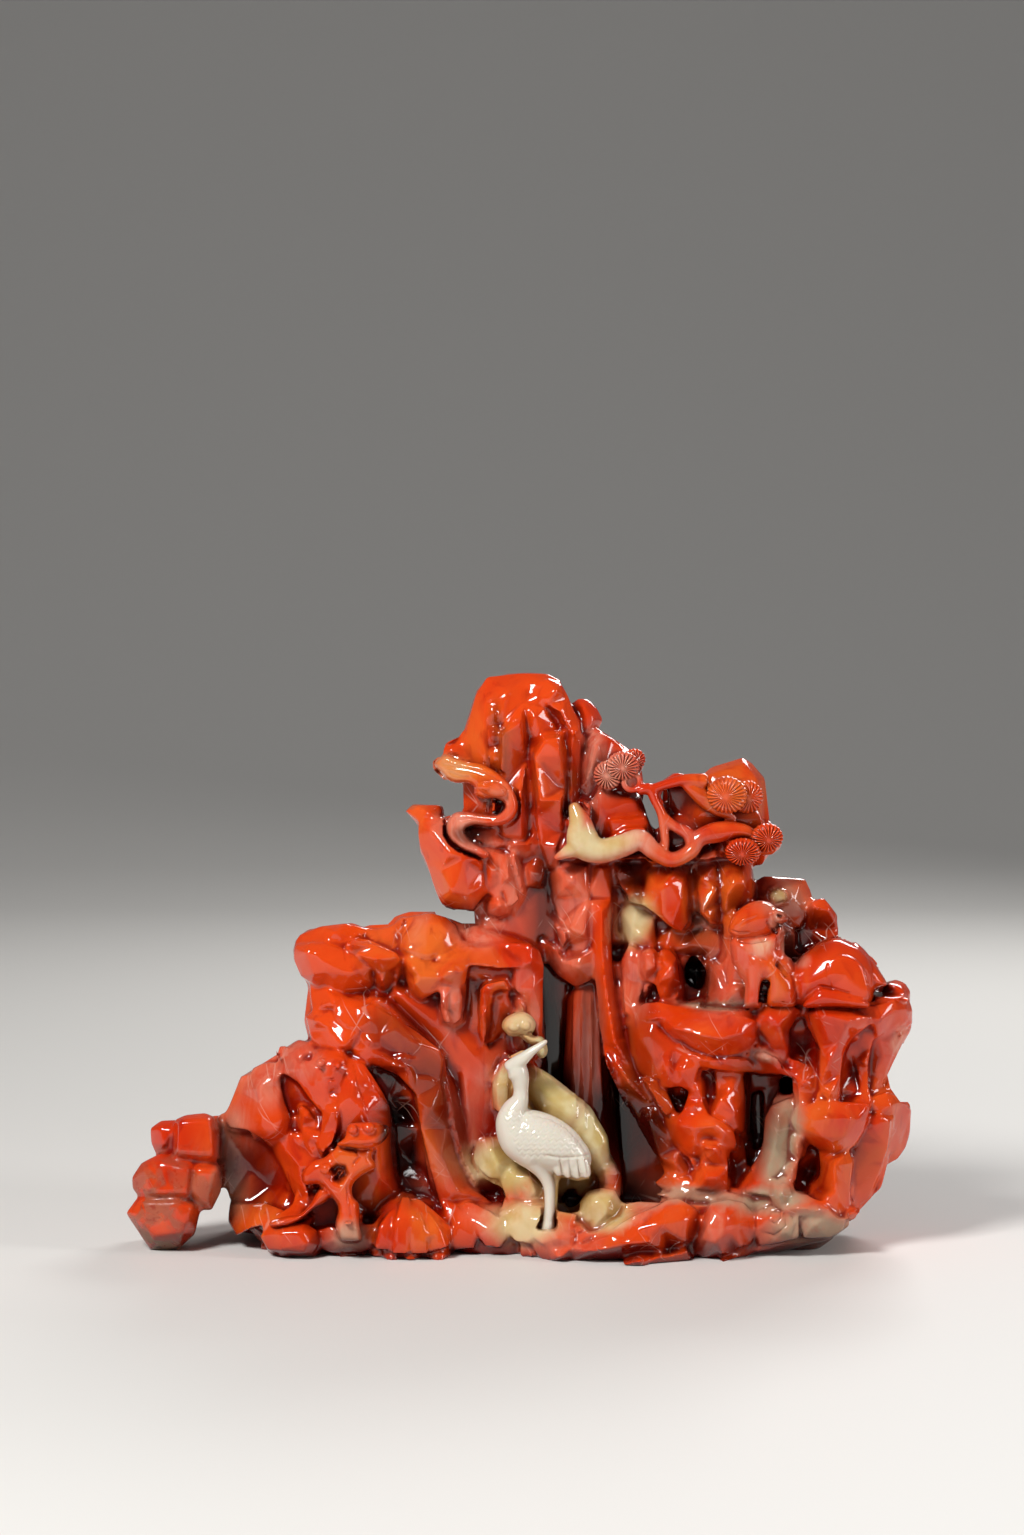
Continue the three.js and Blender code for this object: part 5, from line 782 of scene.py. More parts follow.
def summit_faces():
    """The summit's cut faces: the left flank, the cap, the bent rib on the right and three square bars."""
    return [
        facets([(487, 677, -7), (476, 694, -7), (468, 722, -7), (463, 742, -7.4), (463, 790, -8),
            (464, 826, -9), (488, 826, -12), (487, 770, -12.4), (485, 730, -12), (486, 702, -11)],
            [(476, 740, -10.4)]),
        facets([(486, 702, -11), (497, 699, -11.4), (501, 712, -11.2), (499, 740, -11.6), (499, 768, -11.4),
            (493, 776, -11.4), (486, 766, -11)], [(492, 735, -11.6)]),
        facets([(487, 677, -7), (513, 674, -6), (521, 680, -7), (508, 694, -12.4), (501, 722, -12.4),
            (498, 700, -12), (486, 702, -11)]),
        facets([(521, 680, -8.6), (532, 692, -9.6), (524, 703, -11), (504, 724, -12.2), (508, 694, -11.6)]),
        facets([(513, 674, -6), (527, 672, -6), (548, 674, -6), (560, 680, -7), (543, 682, -9.6),
            (527, 686, -9.6), (521, 680, -8)]),
        facets([(527, 686, -9.2), (543, 682, -10), (541, 696, -11.4), (548, 705, -12), (546, 706, -11.6),
            (524, 703, -11), (532, 692, -9.8)]),
        facets([(534, 684, -9.4), (546, 678, -9), (561, 683, -8.6), (568, 696, -9), (578, 722, -9),
            (581, 745, -9.4), (580, 790, -9.6), (577, 822, -9.4), (571, 812, -11.4), (570, 770, -12),
            (571, 735, -12.4), (560, 712, -13), (548, 705, -12.6), (541, 696, -11.8)], [(556, 690, -13),
            (575, 733, -13.8)]),
        facets([(548, 703, -9), (560, 712, -10), (571, 735, -9.6), (571, 800, -9), (556, 800, -9),
            (545, 740, -9)]),
        facets([(500, 731, -12), (509, 716, -11.6), (524, 703, -11), (525, 722, -12), (527, 760, -11),
            (528, 830, -11), (524, 842, -12), (502, 836, -13), (499, 800, -13)], [(503, 733, -16),
            (520, 722, -17.4), (520, 800, -17), (521, 836, -14.6), (503, 800, -15.4)]),
        facets([(524, 703, -11), (546, 706, -10.6), (551, 720, -11), (560, 733, -10.4), (540, 736, -13),
            (530, 750, -12), (526, 738, -11)], [(534, 716, -13.6)]),
        facets([(532, 752, -13), (542, 735, -13), (560, 733, -12.6), (565, 748, -12), (566, 790, -12),
            (563, 832, -12), (558, 866, -10.4), (549, 868, -11), (541, 845, -13), (536, 815, -13)],
            [(535, 757, -17.6), (545, 740, -18.6), (558, 738, -18.6), (560, 756, -18.6), (560, 800, -18),
            (556, 846, -14.4), (540, 800, -18.2)]),
        facets([(583, 742, -6), (600, 732, -6), (612, 738, -6), (622, 748, -6), (606, 762, -9), (596, 780, -9),
            (588, 800, -9), (583, 790, -9)], [(597, 745, -11), (592, 765, -11)]),
        facets([(441, 758, -9), (450, 748, -9), (458, 744, -8), (468, 735, -8), (474, 745, -9), (466, 757, -9),
            (470, 763, -10), (456, 760, -11)]),
        pebble((493, 714, -10.8), (4.6, 11, 1.9)),
        pebble((494, 735, -11), (4.2, 10, 1.9)),
        pebble((495, 756, -11), (4.2, 11, 1.9)),
    ]


def overhang_faces():
    """The block under the cloud with its hook, the hangings beside it, the wide shaft and the lip below."""
    return [
        facets([(405, 811, -5), (413, 805, -6), (440, 805, -6), (443, 812, -7), (438, 819, -10),
            (420, 823, -8)], [(428, 813, -10)]),
        facets([(419, 822, -8), (432, 816, -9), (452, 820, -11), (466, 836, -12.6), (480, 850, -13),
            (483, 870, -12), (487, 893, -10), (480, 901, -9.6), (473, 911, -8), (455, 910, -8.4),
            (442, 905, -8), (436, 893, -8), (427, 865, -8), (420, 848, -8), (418, 834, -8)], [(431, 831, -13),
            (450, 854, -17), (463, 858, -16), (478, 862, -16), (452, 892, -16.4), (440, 870, -13),
            (446, 898, -13), (468, 896, -15), (482, 888, -13)]),
        facets([(483, 848, -12), (498, 852, -12), (503, 880, -12), (500, 900, -11), (487, 893, -10)],
            [(492, 870, -14)]),
        facets([(487, 902, -9), (497, 895, -10), (508, 905, -9.6), (510, 914, -9), (498, 918, -9),
            (486, 914, -8)], [(500, 905, -13)]),
        facets([(497, 852, -12), (508, 855, -12), (514, 880, -12), (519, 900, -11), (510, 908, -11),
            (502, 885, -12)], [(508, 878, -14.6)]),
        facets([(548, 866, -8), (556, 862, -9), (570, 862, -10), (588, 866, -11), (589, 900, -11.4),
            (589, 940, -11), (583, 955, -10), (563, 961, -8), (570, 945, -8.6), (571, 930, -9), (560, 925, -8),
            (553, 900, -7.6)], [(572, 880, -13.6), (572, 930, -12.6), (584, 935, -13)]),
        facets([(541, 940, -6), (556, 948, -8), (564, 962, -10), (582, 957, -12), (595, 947, -11),
            (596, 965, -11), (590, 982, -9.6), (575, 988, -7), (556, 975, -6), (545, 960, -5)],
            [(578, 968, -12.6)]),
    ]


def cliff_faces():
    """The tongues that hang below the pine, the pale cave, and the lumps and posts above the shelf."""
    return [
        facets([(614, 864, -10), (618, 880, -11), (622, 888, -12), (627, 893, -12.6), (629, 902, -12),
            (641, 905, -13), (647, 907, -12), (645, 885, -9), (644, 864, -7), (630, 864, -7)],
            [(632, 895, -14.6), (622, 872, -11.6), (634, 880, -10)]),
        facets([(646, 868, -10), (645, 895, -12), (647, 908, -13), (657, 915, -14), (665, 923, -15),
            (675, 930, -15), (682, 932, -14), (689, 922, -13), (690, 900, -12), (688, 868, -10),
            (668, 868, -12)], [(655, 885, -15), (662, 890, -17), (668, 884, -17.4), (672, 870, -14.6),
            (663, 915, -17), (672, 925, -17), (682, 900, -16.4), (684, 880, -14.6)]),
        facets([(690, 868, -8), (697, 890, -10), (699, 912, -10), (694, 912, -9), (690, 895, -8)]),
        facets([(692, 864, -9), (697, 885, -12), (700, 914, -13), (711, 925, -13), (720, 926, -11),
            (722, 900, -11), (719, 885, -12), (716, 864, -10)], [(703, 880, -15), (703, 913, -16.4),
            (711, 921, -16), (716, 890, -15), (714, 866, -12)]),
        facets([(719, 862, -10), (722, 890, -13), (724, 912, -13), (728, 914, -13), (742, 904, -12),
            (751, 898, -10), (752, 890, -10), (748, 862, -9)], [(728, 893, -16), (735, 883, -16),
            (745, 883, -15), (744, 866, -12)]),
        facets([(668, 786, -11), (700, 790, -12), (722, 806, -13), (760, 812, -12.4), (765, 830, -12),
            (740, 836, -12), (700, 830, -12), (690, 822, -11.6), (668, 806, -10.6)], [(705, 812, -14),
            (738, 820, -13.4)]),
        pebble((680, 838, -10.4), (23, 24, 3)),
        facets([(621, 910, -6), (630, 905, -7), (640, 906, -8), (647, 912, -8), (655, 918, -9), (656, 935, -9),
            (656, 948, -10), (640, 948, -9), (628, 943, -8), (623, 930, -6)], [(633, 930, -9.6),
            (640, 935, -10.6), (650, 930, -10), (648, 940, -11)]),
        facets([(629, 945, -10), (636, 948, -11), (640, 960, -12), (641, 980, -12), (643, 990, -12.6),
            (640, 1002, -13), (632, 1015, -14), (625, 1015, -13), (623, 985, -11), (621, 962, -10)],
            [(630, 960, -12), (632, 985, -11.4)]),
        facets([(641, 953, -13), (648, 949, -14), (655, 949, -14), (659, 957, -14.6), (657, 972, -15),
            (655, 985, -14), (646, 982, -13.6), (640, 972, -13)], [(646, 955, -17), (653, 953, -17),
            (655, 968, -17.4), (646, 972, -16.6)]),
        facets([(661, 950, -13), (670, 950, -14), (677, 958, -15), (679, 970, -15), (681, 984, -14),
            (675, 988, -14.6), (671, 1000, -15), (661, 1001, -14.6), (657, 990, -14.6), (658, 972, -15),
            (656, 975, -14.6), (661, 962, -14.6)], [(664, 962, -18.6), (673, 966, -19), (674, 978, -18.6),
            (662, 980, -19.6), (668, 985, -18)]),
        facets([(661, 935, -8), (672, 930, -9), (690, 936, -9), (706, 930, -9), (722, 935, -9), (726, 955, -9),
            (722, 975, -9), (708, 990, -10), (709, 962, -9), (705, 955, -8), (683, 954, -9), (678, 950, -10),
            (668, 948, -11), (660, 946, -10)], [(690, 945, -10.6), (712, 950, -10)]),
        facets([(709, 962, -10), (722, 965, -12), (727, 958, -13), (729, 985, -15), (722, 992, -16),
            (708, 1000, -15), (709, 985, -12)], [(718, 980, -14.6)]),
        facets([(723, 914, -11), (727, 908, -12), (738, 900, -12), (736, 915, -14), (733, 930, -16),
            (737, 940, -16), (735, 955, -15), (728, 958, -13), (724, 940, -11)], [(730, 935, -15.6)]),
        facets([(730, 958, -13), (736, 948, -14), (745, 950, -15), (748, 962, -16), (748, 985, -17),
            (747, 1008, -18), (722, 1008, -17), (705, 1006, -15), (722, 995, -16), (730, 985, -16),
            (727, 965, -13)], [(738, 965, -17), (738, 990, -18.4)]),
        facets([(757, 882, -2), (764, 877, -3), (785, 877, -3), (806, 880, -3), (810, 895, -4), (814, 902, -5),
            (806, 915, -7), (799, 930, -8), (790, 925, -9), (780, 910, -10), (770, 905, -10), (758, 902, -9),
            (757, 893, -5)], [(762, 886, -6), (780, 883, -7), (800, 885, -7), (795, 900, -9)]),
        pebble((780, 897, -9.6), (11, 9, 1.6), turn=10),
        facets([(800, 925, -6), (806, 910, -7), (813, 902, -8), (824, 898, -7), (830, 905, -7), (836, 913, -6),
            (839, 930, -5), (839, 945, -5), (815, 950, -6), (800, 950, -6)], [(815, 907, -10), (830, 910, -9.6),
            (829, 940, -8.6), (812, 930, -6)]),
        facets([(589, 866, -9), (612, 866, -9), (612, 900, -10), (611, 950, -11), (616, 1000, -12),
            (624, 1040, -13), (634, 1075, -14), (655, 1110, -15), (680, 1150, -16), (696, 1186, -17),
            (680, 1190, -16), (660, 1160, -15), (640, 1125, -14), (622, 1090, -13), (606, 1045, -12),
            (598, 1000, -11), (591, 950, -10), (588, 900, -10)], [(601, 868, -12.6), (602, 910, -14),
            (602, 952, -14.6), (607, 1000, -15.4), (615, 1044, -16.6), (629, 1084, -18), (650, 1122, -19),
            (676, 1166, -19)]),
    ]


def plateau_faces():
    """The left plateau: its rolled nose, the table and bar on top, their hangings, and the slabs below."""
    return [
        facets([(294, 943, -9), (300, 935, -10), (320, 927, -11), (345, 924, -11), (362, 928, -10),
            (372, 934, -9.6), (352, 938, -14), (346, 945, -15.4), (325, 941, -15), (308, 941, -14)],
            [(335, 932, -16)]),
        facets([(294, 946, -12), (310, 943, -16), (325, 944, -17), (342, 950, -18), (356, 960, -19),
            (368, 970, -18), (372, 985, -15), (360, 1000, -13), (340, 1000, -15), (312, 985, -13),
            (300, 977, -12), (293, 960, -11)], [(305, 952, -19), (316, 954, -20), (325, 962, -20.4),
            (327, 973, -20), (314, 976, -18.6), (350, 975, -20)]),
        facets([(347, 944, -17), (352, 940, -17), (378, 946, -19), (395, 953, -20), (401, 960, -20),
            (395, 968, -18), (382, 975, -17), (373, 972, -17), (366, 966, -17.4), (350, 953, -18)],
            [(350, 946, -21), (374, 960, -22), (392, 959, -22)]),
        facets([(374, 970, -16), (384, 974, -18), (393, 970, -16), (391, 980, -15), (386, 992, -13),
            (380, 995, -13), (375, 984, -14)], [(382, 982, -18)]),
        facets([(362, 928, -9), (378, 930, -8), (392, 926, -9), (396, 950, -14), (380, 945, -12),
            (368, 936, -11)]),
        facets([(392, 927, -9), (400, 917, -9), (407, 918, -9.6), (430, 913, -9), (445, 917, -9),
            (456, 926, -9), (460, 938, -12), (452, 950, -15), (432, 962, -17), (412, 961, -17), (400, 953, -15),
            (397, 940, -11)], [(404, 919, -13), (407, 950, -18), (428, 924, -15), (428, 957, -19),
            (440, 924, -14), (448, 932, -15)]),
        facets([(456, 940, -12), (475, 944, -13), (500, 943, -13), (530, 944, -12.6), (540, 952, -12.6),
            (544, 966, -12.6), (543, 985, -12), (534, 975, -14), (524, 968, -16), (500, 969, -18),
            (470, 966, -19), (450, 960, -19), (440, 962, -18), (432, 957, -17)], [(470, 949, -17),
            (490, 949, -17), (530, 947, -16.4), (531, 962, -17.6), (465, 960, -19.6)]),
        facets([(403, 958, -17), (410, 958, -18), (425, 962, -18), (440, 964, -19), (440, 978, -21),
            (438, 992, -19), (421, 1002, -16), (411, 996, -15), (405, 980, -15)], [(413, 970, -21),
            (415, 985, -20.4), (420, 978, -21), (422, 999, -18)]),
        facets([(440, 964, -18), (452, 961, -19), (462, 965, -19), (468, 968, -19), (465, 985, -19),
            (455, 988, -19), (448, 993, -20), (446, 1010, -19.6), (451, 1024, -18.6), (444, 1024, -18),
            (440, 1010, -18), (440, 985, -19)], [(442, 978, -22.4), (452, 972, -22.6), (463, 972, -22),
            (443, 1005, -21.4)]),
        facets([(452, 989, -19), (460, 988, -18.6), (463, 1000, -18), (461, 1020, -17), (455, 1025, -17),
            (448, 1010, -17.6), (447, 998, -18.4)], [(455, 1005, -19.6)]),
        facets([(480, 990, -18), (486, 985, -19.6), (505, 981, -19), (510, 992, -17), (500, 990, -17.6),
            (490, 993, -19), (487, 1008, -18.4), (487, 1030, -17), (484, 1046, -15), (480, 1035, -15.6),
            (479, 1010, -17)], [(483, 992, -21.6), (482, 1015, -19.6)]),
        facets([(489, 994, -15), (506, 990, -15), (512, 1010, -13.6), (505, 1030, -12.6), (490, 1045, -12)],
            [(500, 1005, -15.6)]),
        facets([(512, 972, -15), (524, 968, -15.6), (534, 976, -14.6), (543, 985, -12), (543, 1020, -11.6),
            (542, 1070, -10), (530, 1080, -10), (528, 1040, -12), (527, 1005, -14), (515, 990, -15)],
            [(533, 990, -15.4), (537, 1030, -13)]),
        facets([(309, 986, -11), (322, 984, -14), (345, 998, -17), (368, 1004, -18), (356, 1010, -20),
            (333, 1007, -20), (312, 1012, -14), (310, 1000, -12)], [(330, 996, -18.6), (334, 1003, -20)]),
        facets([(333, 1007, -19), (356, 1009, -20), (372, 1005, -19.6), (392, 1018, -20), (415, 1032, -21),
            (440, 1052, -21), (443, 1062, -20), (442, 1075, -19), (425, 1060, -22), (400, 1052, -22.6),
            (378, 1038, -22), (360, 1030, -22), (345, 1028, -22), (335, 1018, -21)], [(395, 1030, -24),
            (415, 1045, -24), (370, 1020, -22.6)]),
        facets([(305, 1018, -12), (312, 1013, -14), (333, 1012, -18), (345, 1028, -21), (358, 1032, -21.6),
            (350, 1050, -21), (340, 1054, -21), (325, 1052, -19.6), (311, 1043, -15), (308, 1030, -13)],
            [(315, 1022, -18.4), (330, 1030, -21), (343, 1048, -23.6)]),
        facets([(358, 1032, -21), (378, 1040, -22), (398, 1053, -22), (425, 1062, -21.6), (441, 1075, -19),
            (441, 1085, -18), (430, 1080, -19), (414, 1075, -21), (408, 1066, -22.4), (390, 1060, -22),
            (380, 1052, -22), (366, 1049, -22), (352, 1052, -21)], [(372, 1044, -23.6), (402, 1060, -24)]),
        facets([(352, 1052, -21), (366, 1050, -22.4), (381, 1056, -23.4), (400, 1065, -24), (410, 1070, -24),
            (414, 1080, -23), (414, 1095, -21), (405, 1085, -22), (394, 1073, -22), (378, 1068, -21),
            (362, 1064, -21)], [(396, 1068, -25.4)]),
    ]


def left_faces():
    """The left shoulder: dished slab, folds and fingers, the beast's face, the hill and the front lumps."""
    return [
        facets([(240, 1078, -8), (249, 1077, -9), (252, 1070, -9), (262, 1065, -10), (275, 1064, -11),
            (280, 1075, -14), (280, 1088, -15), (284, 1105, -16), (290, 1120, -17), (287, 1135, -17),
            (276, 1142, -16), (262, 1142, -15), (245, 1132, -13), (228, 1130, -9), (221, 1120, -6),
            (228, 1108, -6), (235, 1092, -6)], [(256, 1083, -14), (266, 1078, -15), (275, 1082, -16),
            (258, 1090, -16), (260, 1108, -16.6), (276, 1108, -18), (280, 1120, -19), (262, 1120, -17.6),
            (262, 1133, -17), (275, 1133, -19)]),
        facets([(280, 1052, -8), (298, 1041, -10), (310, 1044, -13), (313, 1053, -17), (300, 1058, -18),
            (290, 1062, -16), (279, 1060, -11)], [(287, 1054, -14), (300, 1050, -16)]),
        facets([(279, 1062, -12), (292, 1060, -18), (302, 1066, -21), (312, 1090, -23.6), (322, 1108, -24.6),
            (319, 1113, -23.6), (308, 1100, -22), (298, 1085, -20), (288, 1078, -17), (280, 1075, -14)],
            [(294, 1072, -20.6)]),
        facets([(303, 1060, -20), (312, 1066, -22.6), (318, 1082, -25), (326, 1095, -26), (325, 1108, -25),
            (320, 1108, -24), (312, 1092, -23)]),
        facets([(280, 1075, -12), (290, 1079, -14), (300, 1088, -16), (310, 1104, -17), (318, 1120, -18),
            (320, 1134, -18), (300, 1135, -15), (290, 1120, -14), (284, 1100, -13)]),
        facets([(297, 1110, -16.6), (301, 1107, -18), (308, 1112, -20), (314, 1122, -20.6), (319, 1133, -21),
            (320, 1148, -22), (312, 1158, -22), (304, 1145, -20), (300, 1130, -18)], [(303, 1120, -21.6),
            (312, 1140, -23)]),
        facets([(322, 1108, -24), (327, 1094, -25), (333, 1098, -26), (337, 1112, -26.6), (337, 1130, -27),
            (332, 1145, -27), (322, 1156, -25.6), (316, 1150, -23.6), (320, 1135, -23)], [(331, 1115, -28)]),
        facets([(287, 1135, -16), (295, 1135, -18), (304, 1146, -19), (313, 1158, -21), (322, 1158, -23),
            (326, 1164, -23), (310, 1172, -22), (299, 1172, -20), (292, 1150, -17)]),
        facets([(262, 1143, -13), (277, 1143, -15), (288, 1138, -17), (293, 1150, -18), (299, 1170, -20),
            (304, 1185, -21), (308, 1200, -22), (306, 1212, -21), (298, 1210, -17), (290, 1192, -14),
            (280, 1168, -12), (270, 1150, -11)], [(285, 1155, -17), (296, 1185, -18.6)]),
        facets([(222, 1130, -6), (250, 1138, -9), (270, 1148, -10.6), (280, 1168, -11), (290, 1192, -12),
            (298, 1212, -13), (280, 1214, -14), (262, 1208, -12), (245, 1210, -9), (228, 1202, -7),
            (222, 1180, -7)], [(250, 1172, -6.4), (270, 1190, -7.6)]),
        facets([(228, 1206, -8), (245, 1208, -12), (262, 1206, -15), (280, 1213, -19), (290, 1219, -22),
            (300, 1218, -24), (290, 1228, -26), (270, 1226, -24), (250, 1232, -20), (235, 1240, -14),
            (226, 1225, -8)], [(255, 1218, -19)]),
        facets([(311, 1058, -20), (320, 1056, -23), (340, 1058, -25), (345, 1066, -25), (344, 1080, -25),
            (338, 1092, -26), (326, 1092, -25.4), (318, 1080, -24), (312, 1070, -22)], [(328, 1064, -26.6),
            (328, 1080, -27.6)]),
        pebble((320, 1065, -26.2), (4.8, 4.8, 1.4)),
        pebble((337, 1067, -27), (4.4, 4.4, 1.4)),
        facets([(340, 1058, -22), (352, 1060, -22), (364, 1066, -23), (372, 1078, -23.6), (382, 1094, -23),
            (389, 1108, -22), (392, 1125, -21), (391, 1150, -20), (394, 1180, -18), (402, 1205, -16),
            (370, 1225, -18), (345, 1210, -20), (335, 1160, -22), (338, 1130, -25), (336, 1110, -26),
            (334, 1095, -25)], [(352, 1085, -27.6), (362, 1112, -28.4), (372, 1140, -27), (378, 1180, -23.4),
            (350, 1100, -28)]),
        facets([(372, 1070, -17), (394, 1075, -17), (405, 1088, -18), (414, 1100, -18), (418, 1130, -17),
            (425, 1160, -16), (438, 1190, -15), (440, 1210, -15), (402, 1210, -15), (394, 1180, -15),
            (391, 1150, -15), (392, 1125, -16), (386, 1100, -17)], [(402, 1120, -12.6), (410, 1165, -11.6)]),
        facets([(414, 1078, -21.6), (430, 1080, -20), (441, 1087, -18.6), (445, 1105, -18), (448, 1130, -17),
            (458, 1165, -16), (470, 1190, -15), (490, 1204, -15), (440, 1210, -17), (428, 1165, -19),
            (420, 1130, -20), (416, 1100, -21)], [(430, 1110, -22), (440, 1160, -20.4), (455, 1195, -18.6)]),
        facets([(372, 1228, -22), (380, 1218, -23), (392, 1208, -23), (408, 1200, -22), (420, 1203, -22),
            (432, 1213, -22), (442, 1222, -23), (450, 1232, -23), (452, 1248, -23), (440, 1254, -25),
            (420, 1257, -26), (395, 1257, -26), (375, 1252, -24)], [(398, 1214, -26), (410, 1210, -26.4),
            (386, 1240, -27), (396, 1228, -29), (393, 1252, -28), (404, 1228, -27), (414, 1222, -29.6),
            (410, 1250, -28.6), (424, 1225, -27.4), (428, 1240, -29.6), (438, 1238, -28)]),
        crystal([(392, 1216, -24, 5, 2), (384, 1232, -26.2, 9, 3), (381, 1252, -26.2, 11, 3.4)], 5, 90),
        crystal([(405, 1202, -24, 6, 2), (402, 1224, -27, 11, 3), (400, 1256, -27, 14, 3.6)], 5, 90),
        crystal([(414, 1212, -24, 5, 2), (418, 1230, -27.2, 10, 3), (420, 1256, -27.2, 12, 3.6)], 5, 90),
        crystal([(426, 1218, -24, 5, 2), (434, 1234, -26, 10, 3), (439, 1252, -26, 13, 3.4)], 5, 90),
        facets([(296, 1204, -20), (320, 1196, -21), (338, 1200, -21), (338, 1232, -22), (316, 1236, -23),
            (292, 1226, -22)], [(316, 1214, -21.8)]),
        facets([(258, 1240, -24), (268, 1232, -25), (285, 1226, -26), (302, 1226, -26), (316, 1234, -26),
            (318, 1248, -26), (310, 1260, -26), (285, 1260, -26), (266, 1254, -25)], [(278, 1237, -29),
            (300, 1236, -29.6), (306, 1248, -30), (303, 1257, -29), (280, 1254, -29)]),
        facets([(316, 1234, -24), (330, 1230, -26), (345, 1236, -26), (362, 1228, -25), (374, 1228, -24),
            (376, 1250, -24), (360, 1257, -24), (330, 1257, -24), (316, 1252, -24)], [(332, 1244, -26.6),
            (348, 1250, -27), (360, 1242, -26)]),
    ]


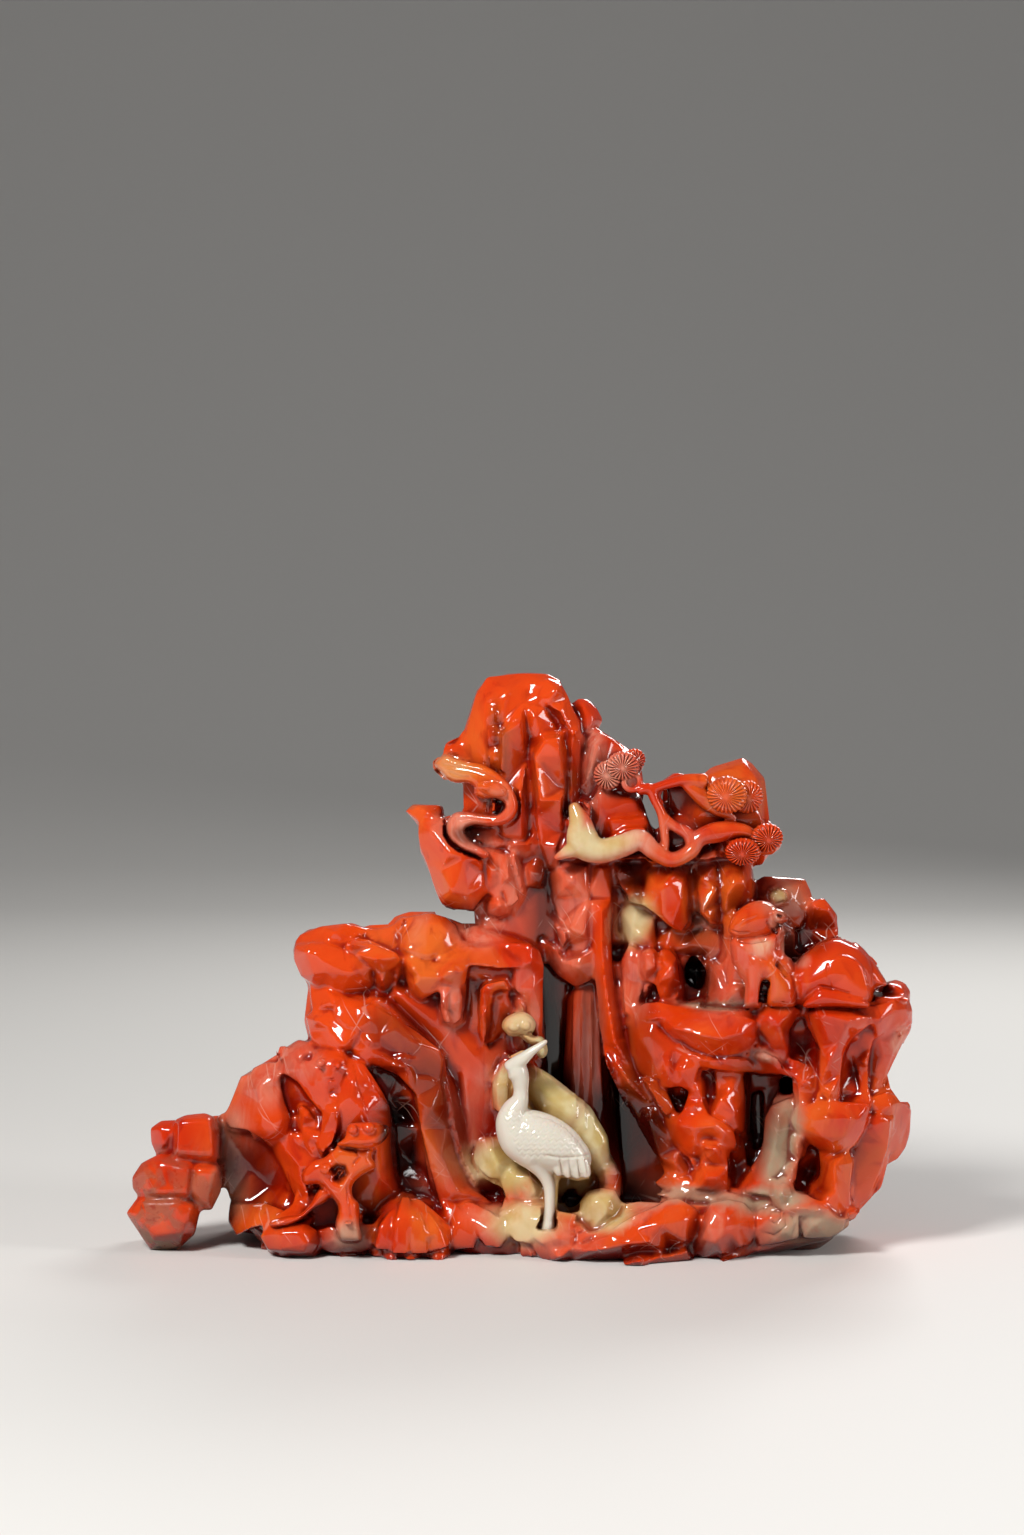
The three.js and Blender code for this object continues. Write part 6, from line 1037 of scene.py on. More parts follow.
def shelf_faces():
    """The shelf under the deer: its left mass, the lens, the brackets, their posts, capital and foot."""
    return [
        facets([(626, 1022, -12), (632, 1012, -13), (645, 1004, -15), (660, 1003, -17), (690, 1010, -20),
            (700, 1012, -21), (680, 1018, -22), (658, 1020, -21), (650, 1022, -20), (637, 1020, -16),
            (628, 1027, -13)]),
        facets([(628, 1028, -12), (637, 1020, -16), (655, 1022, -19), (660, 1033, -20), (672, 1045, -20),
            (665, 1060, -20), (660, 1080, -18), (650, 1080, -16), (640, 1075, -14), (630, 1060, -12)],
            [(640, 1040, -18.6), (650, 1036, -20.4), (654, 1060, -20.6)]),
        facets([(660, 1045, -19), (672, 1045, -20), (690, 1060, -21), (700, 1068, -21), (694, 1090, -20),
            (688, 1092, -19.4), (680, 1088, -19.6), (672, 1090, -18.6), (664, 1090, -17), (658, 1070, -18.4)],
            [(668, 1072, -21.6), (674, 1070, -19.6), (683, 1072, -22.4)]),
        facets([(657, 1022, -19), (665, 1020, -21), (690, 1013, -22), (720, 1014, -24), (745, 1017, -25),
            (757, 1022, -24), (757, 1040, -23), (748, 1052, -22), (730, 1057, -22), (712, 1056, -22),
            (695, 1050, -21), (680, 1040, -20.6), (668, 1032, -20)], [(675, 1030, -25), (700, 1036, -28),
            (724, 1040, -28.6), (742, 1035, -28), (700, 1022, -25.4), (728, 1024, -27), (735, 1018, -26.4)]),
        facets([(660, 1034, -18), (672, 1038, -19.6), (690, 1054, -21), (715, 1062, -22.6), (735, 1060, -23),
            (750, 1062, -22), (762, 1074, -19), (745, 1074, -20), (715, 1071, -21), (700, 1068, -20.6),
            (688, 1060, -20), (672, 1046, -19)], [(700, 1061, -22.4)]),
        facets([(753, 1055, -21), (765, 1053, -22.4), (778, 1060, -23), (783, 1066, -22), (776, 1069, -21),
            (762, 1064, -21)], [(766, 1060, -23.6)]),
        facets([(750, 1062, -19), (762, 1066, -20.4), (783, 1070, -22), (792, 1072, -21), (796, 1080, -20),
            (780, 1075, -20), (760, 1076, -18)]),
        facets([(758, 1012, -22), (770, 1009, -24), (797, 1008, -24), (803, 1012, -22), (797, 1020, -21),
            (790, 1032, -21), (790, 1055, -20), (786, 1062, -20), (775, 1050, -21), (764, 1035, -22),
            (757, 1024, -22.6)], [(770, 1020, -26), (779, 1026, -27), (784, 1040, -24.4), (788, 1018, -25.4)]),
        facets([(797, 1020, -18), (803, 1014, -17), (812, 1030, -18), (820, 1050, -19), (820, 1070, -19),
            (812, 1085, -19), (800, 1075, -19), (790, 1062, -19), (790, 1032, -18)], [(804, 1045, -14.6)]),
        facets([(790, 1060, -20), (800, 1062, -20), (812, 1068, -19), (820, 1075, -19.6), (819, 1095, -21),
            (808, 1108, -22), (801, 1110, -22), (799, 1090, -21), (796, 1075, -20)], [(806, 1085, -23)]),
        facets([(808, 1012, -23), (820, 1010, -26), (850, 1014, -27), (870, 1018, -26), (873, 1024, -25),
            (866, 1030, -24), (852, 1040, -23), (845, 1055, -22.6), (842, 1075, -22.6), (841, 1100, -23.4),
            (830, 1106, -24), (816, 1106, -23.6), (821, 1090, -22), (821, 1050, -22), (813, 1030, -22)],
            [(822, 1016, -29), (828, 1040, -26), (838, 1018, -30), (850, 1022, -30), (840, 1045, -26),
            (831, 1060, -26.6), (832, 1095, -26.6), (858, 1030, -27)]),
        facets([(847, 1052, -20), (856, 1040, -20), (868, 1032, -20.6), (868, 1060, -18), (866, 1095, -18),
            (848, 1100, -19), (842, 1090, -20)], [(855, 1070, -16)]),
        facets([(856, 1060, -18), (866, 1036, -20.6), (878, 1030, -20), (872, 1050, -19), (869, 1070, -18.6),
            (870, 1090, -19), (874, 1104, -20), (858, 1106, -20), (862, 1090, -19)], [(866, 1065, -21.6)]),
        facets([(840, 1010, -24), (870, 1008, -24), (895, 1002, -21), (908, 1008, -17), (911, 1020, -15),
            (905, 1027, -16), (890, 1031, -18), (878, 1040, -20), (873, 1024, -24)], [(880, 1022, -24.6),
            (900, 1012, -20.4)]),
        facets([(897, 1032, -14), (908, 1029, -12), (912, 1033, -11), (902, 1048, -12), (896, 1052, -13)],
            [(902, 1038, -15)]),
        facets([(878, 1036, -18), (897, 1032, -15), (896, 1052, -14), (889, 1072, -14), (882, 1092, -15),
            (872, 1098, -17), (876, 1075, -16), (872, 1060, -15)], [(884, 1060, -17)]),
        facets([(797, 1108, -21), (808, 1106, -23), (830, 1104, -25), (850, 1104, -24), (872, 1106, -22),
            (870, 1120, -22), (866, 1133, -22), (857, 1148, -21), (845, 1155, -21), (834, 1158, -21),
            (820, 1152, -21), (806, 1142, -21), (797, 1135, -20), (793, 1125, -20)], [(815, 1122, -27),
            (808, 1132, -25), (828, 1120, -28.6), (852, 1120, -28), (860, 1122, -26), (846, 1140, -26.6),
            (825, 1140, -27.4), (835, 1152, -24)]),
        facets([(794, 1135, -20), (803, 1138, -22), (806, 1150, -22), (800, 1165, -22), (798, 1182, -23),
            (790, 1190, -24), (778, 1192, -25), (786, 1170, -22), (793, 1152, -20)], [(798, 1150, -24.6),
            (793, 1172, -25)]),
        facets([(806, 1152, -18), (818, 1155, -17), (820, 1175, -17), (818, 1190, -19), (806, 1197, -20),
            (796, 1188, -20), (800, 1168, -19)], [(810, 1175, -14)]),
        facets([(820, 1154, -20), (834, 1159, -22), (850, 1152, -21), (855, 1165, -21), (852, 1190, -22),
            (852, 1210, -23), (843, 1220, -24), (830, 1222, -25), (818, 1212, -25), (815, 1200, -23),
            (820, 1190, -20), (822, 1170, -19)], [(836, 1168, -26), (838, 1195, -26.4), (826, 1205, -26)]),
        facets([(772, 1194, -24), (778, 1188, -26), (786, 1185, -26.6), (792, 1190, -26), (794, 1200, -26),
            (800, 1203, -27), (818, 1205, -28), (830, 1212, -28), (840, 1222, -27), (820, 1222, -28),
            (800, 1218, -28), (783, 1212, -27), (773, 1202, -25)], [(782, 1198, -29.6), (800, 1212, -30),
            (820, 1214, -30)]),
        facets([(857, 1148, -17), (866, 1134, -19), (871, 1118, -20), (880, 1117, -20), (893, 1122, -19),
            (890, 1150, -17), (882, 1175, -14), (872, 1200, -11), (860, 1210, -11), (853, 1212, -13),
            (853, 1180, -15)], [(875, 1130, -21), (872, 1165, -15.6), (862, 1190, -14)]),
        facets([(876, 1098, -18), (888, 1094, -17), (900, 1098, -14), (908, 1106, -11), (914, 1113, -8),
            (908, 1122, -9), (895, 1121, -15), (880, 1117, -19), (873, 1106, -19)], [(893, 1108, -18.6)]),
        facets([(893, 1122, -16), (905, 1118, -11), (909, 1122, -8), (900, 1152, -8), (890, 1158, -11),
            (887, 1150, -14)], [(896, 1135, -14)]),
        facets([(766, 1120, -17), (772, 1108, -18), (790, 1100, -18), (799, 1102, -18), (797, 1130, -19),
            (793, 1155, -20), (786, 1172, -22), (776, 1190, -23), (772, 1200, -24), (745, 1195, -21),
            (757, 1175, -19), (764, 1150, -18)], [(780, 1120, -21), (776, 1150, -22), (768, 1180, -23)]),
    ]


def foot_faces():
    """Under the shelf's left: posts, a capital and a cut shaft; then the pale rocks and the front boulders."""
    return [
        facets([(686, 1070, -17), (700, 1069, -18), (703, 1085, -18.6), (704, 1105, -20), (710, 1118, -21),
            (697, 1116, -22), (683, 1115, -20), (688, 1100, -18), (690, 1090, -17)], [(696, 1090, -21),
            (695, 1108, -22.6)]),
        facets([(702, 1070, -15), (714, 1071, -15), (716, 1090, -15), (713, 1110, -16), (708, 1115, -18),
            (703, 1100, -17)]),
        facets([(715, 1071, -17), (733, 1071, -18), (744, 1075, -17), (747, 1100, -16), (746, 1135, -16),
            (740, 1134, -18), (730, 1124, -20), (714, 1117, -20), (712, 1112, -18), (717, 1095, -17)],
            [(722, 1102, -21), (727, 1098, -20), (733, 1090, -18.6), (735, 1115, -20)]),
        facets([(669, 1125, -18), (683, 1114, -20), (697, 1113, -21), (712, 1118, -22), (724, 1124, -22),
            (735, 1134, -21), (738, 1145, -20), (735, 1153, -20), (722, 1147, -22), (712, 1140, -22),
            (704, 1145, -22), (700, 1158, -21), (691, 1158, -20), (682, 1150, -19), (673, 1140, -18)],
            [(683, 1127, -24), (695, 1130, -25.4), (715, 1128, -25), (725, 1135, -24), (696, 1148, -24)]),
        facets([(698, 1143, -20), (706, 1136, -21), (717, 1143, -22), (728, 1150, -21), (729, 1170, -21),
            (729, 1192, -21), (712, 1194, -23), (698, 1192, -22), (692, 1190, -21), (697, 1178, -20),
            (702, 1165, -20), (701, 1155, -20)], [(706, 1150, -25), (716, 1152, -25.6), (708, 1180, -25.4),
            (718, 1180, -25)]),
        facets([(728, 1150, -18), (738, 1150, -17), (744, 1138, -15), (748, 1160, -14), (748, 1180, -15),
            (738, 1192, -18), (729, 1193, -19)], [(736, 1170, -14)]),
        facets([(655, 1186, -16), (668, 1176, -17), (690, 1183, -20), (698, 1192, -21), (680, 1194, -20),
            (662, 1192, -17)]),
        facets([(655, 1197, -19), (690, 1195, -21), (735, 1196, -22), (752, 1205, -23), (762, 1215, -24),
            (735, 1208, -24), (700, 1204, -22), (670, 1202, -21)]),
        facets([(752, 1205, -22), (775, 1205, -24), (790, 1215, -27), (803, 1220, -28), (800, 1242, -27),
            (780, 1247, -26), (760, 1250, -25), (758, 1235, -26), (756, 1220, -25)], [(772, 1222, -28),
            (786, 1235, -28.6)]),
        facets([(803, 1220, -27), (825, 1222, -28), (848, 1222, -26), (845, 1234, -24), (832, 1242, -24),
            (805, 1242, -26)], [(818, 1228, -28.6)]),
        facets([(531, 1245, -26), (540, 1243, -28), (555, 1256, -31), (572, 1252, -31), (590, 1247, -31),
            (610, 1235, -31), (625, 1225, -31), (640, 1217, -31), (657, 1210, -30), (668, 1203, -29),
            (680, 1202, -28), (697, 1212, -27), (703, 1222, -26), (700, 1238, -26), (690, 1250, -26),
            (672, 1255, -27), (650, 1258, -28), (620, 1265, -28), (570, 1266, -28), (545, 1266, -27),
            (536, 1258, -26)], [(560, 1262, -33), (590, 1255, -34.6), (612, 1240, -34), (640, 1232, -35),
            (660, 1228, -36), (650, 1240, -35), (612, 1252, -35), (630, 1248, -35.6), (650, 1246, -36),
            (690, 1222, -32), (686, 1245, -31.4), (660, 1252, -32.6)]),
        facets([(705, 1220, -27), (712, 1206, -27), (730, 1203, -27), (745, 1206, -26), (757, 1218, -25),
            (760, 1235, -25), (752, 1248, -25), (735, 1256, -26), (722, 1262, -26), (705, 1262, -26),
            (693, 1256, -26), (697, 1248, -27), (701, 1238, -27)], [(715, 1216, -32), (728, 1220, -33),
            (703, 1243, -31), (717, 1247, -33.6), (725, 1232, -34), (731, 1236, -33), (740, 1228, -31),
            (742, 1250, -29.6), (724, 1258, -30), (709, 1230, -33)]),
        facets([(455, 1207, -17), (470, 1205, -19), (490, 1215, -21), (505, 1225, -22), (510, 1240, -23),
            (500, 1252, -24), (485, 1250, -24), (478, 1240, -24), (470, 1222, -22), (462, 1213, -19)],
            [(488, 1232, -24.6)]),
        facets([(440, 1206, -18), (456, 1208, -19), (468, 1222, -22), (477, 1242, -23), (474, 1252, -23),
            (452, 1254, -23), (450, 1232, -22)], [(458, 1228, -23)]),
        facets([(473, 1158, -14), (478, 1148, -15), (490, 1141, -16), (502, 1143, -16), (512, 1152, -17),
            (523, 1157, -18), (530, 1165, -18), (512, 1170, -19), (500, 1182, -19), (490, 1182, -18),
            (482, 1175, -17), (476, 1167, -15)], [(490, 1152, -20), (498, 1168, -21)]),
        facets([(500, 1172, -18), (515, 1168, -19), (530, 1168, -19), (540, 1178, -19), (544, 1190, -20),
            (540, 1203, -21), (525, 1206, -21), (508, 1206, -20), (504, 1195, -19), (500, 1184, -18)],
            [(515, 1180, -22), (530, 1180, -22.4), (535, 1196, -22.6)]),
        facets([(500, 1215, -20), (520, 1208, -22), (545, 1208, -24), (560, 1215, -25), (578, 1218, -25),
            (575, 1230, -26), (560, 1236, -27), (535, 1238, -27), (530, 1248, -27), (515, 1245, -25),
            (505, 1232, -23)], [(530, 1222, -26), (552, 1225, -28)]),
        facets([(530, 1238, -27), (545, 1230, -28), (562, 1232, -28), (575, 1238, -29), (573, 1250, -30),
            (555, 1255, -30), (540, 1247, -29)], [(555, 1242, -31.4)]),
        facets([(580, 1205, -20), (588, 1194, -21), (602, 1191, -22), (616, 1193, -22), (622, 1207, -22),
            (620, 1219, -23), (608, 1226, -25), (592, 1234, -26), (584, 1226, -24), (580, 1215, -22)],
            [(594, 1205, -26), (610, 1203, -26), (606, 1218, -27)]),
        crystal([(606, 1160, -12, 8, 2), (610, 1180, -16, 13, 4), (612, 1200, -16, 10, 3)], sides=7),
        crystal([(524, 1068, -11, 8, 2), (536, 1086, -14.6, 18, 4), (552, 1104, -15.6, 22, 4),
            (574, 1124, -16, 24, 4.4), (594, 1148, -15.6, 18, 4.4), (604, 1174, -14, 10, 3)], sides=8, spin=10),
        crystal([(506, 1066, -11, 6, 2), (502, 1088, -14, 11, 3.4), (503, 1112, -14, 10, 3.4)], sides=6),
    ]


def rock_parts():
    """The finer rock forms that stand before the frame's solid."""
    groups = (summit_faces, overhang_faces, cliff_faces, plateau_faces, left_faces, shelf_faces, foot_faces)
    return [part for group in groups for part in group()]


# Edges of the rock that turn by more degrees than this stay sharp.
ROCK_CREASE = 34

# Narrow notches in the outline, as wedges that run from before the front to behind the back.
NOTCH_OVERRUN = 8
NOTCHES = [
    [(434, 911), (443, 907), (455, 911), (474, 912), (475, 924), (462, 924), (452, 920), (443, 917),
        (436, 915)],
    [(904, 1045), (893, 1068), (889, 1077), (892, 1090), (902, 1104), (925, 1104), (925, 1045)],
    [(366, 926), (388, 925), (394, 918), (402, 913), (400, 905), (366, 915)],
    [(444, 744), (452, 740), (459, 737), (463, 731), (455, 726), (440, 738)],
]


# Strokes of the graver: (points, half width in pixels, height in millimetres, nearest depth, farthest depth).
ROCK_STROKES = [
    ([(575, 990), (574, 1060), (577, 1140)], 1.6, 0.35, -20, 4),
    ([(583, 984), (583, 1060), (585, 1140)], 1.6, 0.35, -20, 4),
    ([(591, 984), (592, 1060), (594, 1130)], 1.6, 0.35, -20, 4),
    ([(598, 995), (600, 1060), (603, 1110)], 1.6, 0.3, -20, 4),
    ([(326, 1082), (334, 1082)], 1.3, -0.5, -32, -20),
    ([(312, 1065), (319, 1059), (327, 1065), (319, 1072), (312, 1065)], 1.0, -0.3, -32, -20),
    ([(331, 1067), (337, 1061), (343, 1067), (337, 1073), (331, 1067)], 1.0, -0.3, -32, -20),
    ([(352, 1062), (358, 1086), (367, 1113)], 1.2, -0.3, -32, -18),
    ([(363, 1071), (371, 1088), (389, 1112)], 1.2, 0.3, -32, -18),
    ([(768, 1222), (773, 1214), (781, 1214), (783, 1222), (776, 1228), (770, 1224)], 1.2, -0.35, -32, -12),
    ([(760, 1214), (772, 1208), (786, 1216), (788, 1230), (776, 1240), (764, 1236)], 1.2, -0.3, -32, -12),
    ([(792, 1218), (798, 1228), (794, 1242)], 1.3, -0.3, -32, -12),
    ([(802, 1219), (803, 1241)], 1.5, -0.5, -32, -12),
    ([(770, 894), (778, 888), (788, 892), (787, 902), (777, 904)], 1.2, -0.4, -16, -4),
]


def crane_parts():
    """The crane: head drawn into the beak, S-curved neck, egg-shaped body, wing tip, tail tufts and one leg."""
    y = -23.5
    return [
        strand([(509, 1067, y - 0.6, 5, 1.9), (516, 1072, y - 0.6, 11, 2.9), (520, 1080, y - 0.4, 9.5, 2.8),
            (521, 1092, y, 7.6, 2.7), (520, 1102, y, 9, 3.2), (515, 1113, y, 14, 4.2), (513, 1126, y, 18, 5.2),
            (520, 1140, y, 22, 5.8), (532, 1150, y, 22, 5.6)], sides=36, steps=90, blunt=1.0),
        pebble((545, 1144, y), (47, 27, 6.6), turn=-28, sides=56, rings=40),
        pebble((568, 1158, y + 0.2), (26, 21, 5.4), turn=-38, sides=40, rings=28),
        strand([(511, 1068, y - 0.8, 7, 2.3), (521, 1062, y - 1.4, 7, 2.1), (532, 1053, y - 2, 4.6, 1.5),
            (546, 1043, y - 2.4, 2.4, 0.9)], blunt=0.8),
        strand([(533, 1160, y, 14, 4.4), (543, 1174, y, 9, 3), (549, 1188, y, 6.4, 2.2), (550, 1206, y, 5.4, 2),
            (549, 1222, y, 6, 2.2), (548, 1233, y, 8, 3), (547, 1240, y + 1, 10, 3.4)]),
    ] + [strand([(x, 1160, y - 1.6, 6, 3), (x + 3, 1170, y - 2.2, 5.8, 2.6), (x + 5, down, y - 2.2, 4.6, 2)])
         for x, down in ((555, 1176), (564, 1178), (573, 1179), (582, 1178))]


# Wing edge, back edge, and rows of short scallops for the feathers.
CRANE_STROKES = [
    ([(545, 1158), (560, 1161), (576, 1160), (591, 1157)], 1.3, -0.35, -40, -20),
    ([(534, 1117), (552, 1121), (567, 1130), (580, 1144), (589, 1158)], 1.4, -0.22, -40, -20),
    ([(560, 1162), (563, 1178)], 1.1, -0.4, -40, -20),
    ([(569, 1162), (572, 1181)], 1.1, -0.4, -40, -20),
    ([(578, 1162), (581, 1181)], 1.1, -0.4, -40, -20),
    ([(586, 1161), (589, 1178)], 1.1, -0.35, -40, -20),
] + [([(x, y), (x + 3, y + 3.4), (x + 6, y)], 0.8, -0.13, -40, -22)
     for row, y in enumerate(range(1112, 1160, 5))
     for x in range(500 + 2 * row + 3 * (row % 2), 576 + 3 * (row % 2), 7)]


def deer_parts():
    """The deer lying down: rump, haunch and folded leg, chest, two forelegs, neck, long head, ear and tail."""
    y = -18
    return [
        puff([(797, 962), (806, 953), (816, 945), (827, 940), (840, 939), (852, 943), (863, 950), (871, 960),
            (875, 972), (875, 992), (871, 1007), (840, 1010), (812, 1010), (796, 1007), (787, 992), (787, 974)],
            y, 10.5, 46, 12),
        puff([(855, 943), (864, 949), (873, 960), (881, 972), (888, 985), (880, 990), (872, 992), (866, 976),
            (860, 958)], y + 1, 4.6, 14, 8),
        puff([(829, 962), (838, 956), (850, 957), (861, 964), (868, 976), (871, 996), (862, 1004), (846, 1003),
            (834, 995), (828, 978)], y - 8.4, 1.6, 28, 8),
        puff([(805, 1009), (812, 995), (822, 988), (836, 990), (850, 995), (867, 1000), (869, 1009),
            (840, 1010)], y - 7.6, 3.6, 13, 8),
        puff([(730, 944), (738, 936), (756, 934), (770, 932), (780, 925), (786, 930), (784, 942), (785, 954),
            (793, 961), (799, 974), (797, 988), (784, 996), (768, 992), (752, 990), (740, 978), (732, 962)],
            y - 2.2, 5.6, 20, 9),
        puff([(746, 1010), (746, 986), (744, 966), (748, 955), (757, 949), (766, 954), (769, 972), (765, 990),
            (763, 1010)], y - 4.4, 4.0, 11, 8),
        puff([(766, 962), (776, 960), (788, 968), (796, 980), (799, 994), (796, 1008), (780, 1010), (767, 1006),
            (766, 986)], y - 4.6, 4.8, 15, 8),
        puff([(729, 933), (730, 925), (734, 916), (741, 909), (751, 903), (763, 901), (773, 905), (779, 912),
            (781, 921), (776, 931), (766, 937), (750, 940), (735, 939)], y - 3.6, 5.0, 22, 7,
            lean=(0.035, 0.0)),
        puff([(771, 913), (777, 909), (785, 912), (789, 919), (784, 924), (775, 922)], y - 7.4, 1.8, 4, 4),
    ]


DEER_STROKES = [
    ([(829, 964), (828, 976), (833, 990)], 1.2, -0.2, -40, -18),
    ([(866, 970), (870, 984), (872, 998)], 1.4, -0.5, -40, -14),
    ([(820, 987), (836, 990), (852, 995)], 1.2, -0.4, -40, -18),
    ([(777, 916), (783, 918)], 2.2, -1.3, -40, -18),
    ([(768, 921), (771, 929), (777, 933)], 1.5, -0.5, -40, -16),
    ([(731, 931), (740, 934), (750, 933)], 1.0, -0.4, -40, -16),
    ([(734, 928), (745, 920), (758, 915)], 1.2, 0.35, -40, -16),
    ([(738, 941), (752, 943), (768, 940)], 1.5, -0.5, -40, -16),
    ([(778, 962), (785, 969), (790, 977)], 3.0, -1.8, -40, -16),
    ([(767, 982), (765, 992), (763, 1006)], 2.6, -2.0, -40, -14),
    ([(779, 926), (784, 934), (783, 946), (784, 956), (794, 962)], 1.6, 0.7, -40, -12),
    ([(776, 930), (779, 940), (778, 952)], 1.8, -0.5, -40, -14),
    ([(750, 955), (760, 958), (768, 962)], 1.3, -0.3, -40, -16),
]


def pine_branches():
    """The pine's trunk and branches: the pale trunk, the lower loop, the upper stem, the loops and twigs."""
    y = -15
    return [
        strand([(574, 806, y, 6, 2.2), (580, 822, y - 0.6, 12, 3.4), (584, 842, y - 1, 17, 4),
            (600, 851, y - 1.4, 13, 3.6), (622, 846, y - 1.6, 12, 3.4), (640, 840, y - 1.6, 11, 3.2),
            (655, 852, y - 1.6, 9, 3), (672, 860, y - 1.6, 8, 2.8), (690, 852, y - 1.4, 8, 2.6),
            (700, 838, y - 1, 9, 2.6), (720, 832, y - 0.5, 11, 2.8), (742, 831, y + 0.4, 8, 2.6),
            (757, 838, y + 1, 6, 2.2)], sides=24, steps=120),
        strand([(556, 858, y, 3, 1.4), (568, 852, y - 0.6, 7, 2.2), (580, 846, y - 1, 11, 3)]),
        strand([(665, 853, y - 1, 4, 1.6), (665, 838, y - 1, 5, 1.8), (662, 815, y - 1, 5, 1.8),
            (655, 800, y - 1, 5, 1.9), (650, 789, y - 1, 6, 2), (640, 790, y - 1, 4.4, 1.8)]),
        strand([(650, 790, y - 1, 5, 1.8), (664, 785, y - 1, 5, 1.8), (684, 780, y - 1, 6, 2),
            (704, 781, y - 0.5, 8, 2.4)]),
        strand([(662, 815, y - 1, 5, 1.8), (674, 826, y - 1, 5.5, 1.8), (688, 834, y - 1, 7, 2.2),
            (694, 846, y - 1.2, 8, 2.4)]),
        strand([(632 + 8 * math.cos(a), 782 + 8 * math.sin(a), y - 1, 3.2,
            1.2) for a in np.linspace(0.4, 0.4 + 2 * math.pi * 0.97, 12)], steps=60),
        strand([(682, 782, y - 0.5, 4, 1.8), (694, 790, y - 0.4, 8, 2.4), (706, 799, y, 10, 2.4),
            (718, 808, y + 0.6, 9, 2.2), (734, 818, y + 1.6, 4, 1.6)]),
    ]


def pine_pads():
    """The pine's seven needle pads, pale ones by the summit and red ones by the right peak."""
    return [
        needle_pad((608, 775, -15.2), 15, 2.0, 20, 0.95, (-14, 8)),
        needle_pad((623, 766, -16.6), 17, 2.2, 22, 1.0, (-4, 12), squash=0.9),
        needle_pad((634, 760, -14.2), 12, 1.8, 18, 0.8, (18, 12)),
        needle_pad((727, 795, -17.2), 21, 2.5, 26, 0.65, (-8, 8), squash=0.92),
        needle_pad((747, 797, -14.4), 17, 2.1, 22, 0.6, (14, 6)),
        needle_pad((767, 838, -15.8), 17, 2.2, 22, 0.95, (10, 12), squash=0.9),
        needle_pad((743, 852, -18.2), 18, 2.3, 24, 0.95, (-6, 14), squash=0.8),
    ]


def cloud_parts():
    """The scrolling cloud: a flat band that swings out to the right, rolls in and trails to the left."""
    return [
        puff([(434, 765), (440, 757), (447, 754), (456, 758), (470, 762), (484, 765), (498, 773), (509, 783),
            (516, 796), (518, 808), (513, 819), (503, 825), (488, 826), (474, 825), (465, 830), (470, 839),
            (480, 846), (489, 853), (485, 859), (474, 855), (459, 849), (449, 840), (446, 829), (449, 818),
            (457, 812), (470, 812), (484, 814), (497, 814), (504, 808), (502, 802), (494, 799), (482, 799),
            (474, 794), (474, 787), (466, 783), (455, 783), (444, 777)], -13.4, 2.6, 6, 6,
            lean=(-0.075, -0.012)),
        pebble((492, 789, -18.6), (16, 7.4, 1.9), turn=-14),
        pebble((486, 787, -20), (6, 4.4, 1.0), turn=-14),
    ]


CLOUD_STROKES = [
    ([(441, 764), (455, 767), (470, 769), (486, 774), (499, 782), (508, 795), (510, 808), (504, 817),
        (488, 820), (470, 818), (457, 820), (453, 830), (460, 841), (474, 849)], 2.0, -0.22, -30, -8),
    ([(476, 797), (488, 802), (500, 803), (506, 808)], 1.8, -0.25, -30, -8),
    ([(448, 772), (460, 777), (470, 778)], 1.6, -0.25, -30, -8),
]


def fungus_parts():
    """The lingzhi on the left: a boat-shaped cap with two bumps, a lobed second cap, and joined stems."""
    y = -27
    return [
        puff([(336, 1148), (344, 1140), (347, 1128), (358, 1125), (375, 1125), (388, 1129), (388, 1137),
            (382, 1145), (372, 1150), (356, 1151)], y - 3.4, 3.0, 8, 7, lean=(0.0, -0.05)),
        pebble((352, 1132, y - 6.4), (5, 5, 1.7)),
        pebble((368, 1130, y - 6.6), (6.4, 5, 1.8)),
        puff([(336, 1149), (350, 1150), (371, 1151), (371, 1160), (375, 1170), (362, 1178), (352, 1188),
            (352, 1200), (358, 1208), (359, 1230), (360, 1246), (340, 1246), (334, 1230), (337, 1212),
            (330, 1200), (318, 1188), (304, 1188), (300, 1180), (303, 1172), (312, 1164), (324, 1160)], y, 3.6,
            8, 7),
        puff([(320, 1188), (331, 1198), (324, 1206), (313, 1212), (302, 1222), (288, 1230), (272, 1232),
            (268, 1226), (284, 1220), (298, 1218), (309, 1208), (314, 1198)], y + 1, 3, 6, 7),
        pebble((325, 1172, y - 4), (6.4, 5.6, 1.5)),
    ]


FUNGUS_STROKES = [
    ([(345, 1148), (360, 1149), (374, 1147)], 1.3, -0.5, -40, -20),
    ([(354, 1152), (358, 1160), (352, 1168)], 1.3, -0.4, -40, -20),
    ([(331, 1180), (336, 1171), (342, 1172), (344, 1178), (338, 1184), (331, 1181)], 3.2, -2.4, -40, -16),
    ([(336, 1177), (339, 1179)], 5.0, -2.6, -40, -16),
    ([(314, 1190), (322, 1192)], 1.3, -0.5, -40, -16),
    ([(346, 1188), (348, 1204), (350, 1222)], 1.4, -0.4, -40, -16),
]


def held_parts():
    """The lingzhi in the crane's beak: a domed cap, its stem, and a leaf at the beak's tip."""
    y = -18.4
    return [
        puff([(502, 1030), (503, 1022), (510, 1016), (522, 1013), (531, 1017), (536, 1025), (533, 1034),
            (526, 1036), (518, 1038), (508, 1037)], y - 0.6, 3.4, 10, 6),
        puff([(518, 1036), (527, 1032), (532, 1037), (542, 1038), (546, 1044), (548, 1051), (546, 1058),
            (540, 1060), (536, 1054), (538, 1047), (530, 1046), (524, 1042)], y - 0.4, 2.6, 5, 6),
        pebble((514, 1028, y - 3.8), (6, 5, 1.2)),
        pebble((526, 1027, y - 3.8), (5, 5, 1.2)),
    ]


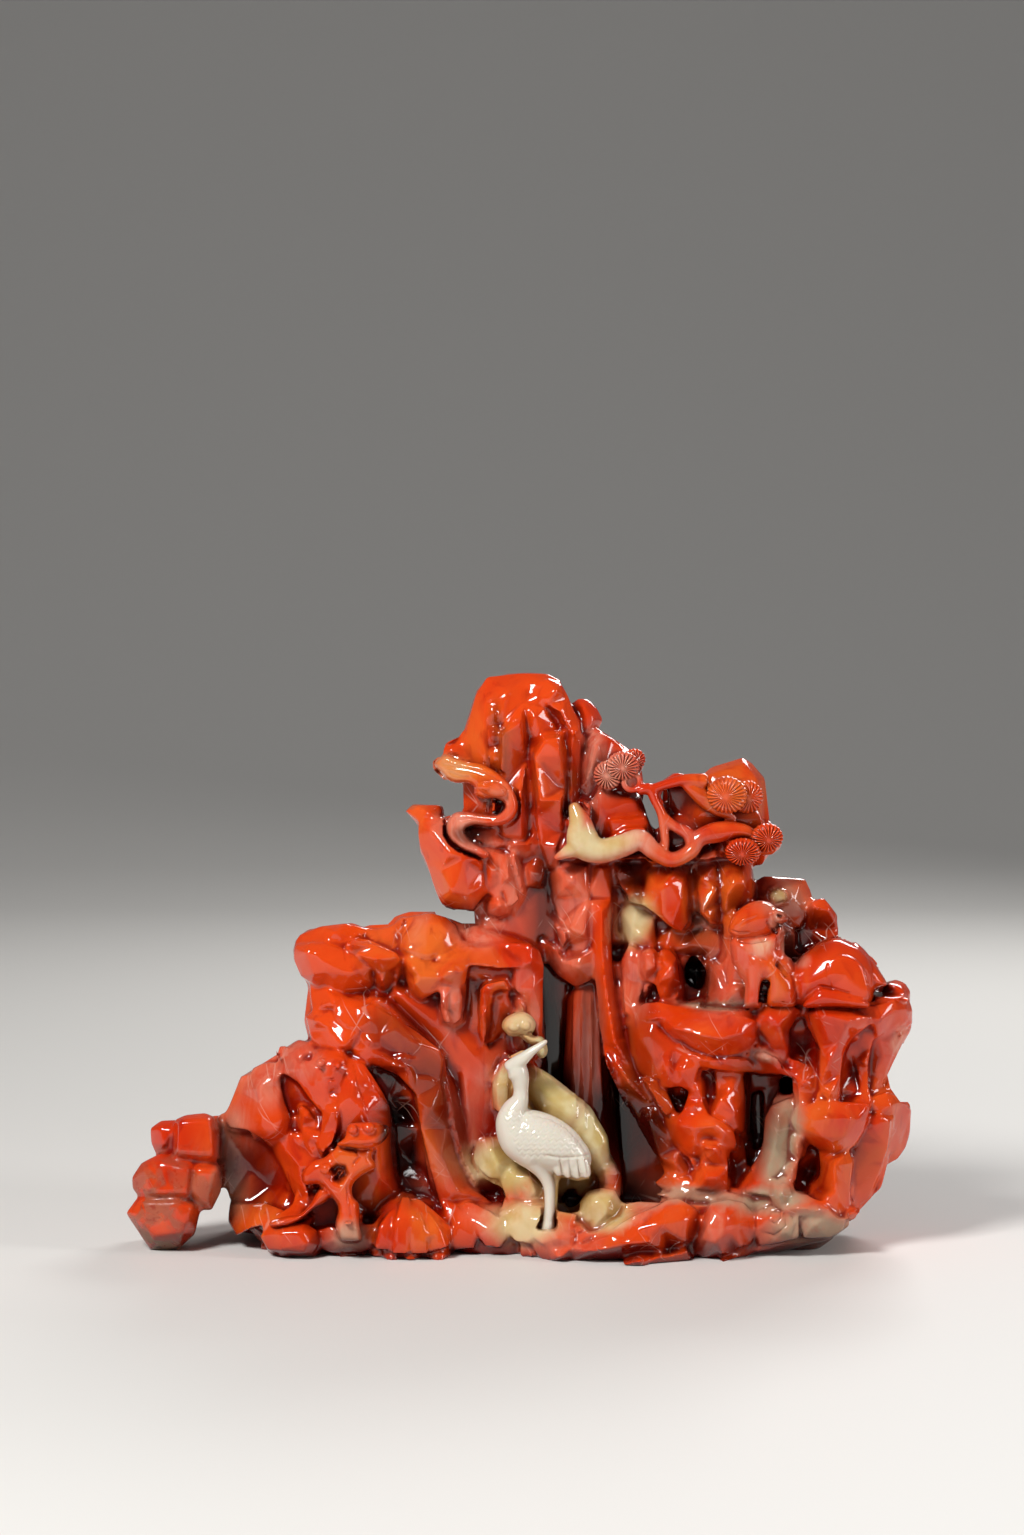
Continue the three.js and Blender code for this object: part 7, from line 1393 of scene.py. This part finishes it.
HELD_STROKES = [
    ([(519, 1038), (526, 1036), (532, 1034)], 1.0, -0.4, -40, -14),
    ([(540, 1050), (546, 1050)], 0.9, -0.3, -40, -14),
]


class RockworkSettings(bpy.types.PropertyGroup):
    """Sizes of the rockwork, the body of the carving."""
    voxel: bpy.props.FloatProperty(
        name="Grain", description="Size of the cells the stone is melted into, in millimetres",
        default=0.42, min=0.25, max=2)
    reach: bpy.props.FloatProperty(
        name="Filled gap", description="Half the width of the gaps that are filled, in millimetres",
        default=1.1, min=0.5, max=6.0)
    sunk: bpy.props.FloatProperty(
        name="Gap depth", description="How far a filled gap's floor lies behind its rims, in millimetres",
        default=0.9, min=0.0, max=4.0)
    passes: bpy.props.IntProperty(
        name="Polishing passes", description="How often the skin is rubbed down", default=1, min=0, max=40)
    triangles: bpy.props.IntProperty(
        name="Triangles", description="Triangles the rockwork is thinned to",
        default=190000, min=20000, max=199000)


class FigureSettings(bpy.types.PropertyGroup):
    """Sizes shared by the carved figures."""
    voxel: bpy.props.FloatProperty(
        name="Grain", description="Size of the cells a figure is melted into, in millimetres",
        default=0.26, min=0.15, max=1)
    passes: bpy.props.IntProperty(
        name="Polishing passes", description="How often a figure's skin is rubbed down",
        default=8, min=0, max=40)
    triangles: bpy.props.IntProperty(
        name="Triangles", description="Triangles a figure is thinned to", default=60000, min=5000, max=199000)


class StageSettings(bpy.types.PropertyGroup):
    """Light, floor and camera."""
    floor: bpy.props.FloatVectorProperty(
        name="Floor", description="Colour of the floor", subtype="COLOR",
        default=linear("#E4E1DC"), min=0, max=1)
    key: bpy.props.FloatProperty(
        name="Key light", description="Power of the large soft light", default=13.0, min=0, unit="POWER")
    away: bpy.props.FloatProperty(
        name="Eye distance", description="From the eye to the picture plane", unit="LENGTH",
        subtype="DISTANCE", default=EYE_AWAY * MM)


class AGATE_OT_rockwork(bpy.types.Operator):
    """Turns the frame's solid into the polished, finely carved rockwork"""
    bl_idname = "agate.rockwork"
    bl_label = "Rockwork"

    def execute(self, context):
        settings = context.scene.agate_rockwork
        verts, faces = read_mesh(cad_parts[NODE].data)
        merged, back = np.unique(np.round(verts, 4), axis=0, return_inverse=True)
        faces = back.reshape(-1)[faces]
        verts, faces = melted(merged, faces, settings.voxel * 1.2)
        front = melted(*joined(rock_parts()), settings.voxel)
        verts = room_for(verts, [front[0]], reach=3, margin=2.0)
        whole = joined([(verts, faces), front])
        filling = gap_filling(*whole, settings.reach, settings.sunk, settings.voxel * 1.4)
        verts, faces = melted(*joined([whole, filling]), settings.voxel)
        if FIGURES:
            verts, faces = melted(room_for(verts, FIGURES.values()), faces, settings.voxel)
        low, high = (np.array(corner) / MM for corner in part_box(NODE))
        start, length = low[1] - NOTCH_OVERRUN, high[1] - low[1] + 2 * NOTCH_OVERRUN
        tools = [facets([(x, y, start) for x, y in notch], thick=length) for notch in NOTCHES]
        verts, faces = cut_away(verts, faces, tools)
        verts = polished(verts, faces, settings.passes, *ROCK_POLISH)
        verts = chiselled(verts, faces, ROCK_STROKES)
        obj = put_mesh("rockwork", np.clip(verts, low, high), faces)
        finish_piece(obj, settings.triangles, crease=ROCK_CREASE)
        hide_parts(NODE)
        return {"FINISHED"}


def make_figure(context, name, parts, white=0.0, strokes=(), extra=(), rooted=PICTURE_HEIGHT):
    """A figure from its closed skins, melted together, with any extra skins joined as they are.

    Below the picture row rooted it grows out of the rock, which leaves no room for it there.
    """
    settings = context.scene.agate_figures
    obj = put_mesh(name, *carved(parts, settings.voxel, settings.passes, strokes))
    skin = np.vstack([read_mesh(obj.data)[0]] + [verts for verts, _ in extra])
    FIGURES[name] = skin[seen(skin)[1] < rooted]
    return finish_piece(obj, settings.triangles, white, 10, extra)


class AGATE_OT_crane(bpy.types.Operator):
    """Carves the white crane"""
    bl_idname = "agate.crane"
    bl_label = "Crane"

    def execute(self, context):
        make_figure(context, "crane", crane_parts(), 1.0, CRANE_STROKES, rooted=1233)
        return {"FINISHED"}


class AGATE_OT_deer(bpy.types.Operator):
    """Carves the deer lying on the shelf"""
    bl_idname = "agate.deer"
    bl_label = "Deer"

    def execute(self, context):
        make_figure(context, "deer", deer_parts(), strokes=DEER_STROKES, rooted=1001)
        return {"FINISHED"}


class AGATE_OT_pine(bpy.types.Operator):
    """Carves the pine with its scored needle pads"""
    bl_idname = "agate.pine"
    bl_label = "Pine"

    def execute(self, context):
        make_figure(context, "pine", pine_branches(), extra=pine_pads())
        return {"FINISHED"}


class AGATE_OT_cloud(bpy.types.Operator):
    """Carves the scrolling cloud"""
    bl_idname = "agate.cloud"
    bl_label = "Cloud"

    def execute(self, context):
        make_figure(context, "cloud", cloud_parts(), strokes=CLOUD_STROKES)
        return {"FINISHED"}


class AGATE_OT_fungus(bpy.types.Operator):
    """Carves the lingzhi sprays"""
    bl_idname = "agate.fungus"
    bl_label = "Lingzhi"

    def execute(self, context):
        make_figure(context, "lingzhi", fungus_parts(), strokes=FUNGUS_STROKES, rooted=1224)
        make_figure(context, "held_lingzhi", held_parts(), strokes=HELD_STROKES)
        return {"FINISHED"}


def area_light(name, place, aim, size, power):
    """A rectangular soft white light at place, turned to aim, both in metres."""
    light = bpy.data.lights.new(name, "AREA")
    light.shape = "RECTANGLE"
    light.size, light.size_y = size
    light.energy = power
    obj = bpy.data.objects.new(name, light)
    obj.location = place
    obj.rotation_euler = (Vector(aim) - Vector(place)).to_track_quat("-Z", "Y").to_euler()
    bpy.context.scene.collection.objects.link(obj)


class AGATE_OT_stage(bpy.types.Operator):
    """Lays the floor, hangs the lights and sets the camera at the picture's viewing angle"""
    bl_idname = "agate.stage"
    bl_label = "Stage"

    def execute(self, context):
        settings = context.scene.agate_stage
        half, bend, level = 4000.0, 1500.0, 900.0
        turn = np.linspace(0, math.pi / 2, 17)
        run = np.concatenate([[-half], level + bend * np.sin(turn), [level + bend]])
        rise = np.concatenate([[0.0], bend * (1 - np.cos(turn)), [half]])
        count = len(run)
        corners = np.vstack([np.column_stack([np.full(count, x), run, rise]) for x in (-half, half)])
        k = np.arange(count - 1)
        floor = put_mesh("floor", corners, np.vstack([np.column_stack([k, k + count, k + count + 1]),
                                                      np.column_stack([k, k + count + 1, k + 1])]))
        material = bpy.data.materials.new("matt_painted_board")
        material.use_nodes = True
        shader = material.node_tree.nodes["Principled BSDF"]
        shader.inputs["Base Color"].default_value = (*settings.floor, 1)
        shader.inputs["Roughness"].default_value = 0.6
        floor.data.materials.append(material)
        world = bpy.data.worlds.new("studio")
        world.use_nodes = True
        glow = world.node_tree.nodes["Background"]
        glow.inputs["Color"].default_value = (*linear("#C9CBD0"), 1)
        glow.inputs["Strength"].default_value = 0.14
        context.scene.world = world
        area_light("key", (-0.5, -0.72, 0.82), (0, 0, 0.06), (0.28, 0.28), settings.key)
        area_light("fill", (0.9, -0.3, 0.35), (0, 0, 0.07), (0.2, 0.5), settings.key * 0.25)
        area_light("back", (0.3, 0.7, 0.55), (0, 0, 0.08), (0.4, 0.2), settings.key * 0.25)
        context.scene.view_settings.view_transform = "Standard"
        camera = bpy.data.cameras.new("camera")
        camera.sensor_fit = "HORIZONTAL"
        camera.sensor_width = 36
        span = PICTURE_WIDTH / PIXELS_PER_MM * MM
        eye = Vector((0, PICTURE_PLANE * MM - settings.away, EYE_HEIGHT * MM))
        middle = Vector(spot([(PICTURE_WIDTH / 2, PICTURE_HEIGHT / 2, PICTURE_PLANE)])[0] * MM)
        camera.lens = camera.sensor_width * (middle - eye).length / span
        obj = bpy.data.objects.new("camera", camera)
        obj.location = eye
        obj.rotation_euler = (middle - eye).to_track_quat("-Z", "Y").to_euler()
        context.scene.collection.objects.link(obj)
        context.scene.camera = obj
        return {"FINISHED"}


PIECES = (AGATE_OT_rockwork, AGATE_OT_crane, AGATE_OT_deer, AGATE_OT_pine, AGATE_OT_cloud, AGATE_OT_fungus,
          AGATE_OT_stage)


class AGATE_PT_panel(bpy.types.Panel):
    """Lists the pieces of the carving"""
    bl_idname = "AGATE_PT_panel"
    bl_label = "Agate carving"
    bl_space_type = "VIEW_3D"
    bl_region_type = "UI"
    bl_category = "Agate carving"

    def draw(self, context):
        for group in ("agate_rockwork", "agate_figures", "agate_stage"):
            box = self.layout.box()
            settings = getattr(context.scene, group)
            for key in settings.__annotations__:
                box.prop(settings, key)
        for piece in PIECES:
            self.layout.operator(piece.bl_idname)


GROUPS = {"agate_rockwork": RockworkSettings, "agate_figures": FigureSettings, "agate_stage": StageSettings}


def register():
    """Makes the operators, the settings and the panel known."""
    for group in GROUPS.values():
        bpy.utils.register_class(group)
    for piece in PIECES + (AGATE_PT_panel,):
        bpy.utils.register_class(piece)
    for name, group in GROUPS.items():
        setattr(bpy.types.Scene, name, bpy.props.PointerProperty(type=group))


def unregister():
    """Takes them out again."""
    for name in GROUPS:
        delattr(bpy.types.Scene, name)
    for piece in (AGATE_PT_panel,) + PIECES[::-1]:
        bpy.utils.unregister_class(piece)
    for group in GROUPS.values():
        bpy.utils.unregister_class(group)


def main():
    """Builds the figures, then the rockwork round them, then the stage."""
    register()
    bpy.ops.agate.crane()
    bpy.ops.agate.deer()
    bpy.ops.agate.pine()
    bpy.ops.agate.cloud()
    bpy.ops.agate.fungus()
    bpy.ops.agate.rockwork()
    bpy.ops.agate.stage()


if __name__ == "__main__":
    main()
